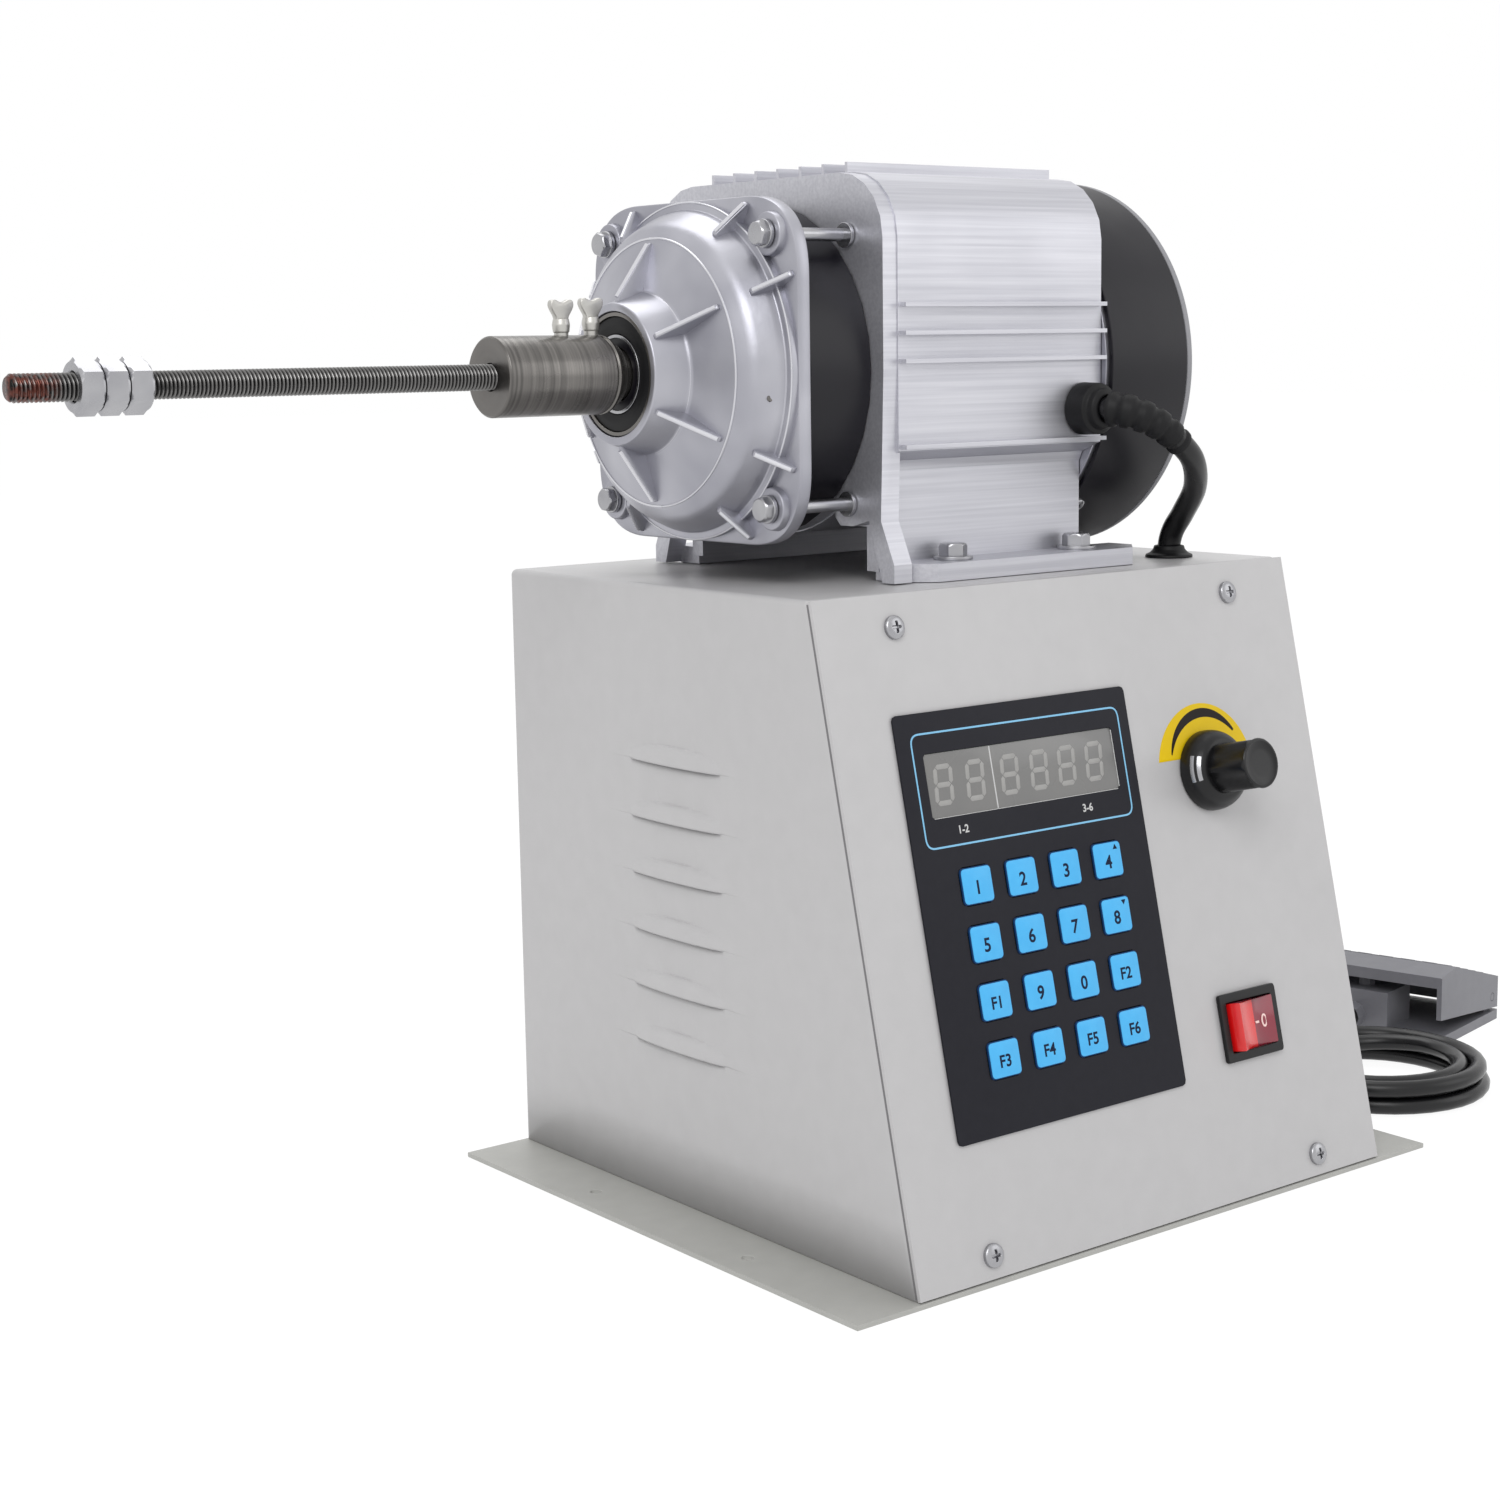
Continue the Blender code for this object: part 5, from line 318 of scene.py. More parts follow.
# %% Paints, films and prints
finish("case_paint", (193, 192, 193), (187, 186, 187), 0.42, scale=1100, relief=0.18, coat=0.10)
# Mid grey of the strips in the panel's side seams: painted shadow in the joint.
finish("painted_seam_shadow", (128, 127, 129), (118, 117, 119), 0.60, scale=1100, relief=0.05, specular=0.2)
finish("base_paint", (181, 181, 177), (171, 171, 167), 0.48, scale=1100, relief=0.15)
finish("keypad_film", (27, 27, 34), (32, 32, 39), 0.42, scale=2500, relief=0.08, specular=0.15)
finish("key_blue", (66, 176, 238), (78, 188, 246), 0.40, scale=2500, relief=0.06)
finish("key_edge_blue", (14, 52, 98), (18, 60, 108), 0.45, scale=2500, relief=0.05, specular=0.2)
finish("navy_print", (10, 24, 52), (14, 30, 60), 0.45, scale=2500, relief=0.05, specular=0.15)
finish("line_blue", (120, 186, 226), (132, 196, 232), 0.40, scale=2500, relief=0.05)
finish("display_lens", (112, 112, 112), (124, 123, 121), 0.30, scale=500, relief=0.02, coat=0.4)
finish("display_digit", (152, 151, 149), (160, 159, 157), 0.4, scale=2500, relief=0.05)
finish("pale_print", (196, 196, 196), (206, 206, 206), 0.45, scale=2500, relief=0.05)
finish("label_yellow", (228, 194, 14), (222, 187, 12), 0.45, scale=2500, relief=0.05, specular=0.2)
# White of the strips on the display window's edges: painted highlight.
finish("glint_white", (238, 238, 238), (244, 244, 244), 0.35, scale=2500, relief=0.03)
finish("black_print", (22, 15, 12), (28, 20, 16), 0.42, scale=2500, relief=0.05, specular=0.15)
finish("black_enamel", (15, 14, 20), (20, 18, 26), 0.40, scale=700, relief=0.10, specular=0.30)
finish("grey_cap", (146, 146, 150), (136, 136, 141), 0.45, scale=900, relief=0.15)
print("paints, films and prints:", len(looks))

# %% [markdown]
# Plastics and rubbers are moulded, with a low shine; metals mix their two tones more strongly.

# %% Plastics, rubbers and metals
finish("black_plastic", (14, 14, 16), (20, 20, 22), 0.34, scale=1800, relief=0.20, specular=0.35)
finish("switch_red", (222, 14, 18), (232, 22, 24), 0.22, scale=900, relief=0.03, coat=0.6)
# Darker red of the rocker's sunken half: painted shade, not a second colour of the part.
finish("switch_painted_shade", (142, 26, 50), (126, 20, 44), 0.20, scale=900, relief=0.03, coat=0.5)
finish("switch_mark", (250, 214, 208), (252, 222, 216), 0.35, scale=2500, relief=0.03)
finish("lead_rubber", (12, 12, 14), (18, 18, 20), 0.30, scale=260, relief=0.05, specular=0.4)
finish("matt_rubber", (14, 14, 16), (20, 20, 22), 0.55, scale=1500, relief=0.20, specular=0.25)
finish("pedal_plastic", (122, 122, 128), (112, 112, 118), 0.46, scale=1500, relief=0.30)
finish("board_green", (40, 92, 58), (34, 80, 50), 0.45, scale=300, relief=0.1)
finish("cast_aluminium", (186, 186, 193), (150, 150, 159), 0.40, metallic=0.85, scale=300, relief=0.34,
       depth=0.00016, contrast=1.8)
finish("drawn_aluminium", (204, 204, 210), (188, 188, 195), 0.42, metallic=0.75, group=drawn_lines,
       scale=26, relief=0.12, depth=0.00010)
# Paler metal of the beads on the cover's edges: painted highlight.
finish("cast_painted_highlight", (214, 214, 218), (202, 202, 208), 0.32, metallic=0.9, scale=420, relief=0.15)
finish("turned_steel", (126, 123, 120), (92, 90, 88), 0.34, metallic=0.9, group=turned_lines, scale=22,
       relief=0.25, depth=0.00008, marks=0.10)
finish("zinc_plate", (184, 184, 186), (148, 148, 153), 0.30, metallic=0.95, scale=900, relief=0.10,
       marks=0.08)
finish("pale_cast", (206, 205, 200), (182, 180, 176), 0.42, metallic=0.75, scale=650, relief=0.30,
       depth=0.00015)
finish("copper_wire", (170, 96, 52), (132, 70, 38), 0.35, metallic=0.7, group=turned_lines, scale=20,
       relief=0.4)
print("finishes:", len(looks))

# %% [markdown]
# The threaded rod is dark steel, and its free end has gone red-brown. Painted shade darkens its
# thread, following the depth of the groove, which the mesh carries as an attribute. The change
# to brown sits at a place along the rod, so the X coordinate drives that mix.

# %% Rod steel with a rusted tip
RUST_FULL_X, RUST_NONE_X = -0.370, -0.364

tree = finish("rod_steel", (134, 133, 132), (104, 103, 102), 0.30, metallic=0.85, scale=500, relief=0.2,
              marks=0.1)
base_colour = tree.nodes["Principled BSDF"].inputs["Base Color"]
coordinates = tree.nodes["Texture Coordinate"].outputs["Object"]
groove_depth = tree.nodes.new("ShaderNodeAttribute")
groove_depth.attribute_name = "groove"
# Painted shade: the thread's grooves turn darker with their depth.
groove_painted_shade = colour_mix(tree, ramp(tree, groove_depth.outputs["Fac"], 0.25, 0.85),
                   base_colour.links[0].from_socket, (26, 25, 25))
place_x = tree.nodes.new("ShaderNodeSeparateXYZ")
tree.links.new(coordinates, place_x.inputs["Vector"])
tip_mask = ramp(tree, place_x.outputs["X"], RUST_FULL_X, RUST_NONE_X, 1.0, 0.0)
patches = ramp(tree, noise(tree, coordinates, 420.0, 3.0), 0.35, 0.6)
rusted = colour_mix(tree, math_node(tree, "MULTIPLY", tip_mask, patches), groove_painted_shade, (104, 62, 54))
tree.links.new(rusted, base_colour)
print("rust fades out over", round((RUST_NONE_X - RUST_FULL_X) * 1000), "mm")

# %% [markdown]
# ## Surfaces on a grid
# Every new piece below is a grid of places: rows of loops, like rings along a pipe. `surface`
# joins neighbouring rows with four-sided faces, closes the ends with one face or leaves them
# open, and shades the result smoothly up to an angle, so real corners stay sharp.

# %% The surface builder
DOUBLE_DISTANCE, CAD_DOUBLE_DISTANCE, CORNER_ANGLE = 0.000002, 0.000005, 32.0


def dress(piece, look, slot_name=None, nodes=(), body="machine"):
    """Gives a piece its finish and the body it rides on, and hides the CAD nodes it stands for.
    The slot_name argument, which defaults to the finish's name, is not used."""
    slot_name = slot_name or look
    piece.data.materials.append(looks[look])
    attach(piece, body)
    if nodes:
        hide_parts(*nodes)
    return piece


def shade(mesh, angle):
    """Smooth shading, broken where faces meet at more than an angle."""
    mesh.polygons.foreach_set("use_smooth", np.ones(len(mesh.polygons), bool))
    mesh.set_sharp_from_angle(angle=math.radians(angle))


def new_piece(name, mesh):
    """Object at the origin, linked to the scene."""
    piece = bpy.data.objects.new(name, mesh)
    scene.collection.objects.link(piece)
    return piece


def coordinates_of(mesh):
    """Places of a mesh's vertices as rows of three."""
    places = np.empty(len(mesh.vertices) * 3)
    mesh.vertices.foreach_get("co", places)
    return places.reshape(-1, 3)


def solid_mesh(name, places, faces, angle=CORNER_ANGLE):
    """Piece from world places and faces; doubles merged, normals outward."""
    mesh = bpy.data.meshes.new(name)
    mesh.from_pydata(np.asarray(places, float).reshape(-1, 3).tolist(), [], faces)
    work = bmesh.new()
    work.from_mesh(mesh)
    bmesh.ops.remove_doubles(work, verts=work.verts, dist=DOUBLE_DISTANCE)
    bmesh.ops.recalc_face_normals(work, faces=work.faces)
    work.to_mesh(mesh)
    work.free()
    shade(mesh, angle)
    mesh.update()
    return new_piece(name, mesh)


def grid_faces(rows, columns, closed=True, shift=0):
    """Four-sided faces between the rows of a grid, as (rows * columns) indices."""
    last = columns if closed else columns - 1
    row, column = np.meshgrid(np.arange(rows - 1), np.arange(last), indexing="ij")
    here = row * columns + column
    beside = row * columns + (column + 1) % columns
    faces = np.stack([here, beside, beside + columns, here + columns], -1).reshape(-1, 4)
    return (faces + shift).tolist()


def merged(name, grids, caps=(True, True), closed=True, angle=CORNER_ANGLE):
    """Several grids (rows, columns, 3) of world places as one piece."""
    places, faces, shift = [], [], 0
    for grid in grids:
        rows, columns = grid.shape[:2]
        faces += grid_faces(rows, columns, closed, shift)
        if caps[0]:
            faces.append([shift + i for i in range(columns)][::-1])
        if caps[1]:
            faces.append([shift + (rows - 1) * columns + i for i in range(columns)])
        places.append(grid.reshape(-1, 3))
        shift += rows * columns
    return solid_mesh(name, np.concatenate(places), faces, angle)


def surface(name, grid, **how):
    """One grid as a piece."""
    return merged(name, [grid], **how)


OPEN_ENDS = dict(caps=(False, False))
print("surface builder ready")

# %% [markdown]
# Real edges are never razor sharp. `softened` replaces each corner of a flat line with a small
# arc, whether the line is a section to turn round an axis or the outline of a plate. `revolved`
# turns such a section round an axis, and can cut it by six flats: a nut is a turned shape whose
# radius at an angle is at most the distance to the nearest flat, so the chamfered corners come
# by themselves.

# %% Softened corners and turned pieces
def softened(line, radius, steps=4, closed=False):
    """Flat line whose corners become arcs: each corner's arc is a quadratic blend between
    points `radius` before and after it, shortened on short sides."""
    line = np.asarray(line, float)
    before, after = np.roll(line, 1, 0), np.roll(line, -1, 0)
    to_before, to_after = before - line, after - line
    length_before = np.linalg.norm(to_before, axis=1, keepdims=True)
    length_after = np.linalg.norm(to_after, axis=1, keepdims=True)
    reach = np.broadcast_to(np.reshape(radius, (-1, 1)), length_before.shape)
    start = line + to_before / length_before * np.minimum(reach, 0.45 * length_before)
    end = line + to_after / length_after * np.minimum(reach, 0.45 * length_after)
    t = np.linspace(0, 1, steps + 1)[None, :, None]
    arcs = (1 - t) ** 2 * start[:, None] + 2 * t * (1 - t) * line[:, None] + t ** 2 * end[:, None]
    if closed:
        return arcs.reshape(-1, 2)
    return np.concatenate([line[:1], arcs[1:-1].reshape(-1, 2), line[-1:]])


def round_angles(steps):
    """Angles once round, without the last."""
    return np.linspace(0, 2 * math.pi, steps, endpoint=False)


def revolved(profile, frame_of=AXIS, steps=96, soft=0.0004, closed=True, flat=None, phase=0.0):
    """Grid of a section (radius, station) turned round the third direction of a frame:
    place = r cos(a), r sin(a), station, with r = section radius or, for a hexagon,
    min(section radius, flat / cos(angle to the middle of the nearest flat))."""
    section = softened(profile, soft, closed=closed)
    if closed:
        section = np.concatenate([section, section[:1]])
    around = round_angles(steps)
    radius = section[:, 0:1] + 0 * around
    if flat is not None:
        nearest = np.mod(around - phase + math.pi / 6, math.pi / 3) - math.pi / 6
        radius = np.minimum(radius, flat / np.cos(nearest))
    return world(frame_of, np.stack([radius * np.cos(around), radius * np.sin(around),
                                     section[:, 1:2] + 0 * around], -1))


def turned(name, profile, frame_of=AXIS, steps=96, soft=0.0004, closed=True):
    """Turned piece. An open section starts and ends on the axis."""
    return surface(name, revolved(profile, frame_of, steps, soft, closed), caps=(not closed, not closed))


print("turned pieces ready")

# %% [markdown]
# Plates, caps, bars and prints are all outlines raised between two heights. `stacked` places
# outlines at their heights, and `slab` rounds the plate's edges by insetting the outline there.

# %% Plates and bands
def offset(outline, amount):
    """Closed outline moved inwards by an amount, along the mean of its sides' normals."""
    outline = np.asarray(outline, float)
    after, before = np.roll(outline, -1, 0), np.roll(outline, 1, 0)
    way = after - before
    area = np.sum(outline[:, 0] * after[:, 1] - after[:, 0] * outline[:, 1])
    inward = np.stack([-way[:, 1], way[:, 0]], -1) * np.sign(area)
    return outline + inward / np.maximum(np.linalg.norm(inward, axis=1, keepdims=True), 1e-9) * amount


def stacked(rows, frame_of):
    """Grid whose rows are (outline, height) pairs in a frame."""
    return world(frame_of, np.array([np.concatenate([line, np.full((len(line), 1), height)], 1)
                                     for line, height in rows]))


def slab_grid(outline, low, high, edge, frame_of):
    """Rows of a plate between two heights, its edges rounded in three steps."""
    levels = [(edge, low), (edge * 0.3, low + edge * 0.3), (0, low + edge), (0, high - edge),
              (edge * 0.3, high - edge * 0.3), (edge, high)]
    return stacked([(offset(outline, inset), height) for inset, height in levels], frame_of)


def slab(name, outline, low, high, edge, frame_of=PANEL, angle=40.0):
    """Plate of a closed outline in a frame, with rounded edges."""
    return surface(name, slab_grid(outline, low, high, edge, frame_of), angle=angle)


def band_grid(outer, inner, low, high, frame_of=PANEL):
    """Flat band between two lines with equal counts, as a closed section of four rows."""
    return stacked([(outer, low), (outer, high), (inner, high), (inner, low), (outer, low)], frame_of)


def rounded_box(width, height, radius, centre=(0, 0), steps=6):
    """Outline of a rounded rectangle, anticlockwise."""
    w, h = width / 2, height / 2
    corners = np.array([(w, -h), (w, h), (-w, h), (-w, -h)]) + np.asarray(centre)
    return softened(corners, radius, steps, closed=True)


print("plates ready")

# %% [markdown]
# ## Pipes and leads
# A lead is a circle carried along a path. Each ring stands square to the path: its up direction
# is passed on from ring to ring. The path itself is a smooth curve through a few places
# (Catmull-Rom), resampled at equal steps.

# %% Smooth paths and pipes
def smooth_path(route, count):
    """Evenly spaced places on the Catmull-Rom curve through a route."""
    route = np.asarray(route, float)
    padded = np.concatenate([[2 * route[0] - route[1]], route, [2 * route[-1] - route[-2]]])
    t = np.linspace(0, 1, 24, endpoint=False)[None, :, None]
    before, start, end, after = (padded[i:len(padded) - 3 + i, None] for i in range(4))
    fine = 0.5 * (2 * start + (end - before) * t + (2 * before - 5 * start + 4 * end - after) * t ** 2
                  + (3 * start - before - 3 * end + after) * t ** 3).reshape(-1, 3)
    fine = np.concatenate([fine, route[-1:]])
    reach = np.concatenate([[0], np.cumsum(np.linalg.norm(np.diff(fine, axis=0), axis=1))])
    wanted = np.linspace(0, reach[-1], count)
    return np.stack([np.interp(wanted, reach, fine[:, i]) for i in range(3)], -1)


def path_length(path):
    """Sum of the distances between neighbouring places."""
    return float(np.linalg.norm(np.diff(path, axis=0), axis=1).sum())


def pipe_grid(path, radius, steps=20, start_up=Z_WAY):
    """Rings along a path: the up direction is carried from ring to ring without twist."""
    path = np.asarray(path, float)
    way = np.gradient(path, axis=0)
    way /= np.linalg.norm(way, axis=1, keepdims=True)
    up = np.asarray(start_up, float)
    ups = []
    for direction in way:
        up = up - direction * (up @ direction)
        up = up / np.linalg.norm(up)
        ups.append(up)
    ups = np.array(ups)
    sides = np.cross(way, ups)
    around = round_angles(steps)
    radius = np.broadcast_to(np.asarray(radius, float), (len(path),))[:, None, None]
    return (path[:, None] + radius * (np.cos(around)[None, :, None] * sides[:, None]
                                      + np.sin(around)[None, :, None] * ups[:, None]))


print("pipes ready")

# %% [markdown]
# ## The pedal's lead
# The foot pedal hangs on a round black lead that leaves the case through a gland low on the
# right wall, lies in a loose coil on the bench and runs into the pedal. It is one tube; its
# route repeats the one in the model's source, so the tube lies where the solids are.

# %% Route and tube of the pedal's lead
LEAD_RADIUS, FLOOR_GAP = 0.00375, 0.0003
COIL_CENTRE, COIL_RADIUS, COIL_STEP, COIL_RISE, COIL_TURNS = (0.216, -0.056), 0.0515, 0.0082, 0.0082, 4
case_exit = (0.1405, 0.0360, 0.0300)
CASE_ROUTE = [case_exit, (0.1480, 0.0360, 0.0300), (0.1565, 0.0358, 0.0285), (0.1640, 0.0345, 0.0235),
              (0.1705, 0.0300, 0.0160), (0.1770, 0.0220, 0.0090), (0.1830, 0.0125, 0.0052),
              (0.1900, 0.0030, 0.0041), (0.2010, -0.0045, 0.00405), (0.2085, -0.0045, 0.00405)]
PEDAL_ROUTE = [(0.2235, -0.0045, 0.01225), (0.2310, -0.0045, 0.01225), (0.2380, -0.0040, 0.0115),
               (0.2470, -0.0023, 0.0106), (0.2555, -0.0001, 0.0102),
               world(PEDAL, (-0.0158, 0.0450, 0.0105)), world(PEDAL, (-0.0083, 0.0450, 0.0105))]


def coil_path():
    """Coil: radius shrinks to the middle turn and grows again, and the height climbs one
    layer in the half turn round the middle. The angle falls steadily, so it runs clockwise."""
    turns = np.linspace(0, COIL_TURNS, COIL_TURNS * 36 + 1)
    past = turns - COIL_TURNS / 2
    climb = np.clip(past / 0.5 + 0.5, 0, 1)
    radius = COIL_RADIUS - COIL_STEP * (COIL_TURNS / 2 - np.abs(past))
    angle = math.pi / 2 - 2 * math.pi * turns
    return np.stack([COIL_CENTRE[0] + radius * np.cos(angle), COIL_CENTRE[1] + radius * np.sin(angle),
                     LEAD_RADIUS + FLOOR_GAP + COIL_RISE * climb], -1)


lead_path = np.concatenate([smooth_path(CASE_ROUTE, 40), coil_path(), smooth_path(PEDAL_ROUTE, 24)])
pedal_lead = surface("pedal_lead", pipe_grid(lead_path, LEAD_RADIUS), angle=60.0)
dress(pedal_lead, "lead_rubber", "black_rubber", ("lead_run_case", "lead_coil", "lead_run_pedal"))

# %% [markdown]
# ## Studio
# The photograph is a cut-out on white. The world and the floor show white to the camera and in
# reflections, and light the machine at a plain level; three large soft lamps shape it.

# %% World, floor and lamps
WORLD_LIGHT, FLOOR_HALF, FLOOR_DROP, LAMP_TARGET = 0.62, 12, -0.0002, Vector((0, 0.02, 0.22))


def white_view(tree):
    """Socket that is 1 for camera, glossy and transmission rays, else 0."""
    seen = tree.nodes.new("ShaderNodeLightPath").outputs
    either = math_node(tree, "MAXIMUM", seen["Is Camera Ray"], seen["Is Glossy Ray"])
    return math_node(tree, "MAXIMUM", either, seen["Is Transmission Ray"])


def shader_output(tree, kind, shader):
    """Output node of a kind, fed by a shader."""
    tree.links.new(shader, tree.nodes.new(kind).inputs["Surface"])


scene.view_settings.view_transform = "Standard"
scene.world = bpy.data.worlds.new("studio")
scene.world.use_nodes = True
sky = scene.world.node_tree
sky.nodes.clear()
glow = sky.nodes.new("ShaderNodeBackground")
glow.inputs["Color"].default_value = (1, 1, 1, 1)
sky.links.new(ramp(sky, white_view(sky), 0, 1, WORLD_LIGHT, 1.0), glow.inputs["Strength"])
shader_output(sky, "ShaderNodeOutputWorld", glow.outputs["Background"])

floor_white = bpy.data.materials.new("floor_white")
floor_white.use_nodes = True
tree = floor_white.node_tree
tree.nodes.clear()
paper = tree.nodes.new("ShaderNodeBsdfDiffuse")
paper.inputs["Color"].default_value = (0.86, 0.86, 0.86, 1)
shine = tree.nodes.new("ShaderNodeEmission")
shine.inputs["Strength"].default_value = 1.08
blend_in = tree.nodes.new("ShaderNodeMixShader")
tree.links.new(ramp(tree, white_view(tree), 0, 1, 0.35, 0.86), blend_in.inputs["Fac"])
tree.links.new(paper.outputs["BSDF"], blend_in.inputs[1])
tree.links.new(shine.outputs["Emission"], blend_in.inputs[2])
shader_output(tree, "ShaderNodeOutputMaterial", blend_in.outputs["Shader"])
floor_mesh = bpy.data.meshes.new("floor")
floor_mesh.from_pydata([(FLOOR_HALF * x, FLOOR_HALF * y, FLOOR_DROP) for x, y in
                        ((-1, -1), (1, -1), (1, 1), (-1, 1))], [], [(0, 1, 2, 3)])
floor_mesh.materials.append(floor_white)
floor = new_piece("floor", floor_mesh)
floor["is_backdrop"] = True
for name, place, size, power in (("key_lamp", (-1.6, -1.5, 1.9), 1.4, 26),
                                 ("fill_lamp", (1.8, -1.9, 1.2), 1.6, 7),
                                 ("top_lamp", (0.2, 0.9, 2.2), 1.6, 16)):
    data = bpy.data.lights.new(name, "AREA")
    data.size, data.energy = size, power
    aim = (LAMP_TARGET - Vector(place)).to_track_quat("-Z", "Y").to_matrix().to_4x4()
    new_piece(name, data).matrix_world = Matrix.Translation(place) @ aim

# %% [markdown]
# ## Finer copies of the straight-sided pieces
# Plates, blocks and the extruded motor housing already have the right shape in the model; what
# they lack are the small radii of real edges, which catch the light. A merged copy of such a
# node gets a Bevel on its sharp edges. The turned and domed pieces are built anew further on.

# %% Copies with eased edges
def eased(node, look, slot_name=None, width=0.0004, segments=2, body="machine", angle=28.0):
    """Copy of a CAD node with merged corners, flat faces made whole, and bevelled edges."""
    work = bmesh.new()
    work.from_mesh(frame["nodes"][node].data)
    bmesh.ops.remove_doubles(work, verts=work.verts, dist=CAD_DOUBLE_DISTANCE)
    bmesh.ops.dissolve_limit(work, angle_limit=math.radians(1.0), verts=work.verts, edges=work.edges)
    mesh = bpy.data.meshes.new(node + "_fine")
    work.to_mesh(mesh)
    work.free()
    mesh.materials.clear()
    shade(mesh, angle)
    piece = new_piece(node + "_fine", mesh)
    edge = piece.modifiers.new("eased_edges", "BEVEL")
    edge.width, edge.segments = width, segments
    edge.limit_method, edge.angle_limit = "ANGLE", math.radians(angle)
    edge.use_clamp_overlap, edge.harden_normals = True, True
    return dress(piece, look, slot_name, (node,), body)


eased("front_panel", "case_paint", width=0.0005)
eased("base_plate", "base_paint", width=0.0003)
eased("keypad_overlay", "keypad_film", width=0.00015)
eased("rocker_housing", "black_plastic")
eased("motor_housing", "drawn_aluminium", "cast_aluminium")
eased("pedal_base", "pedal_plastic", width=0.0005)
eased("control_board", "board_green", "circuit_board", 0.0002)
print("eased copies made")

# %% [markdown]
# The pieces that hardly show keep their solids and get only a finish.

# %% Finishes of the kept nodes
kept = {"cooling_fan": "black_plastic", "stator": "copper_wire", "rotor_shaft": "turned_steel",
        "planet_carrier": "turned_steel", "planet_gear_1": "turned_steel", "planet_gear_2": "turned_steel",
        "planet_gear_3": "turned_steel", "potentiometer": "zinc_plate"}
for node, look in kept.items():
    mesh = frame["nodes"][node].data
    mesh.materials.clear()
    mesh.materials.append(looks[look])
print("kept nodes:", len(kept))

# %% [markdown]
# ## Case
# Six louvres are pressed out of each side wall. Each hood is an ellipsoid's upper part, cut off
# level at its mouth, so the wall's height over its plane is a formula of the place on the wall.

# %% The louvres' shape
LOUVRE_Z = 0.181 - 0.0229 * np.arange(6)
LOUVRE_MIDDLE, LOUVRE_HALF_LENGTH, LOUVRE_HALF_HEIGHT, LOUVRE_RISE = 0.014, 0.030, 0.0062, 0.0026
# The mouth's level below the hood's middle, and how far under it the wall is flat again
MOUTH, MOUTH_LIP, MOUTH_FLAT = -0.0012, 0.00004, 0.0030


def louvre_rise(y, z):
    """How far the wall is pushed out: rise * sqrt(ly^2 - lz^2) per hood, none below its mouth."""
    along = 1 - ((y - LOUVRE_MIDDLE) / LOUVRE_HALF_LENGTH) ** 2
    rise = np.zeros_like(y)
    for middle in LOUVRE_Z:
        up = (z - middle) / LOUVRE_HALF_HEIGHT
        hood = np.sqrt(np.clip(along - up ** 2, 0, None))
        rise = np.maximum(rise, np.where(z >= middle + MOUTH - 1e-7, hood, 0))
    return rise * LOUVRE_RISE


BEND, FOOT_Z = 0.0025, 0.0023
HOOD_SHARES = np.array([0, 0.1, 0.25, 0.4, 0.55, 0.7, 0.83, 0.93, 1.0])
levels = [FOOT_Z, 0.030]
for middle in LOUVRE_Z[::-1]:
    levels += [middle + MOUTH - MOUTH_FLAT, middle + MOUTH - MOUTH_LIP]
    levels += list(middle + MOUTH + (LOUVRE_HALF_HEIGHT - MOUTH) * HOOD_SHARES)
levels = np.array(levels + [0.2000, 0.2250, CASE_HEIGHT - BEND])
print("levels up the side wall:", len(levels))

# %% [markdown]
# The case is one sheet bent over the top and both sides, with a back and a lip round the
# front. Walking round its section gives one direction of the grid, and walking from the front
# lip over the side to the back gives the other. The faces at a louvre's mouth are left out, so
# it is truly open, and a Solidify gives the sheet its thickness.

# %% Case wrap
CASE_HALF, CASE_BACK = 0.128, 0.1285
PANEL_LEAN, SET_BACK, LIP, SHEET, WALL_START = 0.058, 0.00185, 0.021, 0.0013, -0.018
bend = np.linspace(0, math.pi / 2, 7)


def panel_front(height):
    """Y of the plane behind the front panel at a height."""
    return TOP_FRONT_Y - (CASE_HEIGHT - height) * PANEL_LEAN / CASE_HEIGHT + SET_BACK


def case_row(flat, y):
    """Row of the wrap: a section line (x, z) at a Y, which may change along it."""
    return np.stack([flat[:, 0], y + 0 * flat[:, 0], flat[:, 1]], -1)


top = np.linspace(-CASE_HALF + BEND, CASE_HALF - BEND, 9)[1:]
left = np.stack([np.full(len(levels), -CASE_HALF), levels], -1)
first_bend = np.stack([-CASE_HALF + BEND - BEND * np.cos(bend[1:]),
                       CASE_HEIGHT - BEND + BEND * np.sin(bend[1:])], -1)
over = np.stack([top, np.full(len(top), CASE_HEIGHT)], -1)
section = np.concatenate([left, first_bend, over, (first_bend * (-1, 1))[::-1][1:],
                          (left * (-1, 1))[::-1]])
bend_inward = np.stack([np.cos(bend[1:]), -np.sin(bend[1:])], -1)
inward = np.concatenate([np.tile([1.0, 0.0], (len(levels), 1)), bend_inward,
                         np.tile([0.0, -1.0], (len(top), 1)),
                         (bend_inward * (-1, 1))[::-1][1:], np.tile([-1.0, 0.0], (len(levels), 1))])
on_side = np.abs(inward[:, 0]) == 1

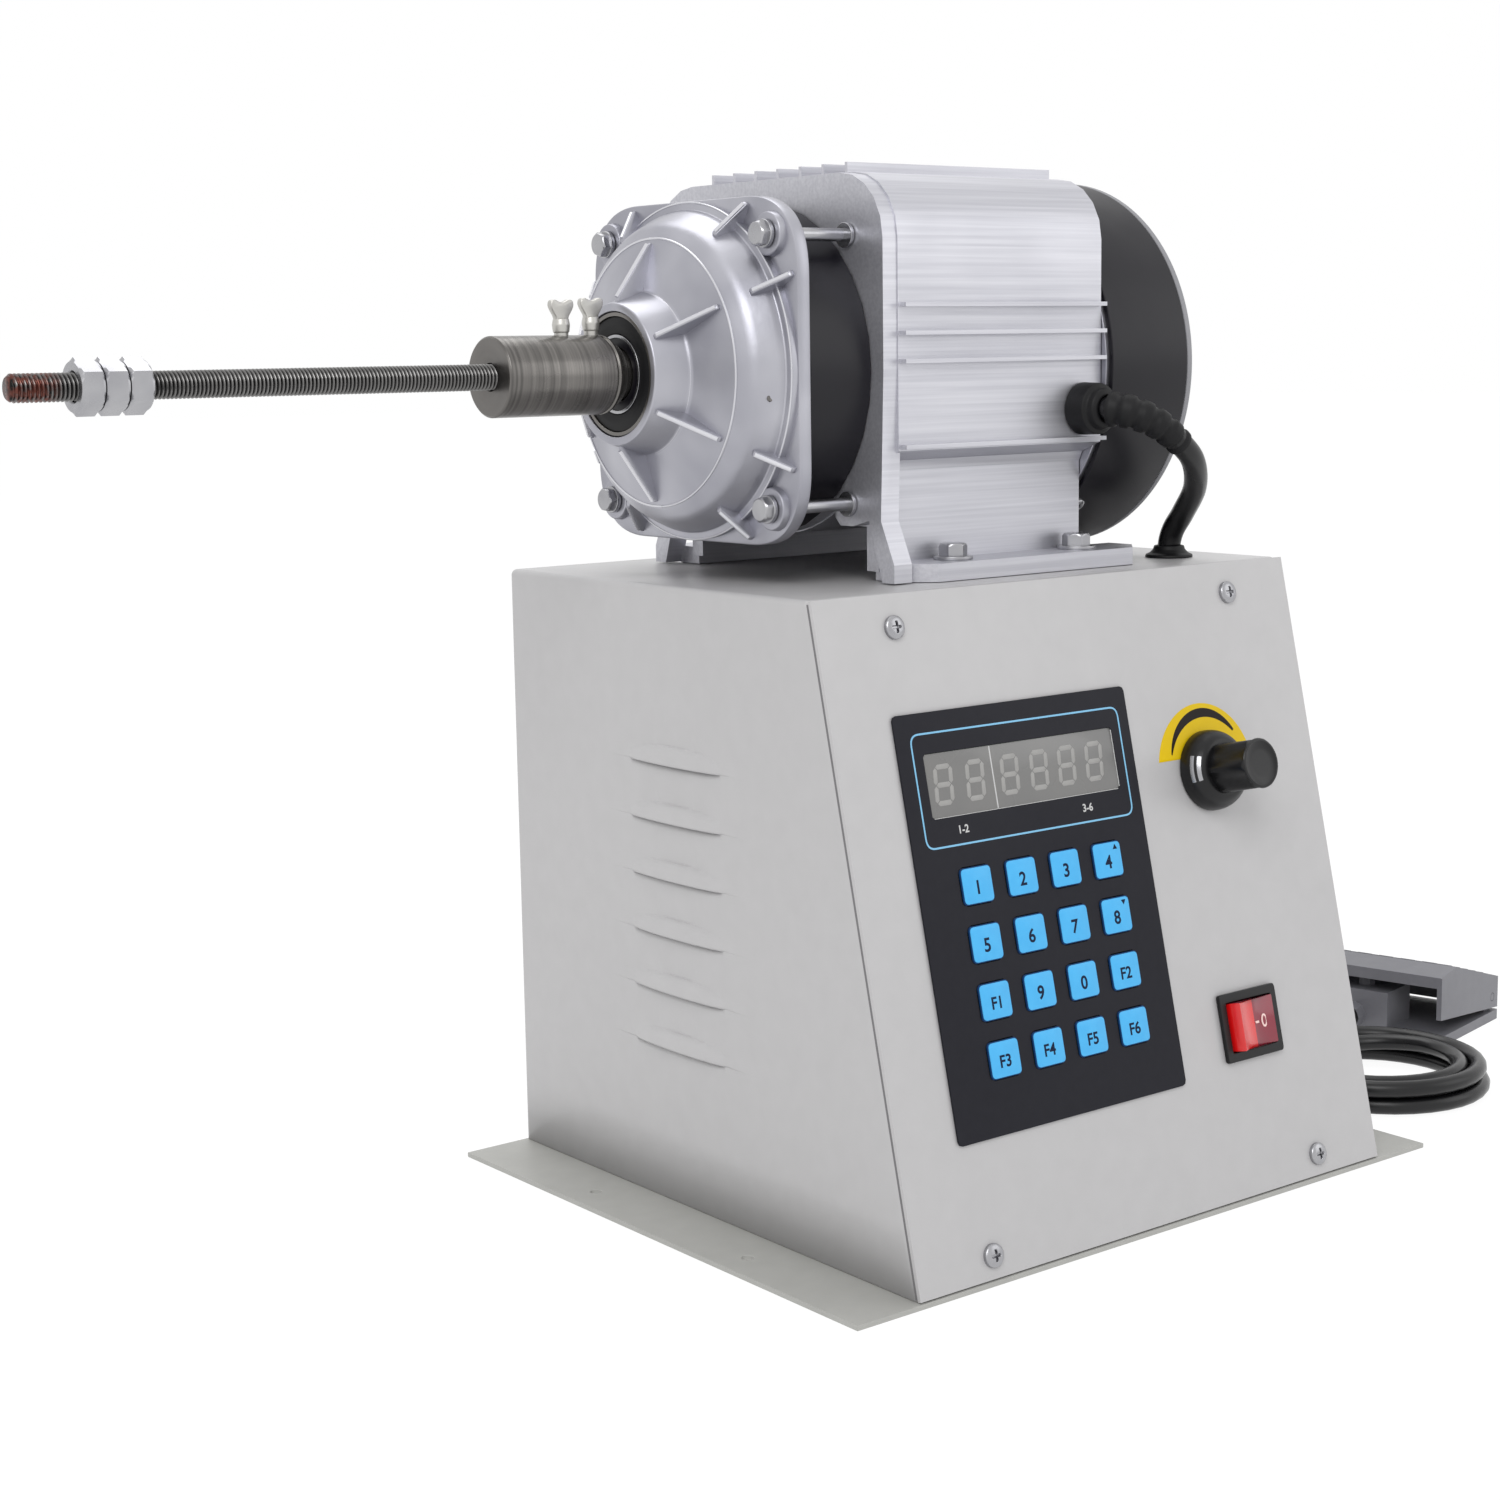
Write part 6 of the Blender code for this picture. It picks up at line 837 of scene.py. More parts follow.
lip = np.stack([np.clip(section[:, 0], -CASE_HALF + LIP, CASE_HALF - LIP),
                np.minimum(section[:, 1], CASE_HEIGHT - LIP)], -1)
rows = [case_row(lip, panel_front(lip[:, 1]))]
for angle in bend:
    flat = section + inward * BEND * (1 - math.sin(angle))
    rows.append(case_row(flat, panel_front(flat[:, 1]) + BEND * (1 - math.cos(angle))))
wall_y = np.concatenate([np.linspace(-0.016, 0.044, 31), [0.060, 0.090]])
start = panel_front(section[:, 1]) + BEND
for share in (0.4, 0.8):
    rows.append(case_row(section, start + (WALL_START - start) * share))
first_wall_row = len(rows)
for y in wall_y:
    push = louvre_rise(np.full(len(section), y), section[:, 1]) * on_side
    rows.append(case_row(section - inward * push[:, None], y))
for angle in bend:
    flat = section + inward * BEND * (1 - math.cos(angle))
    rows.append(case_row(flat, CASE_BACK - BEND + BEND * math.sin(angle)))
wrap = np.array(rows)

columns = wrap.shape[1]
mouth_columns = {int(np.argmin(np.abs(levels - (middle + MOUTH - MOUTH_LIP)))) for middle in LOUVRE_Z}
mouth_columns |= {columns - 2 - column for column in mouth_columns}
faces = []
for face in grid_faces(len(wrap), columns, closed=False):
    row, column = divmod(face[0], columns)
    middle_y = (wrap[row, 0, 1] + wrap[row + 1, 0, 1]) / 2
    along_louvre = row >= first_wall_row and abs(middle_y - LOUVRE_MIDDLE) < LOUVRE_HALF_LENGTH
    if not (column in mouth_columns and along_louvre):
        faces.append(face)
faces.append([(len(wrap) - 1) * columns + i for i in range(columns)])
case_wrap = solid_mesh("case_wrap", wrap, faces, 30.0)
sheet = case_wrap.modifiers.new("sheet", "SOLIDIFY")
sheet.thickness, sheet.offset, sheet.use_even_offset = SHEET, -1.0, True
dress(case_wrap, "case_paint", nodes=("case_shell",))
print("case wrap:", len(faces), "faces")

# %% [markdown]
# The joint between panel and case reads as a thin dark line down each side. A mid-grey strip of
# painted shadow lies in the groove there, just inside the panel's edge and the case's bend.

# %% Strips of painted shadow behind the panel's two side edges
strip_section = np.array([(0.12775, -0.00030), (0.12775, 0.00115), (0.1272, 0.0006), (0.1268, 0.0003),
                          (0.1268, -0.00030)])
strips = [np.stack([np.stack([side * strip_section[:, 0], panel_front(z) + strip_section[:, 1],
                              np.full(len(strip_section), z)], -1) for z in (0.0028, CASE_HEIGHT - 0.0015)])
          for side in (-1, 1)]
dress(merged("panel_seam_shadows", strips), "painted_seam_shadow", "case_paint")
print("panel strips:", len(strips))

# %% [markdown]
# ## Screw heads
# The panel is held by four pan-head screws. A cross recess is a dip in the height of the domed
# head, kept narrow and short by two clips that each fall over a small distance.

# %% Panel screws
CROSS_WIDTH, CROSS_REACH, CROSS_DEPTH = 0.13, 0.52, 0.6


def cross_head(radius, height, frame_of):
    """Grid of a pan head: quarter-ellipse dome less a cross of tapering depth."""
    share = np.concatenate([np.linspace(0, 0.86, 26), np.linspace(0.88, 1.0, 10)])
    around = round_angles(96)
    r = share[:, None] * radius
    x, y = r * np.cos(around), r * np.sin(around)
    dome = height * (0.45 + 0.55 * np.sqrt(np.clip(1 - share[:, None] ** 2.6, 0, 1)))
    narrow = (radius * CROSS_WIDTH - np.minimum(np.abs(x), np.abs(y))) / (radius * 0.04)
    short = (radius * CROSS_REACH - np.maximum(np.abs(x), np.abs(y))) / (radius * 0.12)
    dip = CROSS_DEPTH * height * np.clip(narrow, 0, 1) * np.clip(short, 0, 1)
    rim = np.stack([radius * np.cos(around), radius * np.sin(around), 0 * around], -1)[None]
    return world(frame_of, np.concatenate([np.stack([x, y, dome - dip], -1), rim]))


screw_places = [(u, v, 0.0) for u in (-0.091, 0.091) for v in (0.0126, 0.2453)]
panel_screws = merged("panel_screws", [cross_head(0.0045, 0.0024, shifted(PANEL, p)) for p in screw_places],
                      caps=(False, True), angle=45.0)
dress(panel_screws, "zinc_plate")
print("panel screws:", len(screw_places))

# %% [markdown]
# ## Lead glands and strain reliefs
# A gland is a hexagon collar against the wall and a round cap nut that closes on the lead.
# The relief is a ribbed sleeve that tapers along the first stretch of the lead itself.

# %% Glands and reliefs
RIB_DEPTH, GLAND_FLAT = 0.0009, 0.0091


def relief(name, path, first, last, ribs):
    """Pipe along a path whose radius falls from first to last, less a groove between ribs."""
    share = np.linspace(0, 1, ribs * 8 + 1)
    reach = np.linspace(0, 1, len(path))
    line = np.stack([np.interp(share, reach, path[:, i]) for i in range(3)], -1)
    groove = np.clip(np.cos(2 * math.pi * share * ribs) * -1.6, 0, 1)
    radius = first + (last - first) * share - groove * RIB_DEPTH
    return dress(surface(name, pipe_grid(line, radius, 36), angle=50.0), "matt_rubber", "black_rubber")


gland_line = [(0.00405, -0.010), (0.0068, -0.010), (0.0068, 0.0), (0.0100, 0.0), (0.0100, 0.0048),
              (0.0079, 0.0050), (0.0079, 0.0102), (0.0062, 0.0122), (0.00405, 0.0122)]
RIGHT_WALL = ((CASE_HALF, 0.036, 0.030), Y_WAY, Z_WAY, X_WAY)
BACK_WALL = ((0.085, CASE_BACK, 0.035), (-1, 0, 0), Z_WAY, Y_WAY)
for name, wall, nodes in (("pedal_gland", RIGHT_WALL, ("pedal_lead_gland",)), ("mains_gland", BACK_WALL, ())):
    gland = surface(name, revolved(gland_line, wall, soft=0.0003, flat=GLAND_FLAT), **OPEN_ENDS)
    dress(gland, "black_plastic", nodes=nodes)
case_end, pedal_end = lead_path[:14], lead_path[:-13:-1]
relief("case_relief", case_end, 0.0060, 0.0045, 6)
relief("pedal_relief", pedal_end, 0.0058, 0.0045, 6)
print("reliefs:", round(path_length(case_end) * 1000), "and", round(path_length(pedal_end) * 1000), "mm")

# %% [markdown]
# ## Keys
# The legends are generic: digits, function numbers and two arrow heads. A print is a text curve
# made into a thin mesh, centred by its own box and laid on the panel.

# %% Printed marks
PRINT_THICKNESS, PRINT_WEIGHT = 0.00004, 0.022


def printed(name, words, size, u, v, height, look, slot_name, body="machine"):
    """Words as a thin flat mesh on the panel, centred on (u, v), reading across it."""
    curve = bpy.data.curves.new(name, "FONT")
    curve.body, curve.size = words, size
    curve.align_x, curve.align_y = "CENTER", "CENTER"
    curve.extrude, curve.resolution_u, curve.offset = PRINT_THICKNESS / 2, 4, size * PRINT_WEIGHT
    flat = new_piece(name + "_text", curve)
    bpy.context.view_layer.update()
    mesh = bpy.data.meshes.new_from_object(flat.evaluated_get(bpy.context.evaluated_depsgraph_get()))
    bpy.data.objects.remove(flat)
    places = coordinates_of(mesh)
    middle = (places[:, :2].max(0) + places[:, :2].min(0)) / 2
    local = np.stack([u + places[:, 0] - middle[0], v - (places[:, 1] - middle[1]),
                      height + places[:, 2]], -1)
    mesh.vertices.foreach_set("co", world(PANEL, local).ravel())
    mesh.materials.clear()
    mesh.update()
    return dress(new_piece(name, mesh), look, slot_name, body=body)


print("prints are", round(PRINT_THICKNESS * 1000, 2), "mm thick")

# %% [markdown]
# Each key is a flat blue cap with a darker skirt, so it reads as a moulded button in the film.
# The sixteen keys stand in four columns and four rows at an even pitch.

# %% The sixteen keys
LEGENDS = ("1", "2", "3", "4", "5", "6", "7", "8", "F1", "9", "0", "F2", "F3", "F4", "F5", "F6")
ARROW_WAYS = {"4": -1, "8": 1}
KEY_START, KEY_PITCH, KEY_COLUMNS = (-0.0714, 0.1112), (0.0230, 0.02167), 4
SKIRT_BOX, CAP_BOX = (0.0155, 0.0140, 0.0021), (0.0147, 0.0132, 0.0019)
ONE_SIGN, TWO_SIGNS = 0.0072, 0.0064
ARROW_DROP, LEGEND_DROP, CAP_TOP = 0.0046, 0.0008, 0.0020
for number, legend in enumerate(LEGENDS):
    u = KEY_START[0] + KEY_PITCH[0] * (number % KEY_COLUMNS)
    v = KEY_START[1] + KEY_PITCH[1] * (number // KEY_COLUMNS)
    name = "key_%d" % (number + 1)
    body = name + "_body"
    skirt = slab(name + "_skirt", rounded_box(*SKIRT_BOX, (u, v)), 0.0009, 0.0017, 0.0002)
    dress(skirt, "key_edge_blue", "key_blue", (name,), body)
    cap = slab(name + "_cap", rounded_box(*CAP_BOX, (u, v)), 0.0016, CAP_TOP, 0.0002)
    dress(cap, "key_blue", body=body)
    printed(name + "_legend", legend, ONE_SIGN if len(legend) == 1 else TWO_SIGNS, u, v + LEGEND_DROP,
            0.00202, "navy_print", "key_blue", body)
    if legend in ARROW_WAYS:
        way = ARROW_WAYS[legend]
        tip = (np.array([(0.0045, way * 0.0011), (0.0057, -way * 0.0009), (0.0033, -way * 0.0009)])
               + (u, v - ARROW_DROP))
        dress(slab(name + "_arrow", tip, CAP_TOP, 0.00204, 0.00001), "navy_print", "key_blue", body=body)
print("keys:", len(LEGENDS))

# %% [markdown]
# ## Display
# Six seven-segment digits, unlit, stand a little paler than the grey window. A thin bright line,
# a painted highlight, shows where the window's edge catches the light, and a blue line frames the whole
# field.

# %% Display window and digits
DIGIT_WIDTH, DIGIT_HEIGHT, STROKE, SLANT = 0.0095, 0.0154, 0.0019, 0.09
DIGIT_ACROSS, DIGIT_DOWN = (-0.0791, -0.0631, -0.0453, -0.0299, -0.0151, -0.0002), 0.0725
LENS_TOP, PRINT_EDGE = 0.0006, 0.00001


def bar_outline(start, end, upright_bar):
    """Hexagon bar between two ends, pointed by half a stroke at each; it lies or stands."""
    half = STROKE / 2
    lying = np.array([(start, 0), (start + half, -half), (end - half, -half), (end, 0),
                      (end - half, half), (start + half, half)])
    return lying[:, ::-1] * (-1, 1) if upright_bar else lying


def segment_digit(u, v):
    """Seven hexagon bars of an 8, as outlines in the panel plane."""
    bars = []
    gap, half = STROKE * 0.12, STROKE / 2
    top, reach = DIGIT_HEIGHT / 2 - half, DIGIT_WIDTH / 2 - half - gap
    for middle in (-DIGIT_HEIGHT / 2 + half, 0, top):
        bars.append(bar_outline(-reach, reach, False) + (0, middle))
    for across in (-DIGIT_WIDTH / 2 + half, DIGIT_WIDTH / 2 - half):
        for start, end in ((-DIGIT_HEIGHT / 2 + half, 0), (0, top)):
            bars.append(bar_outline(start + gap, end - gap, True) + (across, 0))
    return [bar + np.stack([-SLANT * bar[:, 1], 0 * bar[:, 1]], -1) + (u, v) for bar in bars]


window = rounded_box(0.0985, 0.0241, 0.0003, ((-0.0874 + 0.0113) / 2, (0.0604 + 0.0847) / 2))
dress(slab("display_window", window, -0.0003, LENS_TOP, 0.0001), "display_lens", "circuit_board")
bars = [bar for u in DIGIT_ACROSS for bar in segment_digit(u, DIGIT_DOWN)]
digits = merged("display_digits", [slab_grid(bar, LENS_TOP, 0.00064, PRINT_EDGE, PANEL) for bar in bars])
dress(digits, "display_digit", "circuit_board")
print("digit bars:", len(bars))

# %% [markdown]
# The window is split by a pale seam, and its lower and right edges catch the light: thin strips
# carry that painted highlight. The blue line is a band inside a rounded outline.

# %% Seam, glints, frame line and marks
for name, box, low, high, look, slot_name in (
        ("display_seam", rounded_box(0.0006, 0.0236, 0.0001, (-0.0539, 0.07255)), LENS_TOP, 0.00063,
         "pale_print", "circuit_board"),
        ("display_glint", rounded_box(0.0985, 0.0007, 0.0001, (-0.03805, 0.0849)), 0.0003, 0.0008,
         "glint_white", "keypad_film"),
        ("display_glint_side", rounded_box(0.0007, 0.0243, 0.0001, (0.0116, 0.0726)), 0.0003, 0.0008,
         "glint_white", "keypad_film")):
    dress(slab(name, box, low, high, PRINT_EDGE), look, slot_name)
line_outside = rounded_box(0.109, 0.0432, 0.0045, (-0.0382, 0.0741), 8)
line_band = band_grid(line_outside, offset(line_outside, 0.0007), 0.00105, 0.00114)
dress(surface("frame_line", line_band, **OPEN_ENDS), "line_blue", "keypad_film")
MARKS = (("1-2", -0.0730), ("3-6", -0.0080))
for index, (words, u) in enumerate(MARKS):
    printed("display_mark_%d" % (index + 1), words, 0.0042, u, 0.0898, 0.00112, "pale_print", "keypad_film")
print("display marks:", len(MARKS))

# %% [markdown]
# ## Speed knob and its dial
# The knob is one turned skirt, a quarter ellipse from rim to grip, and a grip whose radius
# ripples six times round. Two bright silver patches lie on the skirt at one angle.

# %% Speed knob
KNOB_PLACE = (0.0628, 0.0835)
KNOB = shifted(PANEL, (*KNOB_PLACE, 0.0))
# The skirt's quarter ellipse: centre (radius, height) and its two half axes
SKIRT_RADIUS, SKIRT_FOOT, SKIRT_REACH, SKIRT_RISE = 0.0106, 0.0021, 0.0057, 0.0085
PATCH_LIFT, PATCH_SINK, PATCH_STEPS = 0.00012, 0.00002, 12

skirt_line = [(0.0105, 0.0006), (0.0163, 0.0006), (0.0163, 0.0021)]
skirt_line += [(SKIRT_RADIUS + SKIRT_REACH * math.cos(a), SKIRT_FOOT + SKIRT_RISE * math.sin(a))
               for a in np.linspace(0, math.pi / 2, 14)[1:]]
skirt_line += [(0.0090, 0.0106), (0.0090, 0.0040)]
dress(turned("knob_skirt", skirt_line, KNOB, soft=0.0002), "black_plastic", nodes=("speed_knob",),
      body="speed_knob_body")


def knob_grip():
    """Grip: radius = r(height) - ripple * (1 - cos 6a) / 2, closed by a dished cap."""
    around = round_angles(144)
    stations = np.array([(0.0098, 0.0090), (0.0108, 0.0100), (0.0107, 0.0180), (0.0106, 0.0272),
                         (0.0103, 0.0281), (0.0100, 0.0285)])
    ripple = np.array([0, 0.0012, 0.0016, 0.0016, 0.0008, 0.0])[:, None]
    radius = stations[:, 0:1] - ripple * (1 - np.cos(6 * around)) / 2
    cap = np.array([(0.0097, 0.0289), (0.0090, 0.0290), (0.0086, 0.0287), (0.0050, 0.0286), (0.0, 0.0286)])
    radius = np.concatenate([radius, cap[:, 0:1] + 0 * around])
    height = np.concatenate([stations[:, 1:2], cap[:, 1:2]]) + 0 * around
    return world(KNOB, np.stack([radius * np.cos(around), radius * np.sin(around), height], -1))


dress(surface("knob_grip", knob_grip(), angle=40.0), "black_plastic", body="speed_knob_body")


def skirt_patch(middle, spread, low, high):
    """Patch on the skirt between two steepnesses, round a direction, as a thin shell."""
    around = np.linspace(middle - spread, middle + spread, PATCH_STEPS)
    rise = np.linspace(low, high, PATCH_STEPS)[:, None]
    rows = []
    for up in (PATCH_LIFT, PATCH_SINK):
        radius = SKIRT_RADIUS + (SKIRT_REACH + up) * np.cos(rise)
        height = SKIRT_FOOT + (SKIRT_RISE + up) * np.sin(rise)
        rows.append(np.stack([radius * np.cos(around), radius * np.sin(around), height + 0 * around], -1))
    return world(KNOB, np.concatenate([rows[0], rows[1][::-1], rows[0][:1]]))


STEEPNESSES = ((0.42, 0.62), (0.78, 1.02))
for index, (low, high) in enumerate(STEEPNESSES):
    patch = surface("knob_bright_patch_%d" % (index + 1), skirt_patch(math.radians(186), math.radians(20), low, high),
                    closed=False, **OPEN_ENDS)
    dress(patch, "zinc_plate", "black_plastic", body="speed_knob_body")
print("knob marks:", len(STEEPNESSES))

# %% [markdown]
# The dial is a printed segment of a circle: a yellow field with a dark crescent that widens as
# the speed rises. A small round stop sits under the skirt's left edge. The crescent's middle
# line and half width are formulas of the share along it.

# %% Dial print
DIAL_RADIUS, DIAL_CUT, SWEEP_FROM, SWEEP_OVER = 0.0275, 0.0062, math.radians(24), math.radians(118)
chord = math.asin(DIAL_CUT / DIAL_RADIUS)
arc = np.linspace(math.pi + chord, 2 * math.pi - chord, 60)
field = np.stack([DIAL_RADIUS * np.cos(arc), DIAL_RADIUS * np.sin(arc)], -1) + KNOB_PLACE
dress(slab("dial_field", field, 0.0, 0.00008, PRINT_EDGE), "label_yellow", "case_paint")
t = np.linspace(0, 1, 48)
sweep = math.pi + SWEEP_FROM + SWEEP_OVER * t
middle = 0.0206 + 0.0033 * np.sin(np.clip(t * 1.25, 0, 1) * math.pi / 2)
half = 0.00015 + 0.00175 * np.sin(math.pi * np.clip(t * 0.92 + 0.02, 0, 1)) ** 0.9
outer, inner = (np.stack([radius * np.cos(sweep), radius * np.sin(sweep)], -1) + KNOB_PLACE
                for radius in (middle + half, middle - half))
crescent = surface("dial_crescent", band_grid(outer, inner, 0.00006, 0.00012), closed=False, **OPEN_ENDS)
dress(crescent, "black_print", "case_paint")
dot = turned("dial_dot", [(0.0, 0.0), (0.0016, 0.0), (0.0016, 0.0008), (0.0, 0.0010)],
             shifted(PANEL, (0.0485, 0.0837, 0)), 32, 0.0002, closed=False)
dress(dot, "black_plastic", "case_paint")
print("crescent is at most", round(2000 * float(half.max()), 2), "mm wide")

# %% [markdown]
# ## Rocker switch
# The paddle's section is a shallow dish between two raised ends over a keel, carried across the
# switch and tipped to one side about its pivot. Its sunken half gets a darker red, painted shade
# as if that half lay in the housing's shadow, so the faces on that side take a second finish.

# %% Rocker paddle
SWITCH_PLACE, PIVOT_HEIGHT, TILT = (0.0628, 0.1865), -0.0030, math.radians(9.0)
PADDLE_HALF_WIDTH, SHADE_FROM = 0.0097, 0.0007
half_turns = np.linspace(0, 1, 12)
top_left = np.stack([-0.0117 + 0.0117 * half_turns, 0.0081 - 0.0021 * np.sin(half_turns * math.pi / 2)], -1)
top_right = np.stack([0.0117 * half_turns, 0.0060 + 0.0021 * (1 - np.cos(half_turns * math.pi / 2))], -1)
section_line = np.concatenate([[(-0.0120, 0.0)], [(-0.0120, 0.0076)], top_left, top_right[1:],
                               [(0.0120, 0.0076), (0.0120, 0.0), (0.0040, -0.0068), (-0.0040, -0.0068)]])
turned_line = np.stack([section_line[:, 0] * math.cos(TILT) + section_line[:, 1] * math.sin(TILT),
                        -section_line[:, 0] * math.sin(TILT) + section_line[:, 1] * math.cos(TILT)], -1)
PADDLE = (world(PANEL, (*SWITCH_PLACE, PIVOT_HEIGHT)), PANEL[1], PANEL[3], PANEL[2])
paddle = slab("paddle_fine", turned_line, -PADDLE_HALF_WIDTH, PADDLE_HALF_WIDTH, 0.0005, PADDLE, 30.0)
dress(paddle, "switch_red", nodes=("rocker_paddle",), body="rocker_body")
# The second finish paints shade on the faces of the paddle's sunken half.
paddle.data.materials.append(looks["switch_painted_shade"])
centres = np.empty(len(paddle.data.polygons) * 3)
paddle.data.polygons.foreach_get("center", centres)
across = centres.reshape(-1, 3)[:, 0] - SWITCH_PLACE[0]
paddle.data.polygons.foreach_set("material_index", (across > SHADE_FROM).astype(np.int32))
print("paddle stands", round((turned_line[:, 1].max() + PIVOT_HEIGHT) * 1000, 1), "mm over the panel")

# %% [markdown]
# The two marks of the switch, a round and a dash, lie on the tipped dish. Their frame stands on
# the dish's surface at the mark and leans with its slope there.

# %% Marks on the paddle
# The slope is the paddle's tilt less the dish's own slope at the marks
MARK_ACROSS, MARK_SLOPE = 0.0069, math.radians(9.0 - 4.0)


def on_paddle(u):
    """Height of the paddle's top over the panel at an across place, from the turned section."""
    line = turned_line[section_line[:, 1] > 0.0055]
    order = np.argsort(line[:, 0])
    return float(np.interp(u, line[order, 0], line[order, 1])) + PIVOT_HEIGHT


RING = (world(PANEL, (SWITCH_PLACE[0] + MARK_ACROSS, SWITCH_PLACE[1], on_paddle(MARK_ACROSS) + 0.0001)),
        (math.cos(MARK_SLOPE), 0, 0) - PANEL_OUT * math.sin(MARK_SLOPE), PANEL_DOWN,
        PANEL_OUT * math.cos(MARK_SLOPE) + (math.sin(MARK_SLOPE), 0, 0))
circle = np.stack([np.cos(round_angles(48)), np.sin(round_angles(48))], -1)
round_band = band_grid(circle * (0.0017, 0.0027), circle * (0.0010, 0.0019), -0.0002, 0.00008, RING)
mark_round = surface("switch_mark_round", round_band, **OPEN_ENDS)
dress(mark_round, "switch_mark", "switch_red", body="rocker_body")
mark_dash = slab("switch_mark_dash", rounded_box(0.0020, 0.0009, 0.0002), -0.0006, 0.00006, 0.00002,
                 shifted(RING, (-0.0045, 0.0, 0.0)))
dress(mark_dash, "switch_mark", "switch_red", body="rocker_body")
print("marks lean", round(math.degrees(MARK_SLOPE)), "degrees")

# %% [markdown]
# ## Gear head
# The cover is a die casting: a hub, a flat face, a soft shoulder and a drum, all one section
# turned round the spindle, on a square flange with a round hole.

# %% Cover and flange
def dense(outline, count):
    """Closed outline resampled at equal steps."""
    line = np.concatenate([outline, outline[:1]])
    reach = np.concatenate([[0], np.cumsum(np.linalg.norm(np.diff(line, axis=0), axis=1))])
    wanted = np.linspace(0, reach[-1], count, endpoint=False)
    return np.stack([np.interp(wanted, reach, line[:, i]) for i in range(2)], -1)


def framed_plate(outline, hole_radius, low, high, edge):
    """Grid of a plate with rounded outer edges and a round hole; the hole's places stand at
    the same directions as the outline's."""
    hole = outline / np.linalg.norm(outline, axis=1, keepdims=True) * hole_radius
    small, smaller = offset(outline, edge * 0.3), offset(outline, edge)
    return stacked([(hole, low), (smaller, low), (small, low + edge * 0.3), (outline, low + edge),
                    (outline, high - edge), (small, high - edge * 0.3), (smaller, high), (hole, high),
                    (hole, low)], AXIS)


cover_line = [(0.0238, -0.1417), (0.0243, -0.1420), (0.0268, -0.1420), (0.0310, -0.1282), (0.0513, -0.1226),
              (0.0570, -0.1186), (0.0613, -0.1100), (0.0620, -0.1073), (0.0648, -0.1072), (0.0650, -0.1030),
              (0.0575, -0.1030), (0.0570, -0.1080), (0.0530, -0.1170), (0.0490, -0.1190), (0.0238, -0.1250)]
cover_soft = [0.0002, 0.0003, 0.0006, 0.0014, 0.0012, 0.0024, 0.0008, 0.0006, 0.0006, 0.0005, 0.0005,
              0.001, 0.001, 0.001, 0.001]
cover = turned("cover_dome", cover_line, steps=128, soft=cover_soft)
dress(cover, "cast_aluminium", nodes=("gearbox_cover",))
square = dense(rounded_box(0.131, 0.131, 0.030, steps=16), 280)
flange = surface("cover_flange", framed_plate(square, 0.0605, -0.1043, -0.0983, 0.0008), **OPEN_ENDS)
dress(flange, "cast_aluminium")
print("cover section:", len(cover_line), "corners")

# %% [markdown]
# Six webs stiffen the hub and eight gussets hold the square flange. Each gets a thin bead along
# its edge in a paler metal, a painted highlight, and three edges of the cover do too. Four
# bosses carry the through bolts, and a small dimple sits on the shoulder's near side.

# %% Webs, gussets, painted edge highlights and bosses
def radial_frame(angle):
    """Radius, along the spindle, and across them, at an angle from +Y towards +Z."""
    ray = (0, math.cos(angle), math.sin(angle))
    return (SPINDLE, ray, X_WAY, (0, -math.sin(angle), math.cos(angle)))


web_line = [(0.0262, -0.1262), (0.0490, -0.1215), (0.0494, -0.1243), (0.0285, -0.1400), (0.0262, -0.1400)]
gusset_line = [(0.0580, -0.1035), (0.0580, -0.1150), (0.0600, -0.1158), (0.0728, -0.1056), (0.0728, -0.1035)]
web_angles = -math.pi / 2 + math.pi / 3 * np.arange(6)
gusset_angles = [math.pi / 4 + math.pi / 2 * k + side * math.radians(15)
                 for k in range(4) for side in (-1, 1)]
BEAD_RADIUS, BOLT_ACROSS = 0.0009, 0.051
beads = []
for name, angles, line, half, edge, bead_line in (
        ("cover_webs", web_angles, web_line, 0.0011, 0.0005,
         ((0.0290, -0.1397, 0.0), (0.0488, -0.1249, 0.0))),
        ("cover_gussets", gusset_angles, gusset_line, 0.0013, 0.0006,
         ((0.0606, -0.1153, 0.0), (0.0722, -0.1061, 0.0)))):
    outline = softened(line, 0.0008, closed=True)
    ribs = [slab_grid(outline, -half, half, edge, radial_frame(a)) for a in angles]
    dress(merged(name, ribs), "cast_aluminium")
    beads += [pipe_grid(world(radial_frame(a), bead_line), BEAD_RADIUS, 10, (0, 1, 0.3)) for a in angles]
whole_turn = np.linspace(0, 2 * math.pi, 160)
for radius, station, thick in ((0.0511, -0.1226, 0.0005), (0.0648, -0.1071, 0.0004),
                               (0.0308, -0.1284, 0.0004)):
    ring = np.stack([radius * np.cos(whole_turn), radius * np.sin(whole_turn), station + 0 * whole_turn], -1)
    beads.append(pipe_grid(world(AXIS, ring), thick, 8, X_WAY))
dress(merged("cover_edge_highlights", beads), "cast_painted_highlight", "cast_aluminium")
sides = (-BOLT_ACROSS, BOLT_ACROSS)
corners_at = [shifted(AXIS, (dy, dz, 0)) for dy in sides for dz in sides]
boss_line = [(0.0028, -0.1073), (0.0080, -0.1073), (0.0085, -0.1040), (0.0085, -0.1010), (0.0028, -0.1010)]
bosses = merged("cover_bosses", [revolved(boss_line, at, 48, 0.0006) for at in corners_at], **OPEN_ENDS)
dress(bosses, "cast_aluminium")
dimple = turned("cover_dimple", [(0.0, 0.0), (0.0013, 0.0), (0.0011, 0.0004), (0.0, 0.0003)],
                (SPINDLE + (-0.1130, -0.0589, -0.0095), X_WAY, (0, 0.16, 0.99), (0, -0.99, 0.16)), 24, 0.0001,
                closed=False)
dress(dimple, "turned_steel", "cast_aluminium")
print("webs and gussets:", len(web_angles), len(gusset_angles))

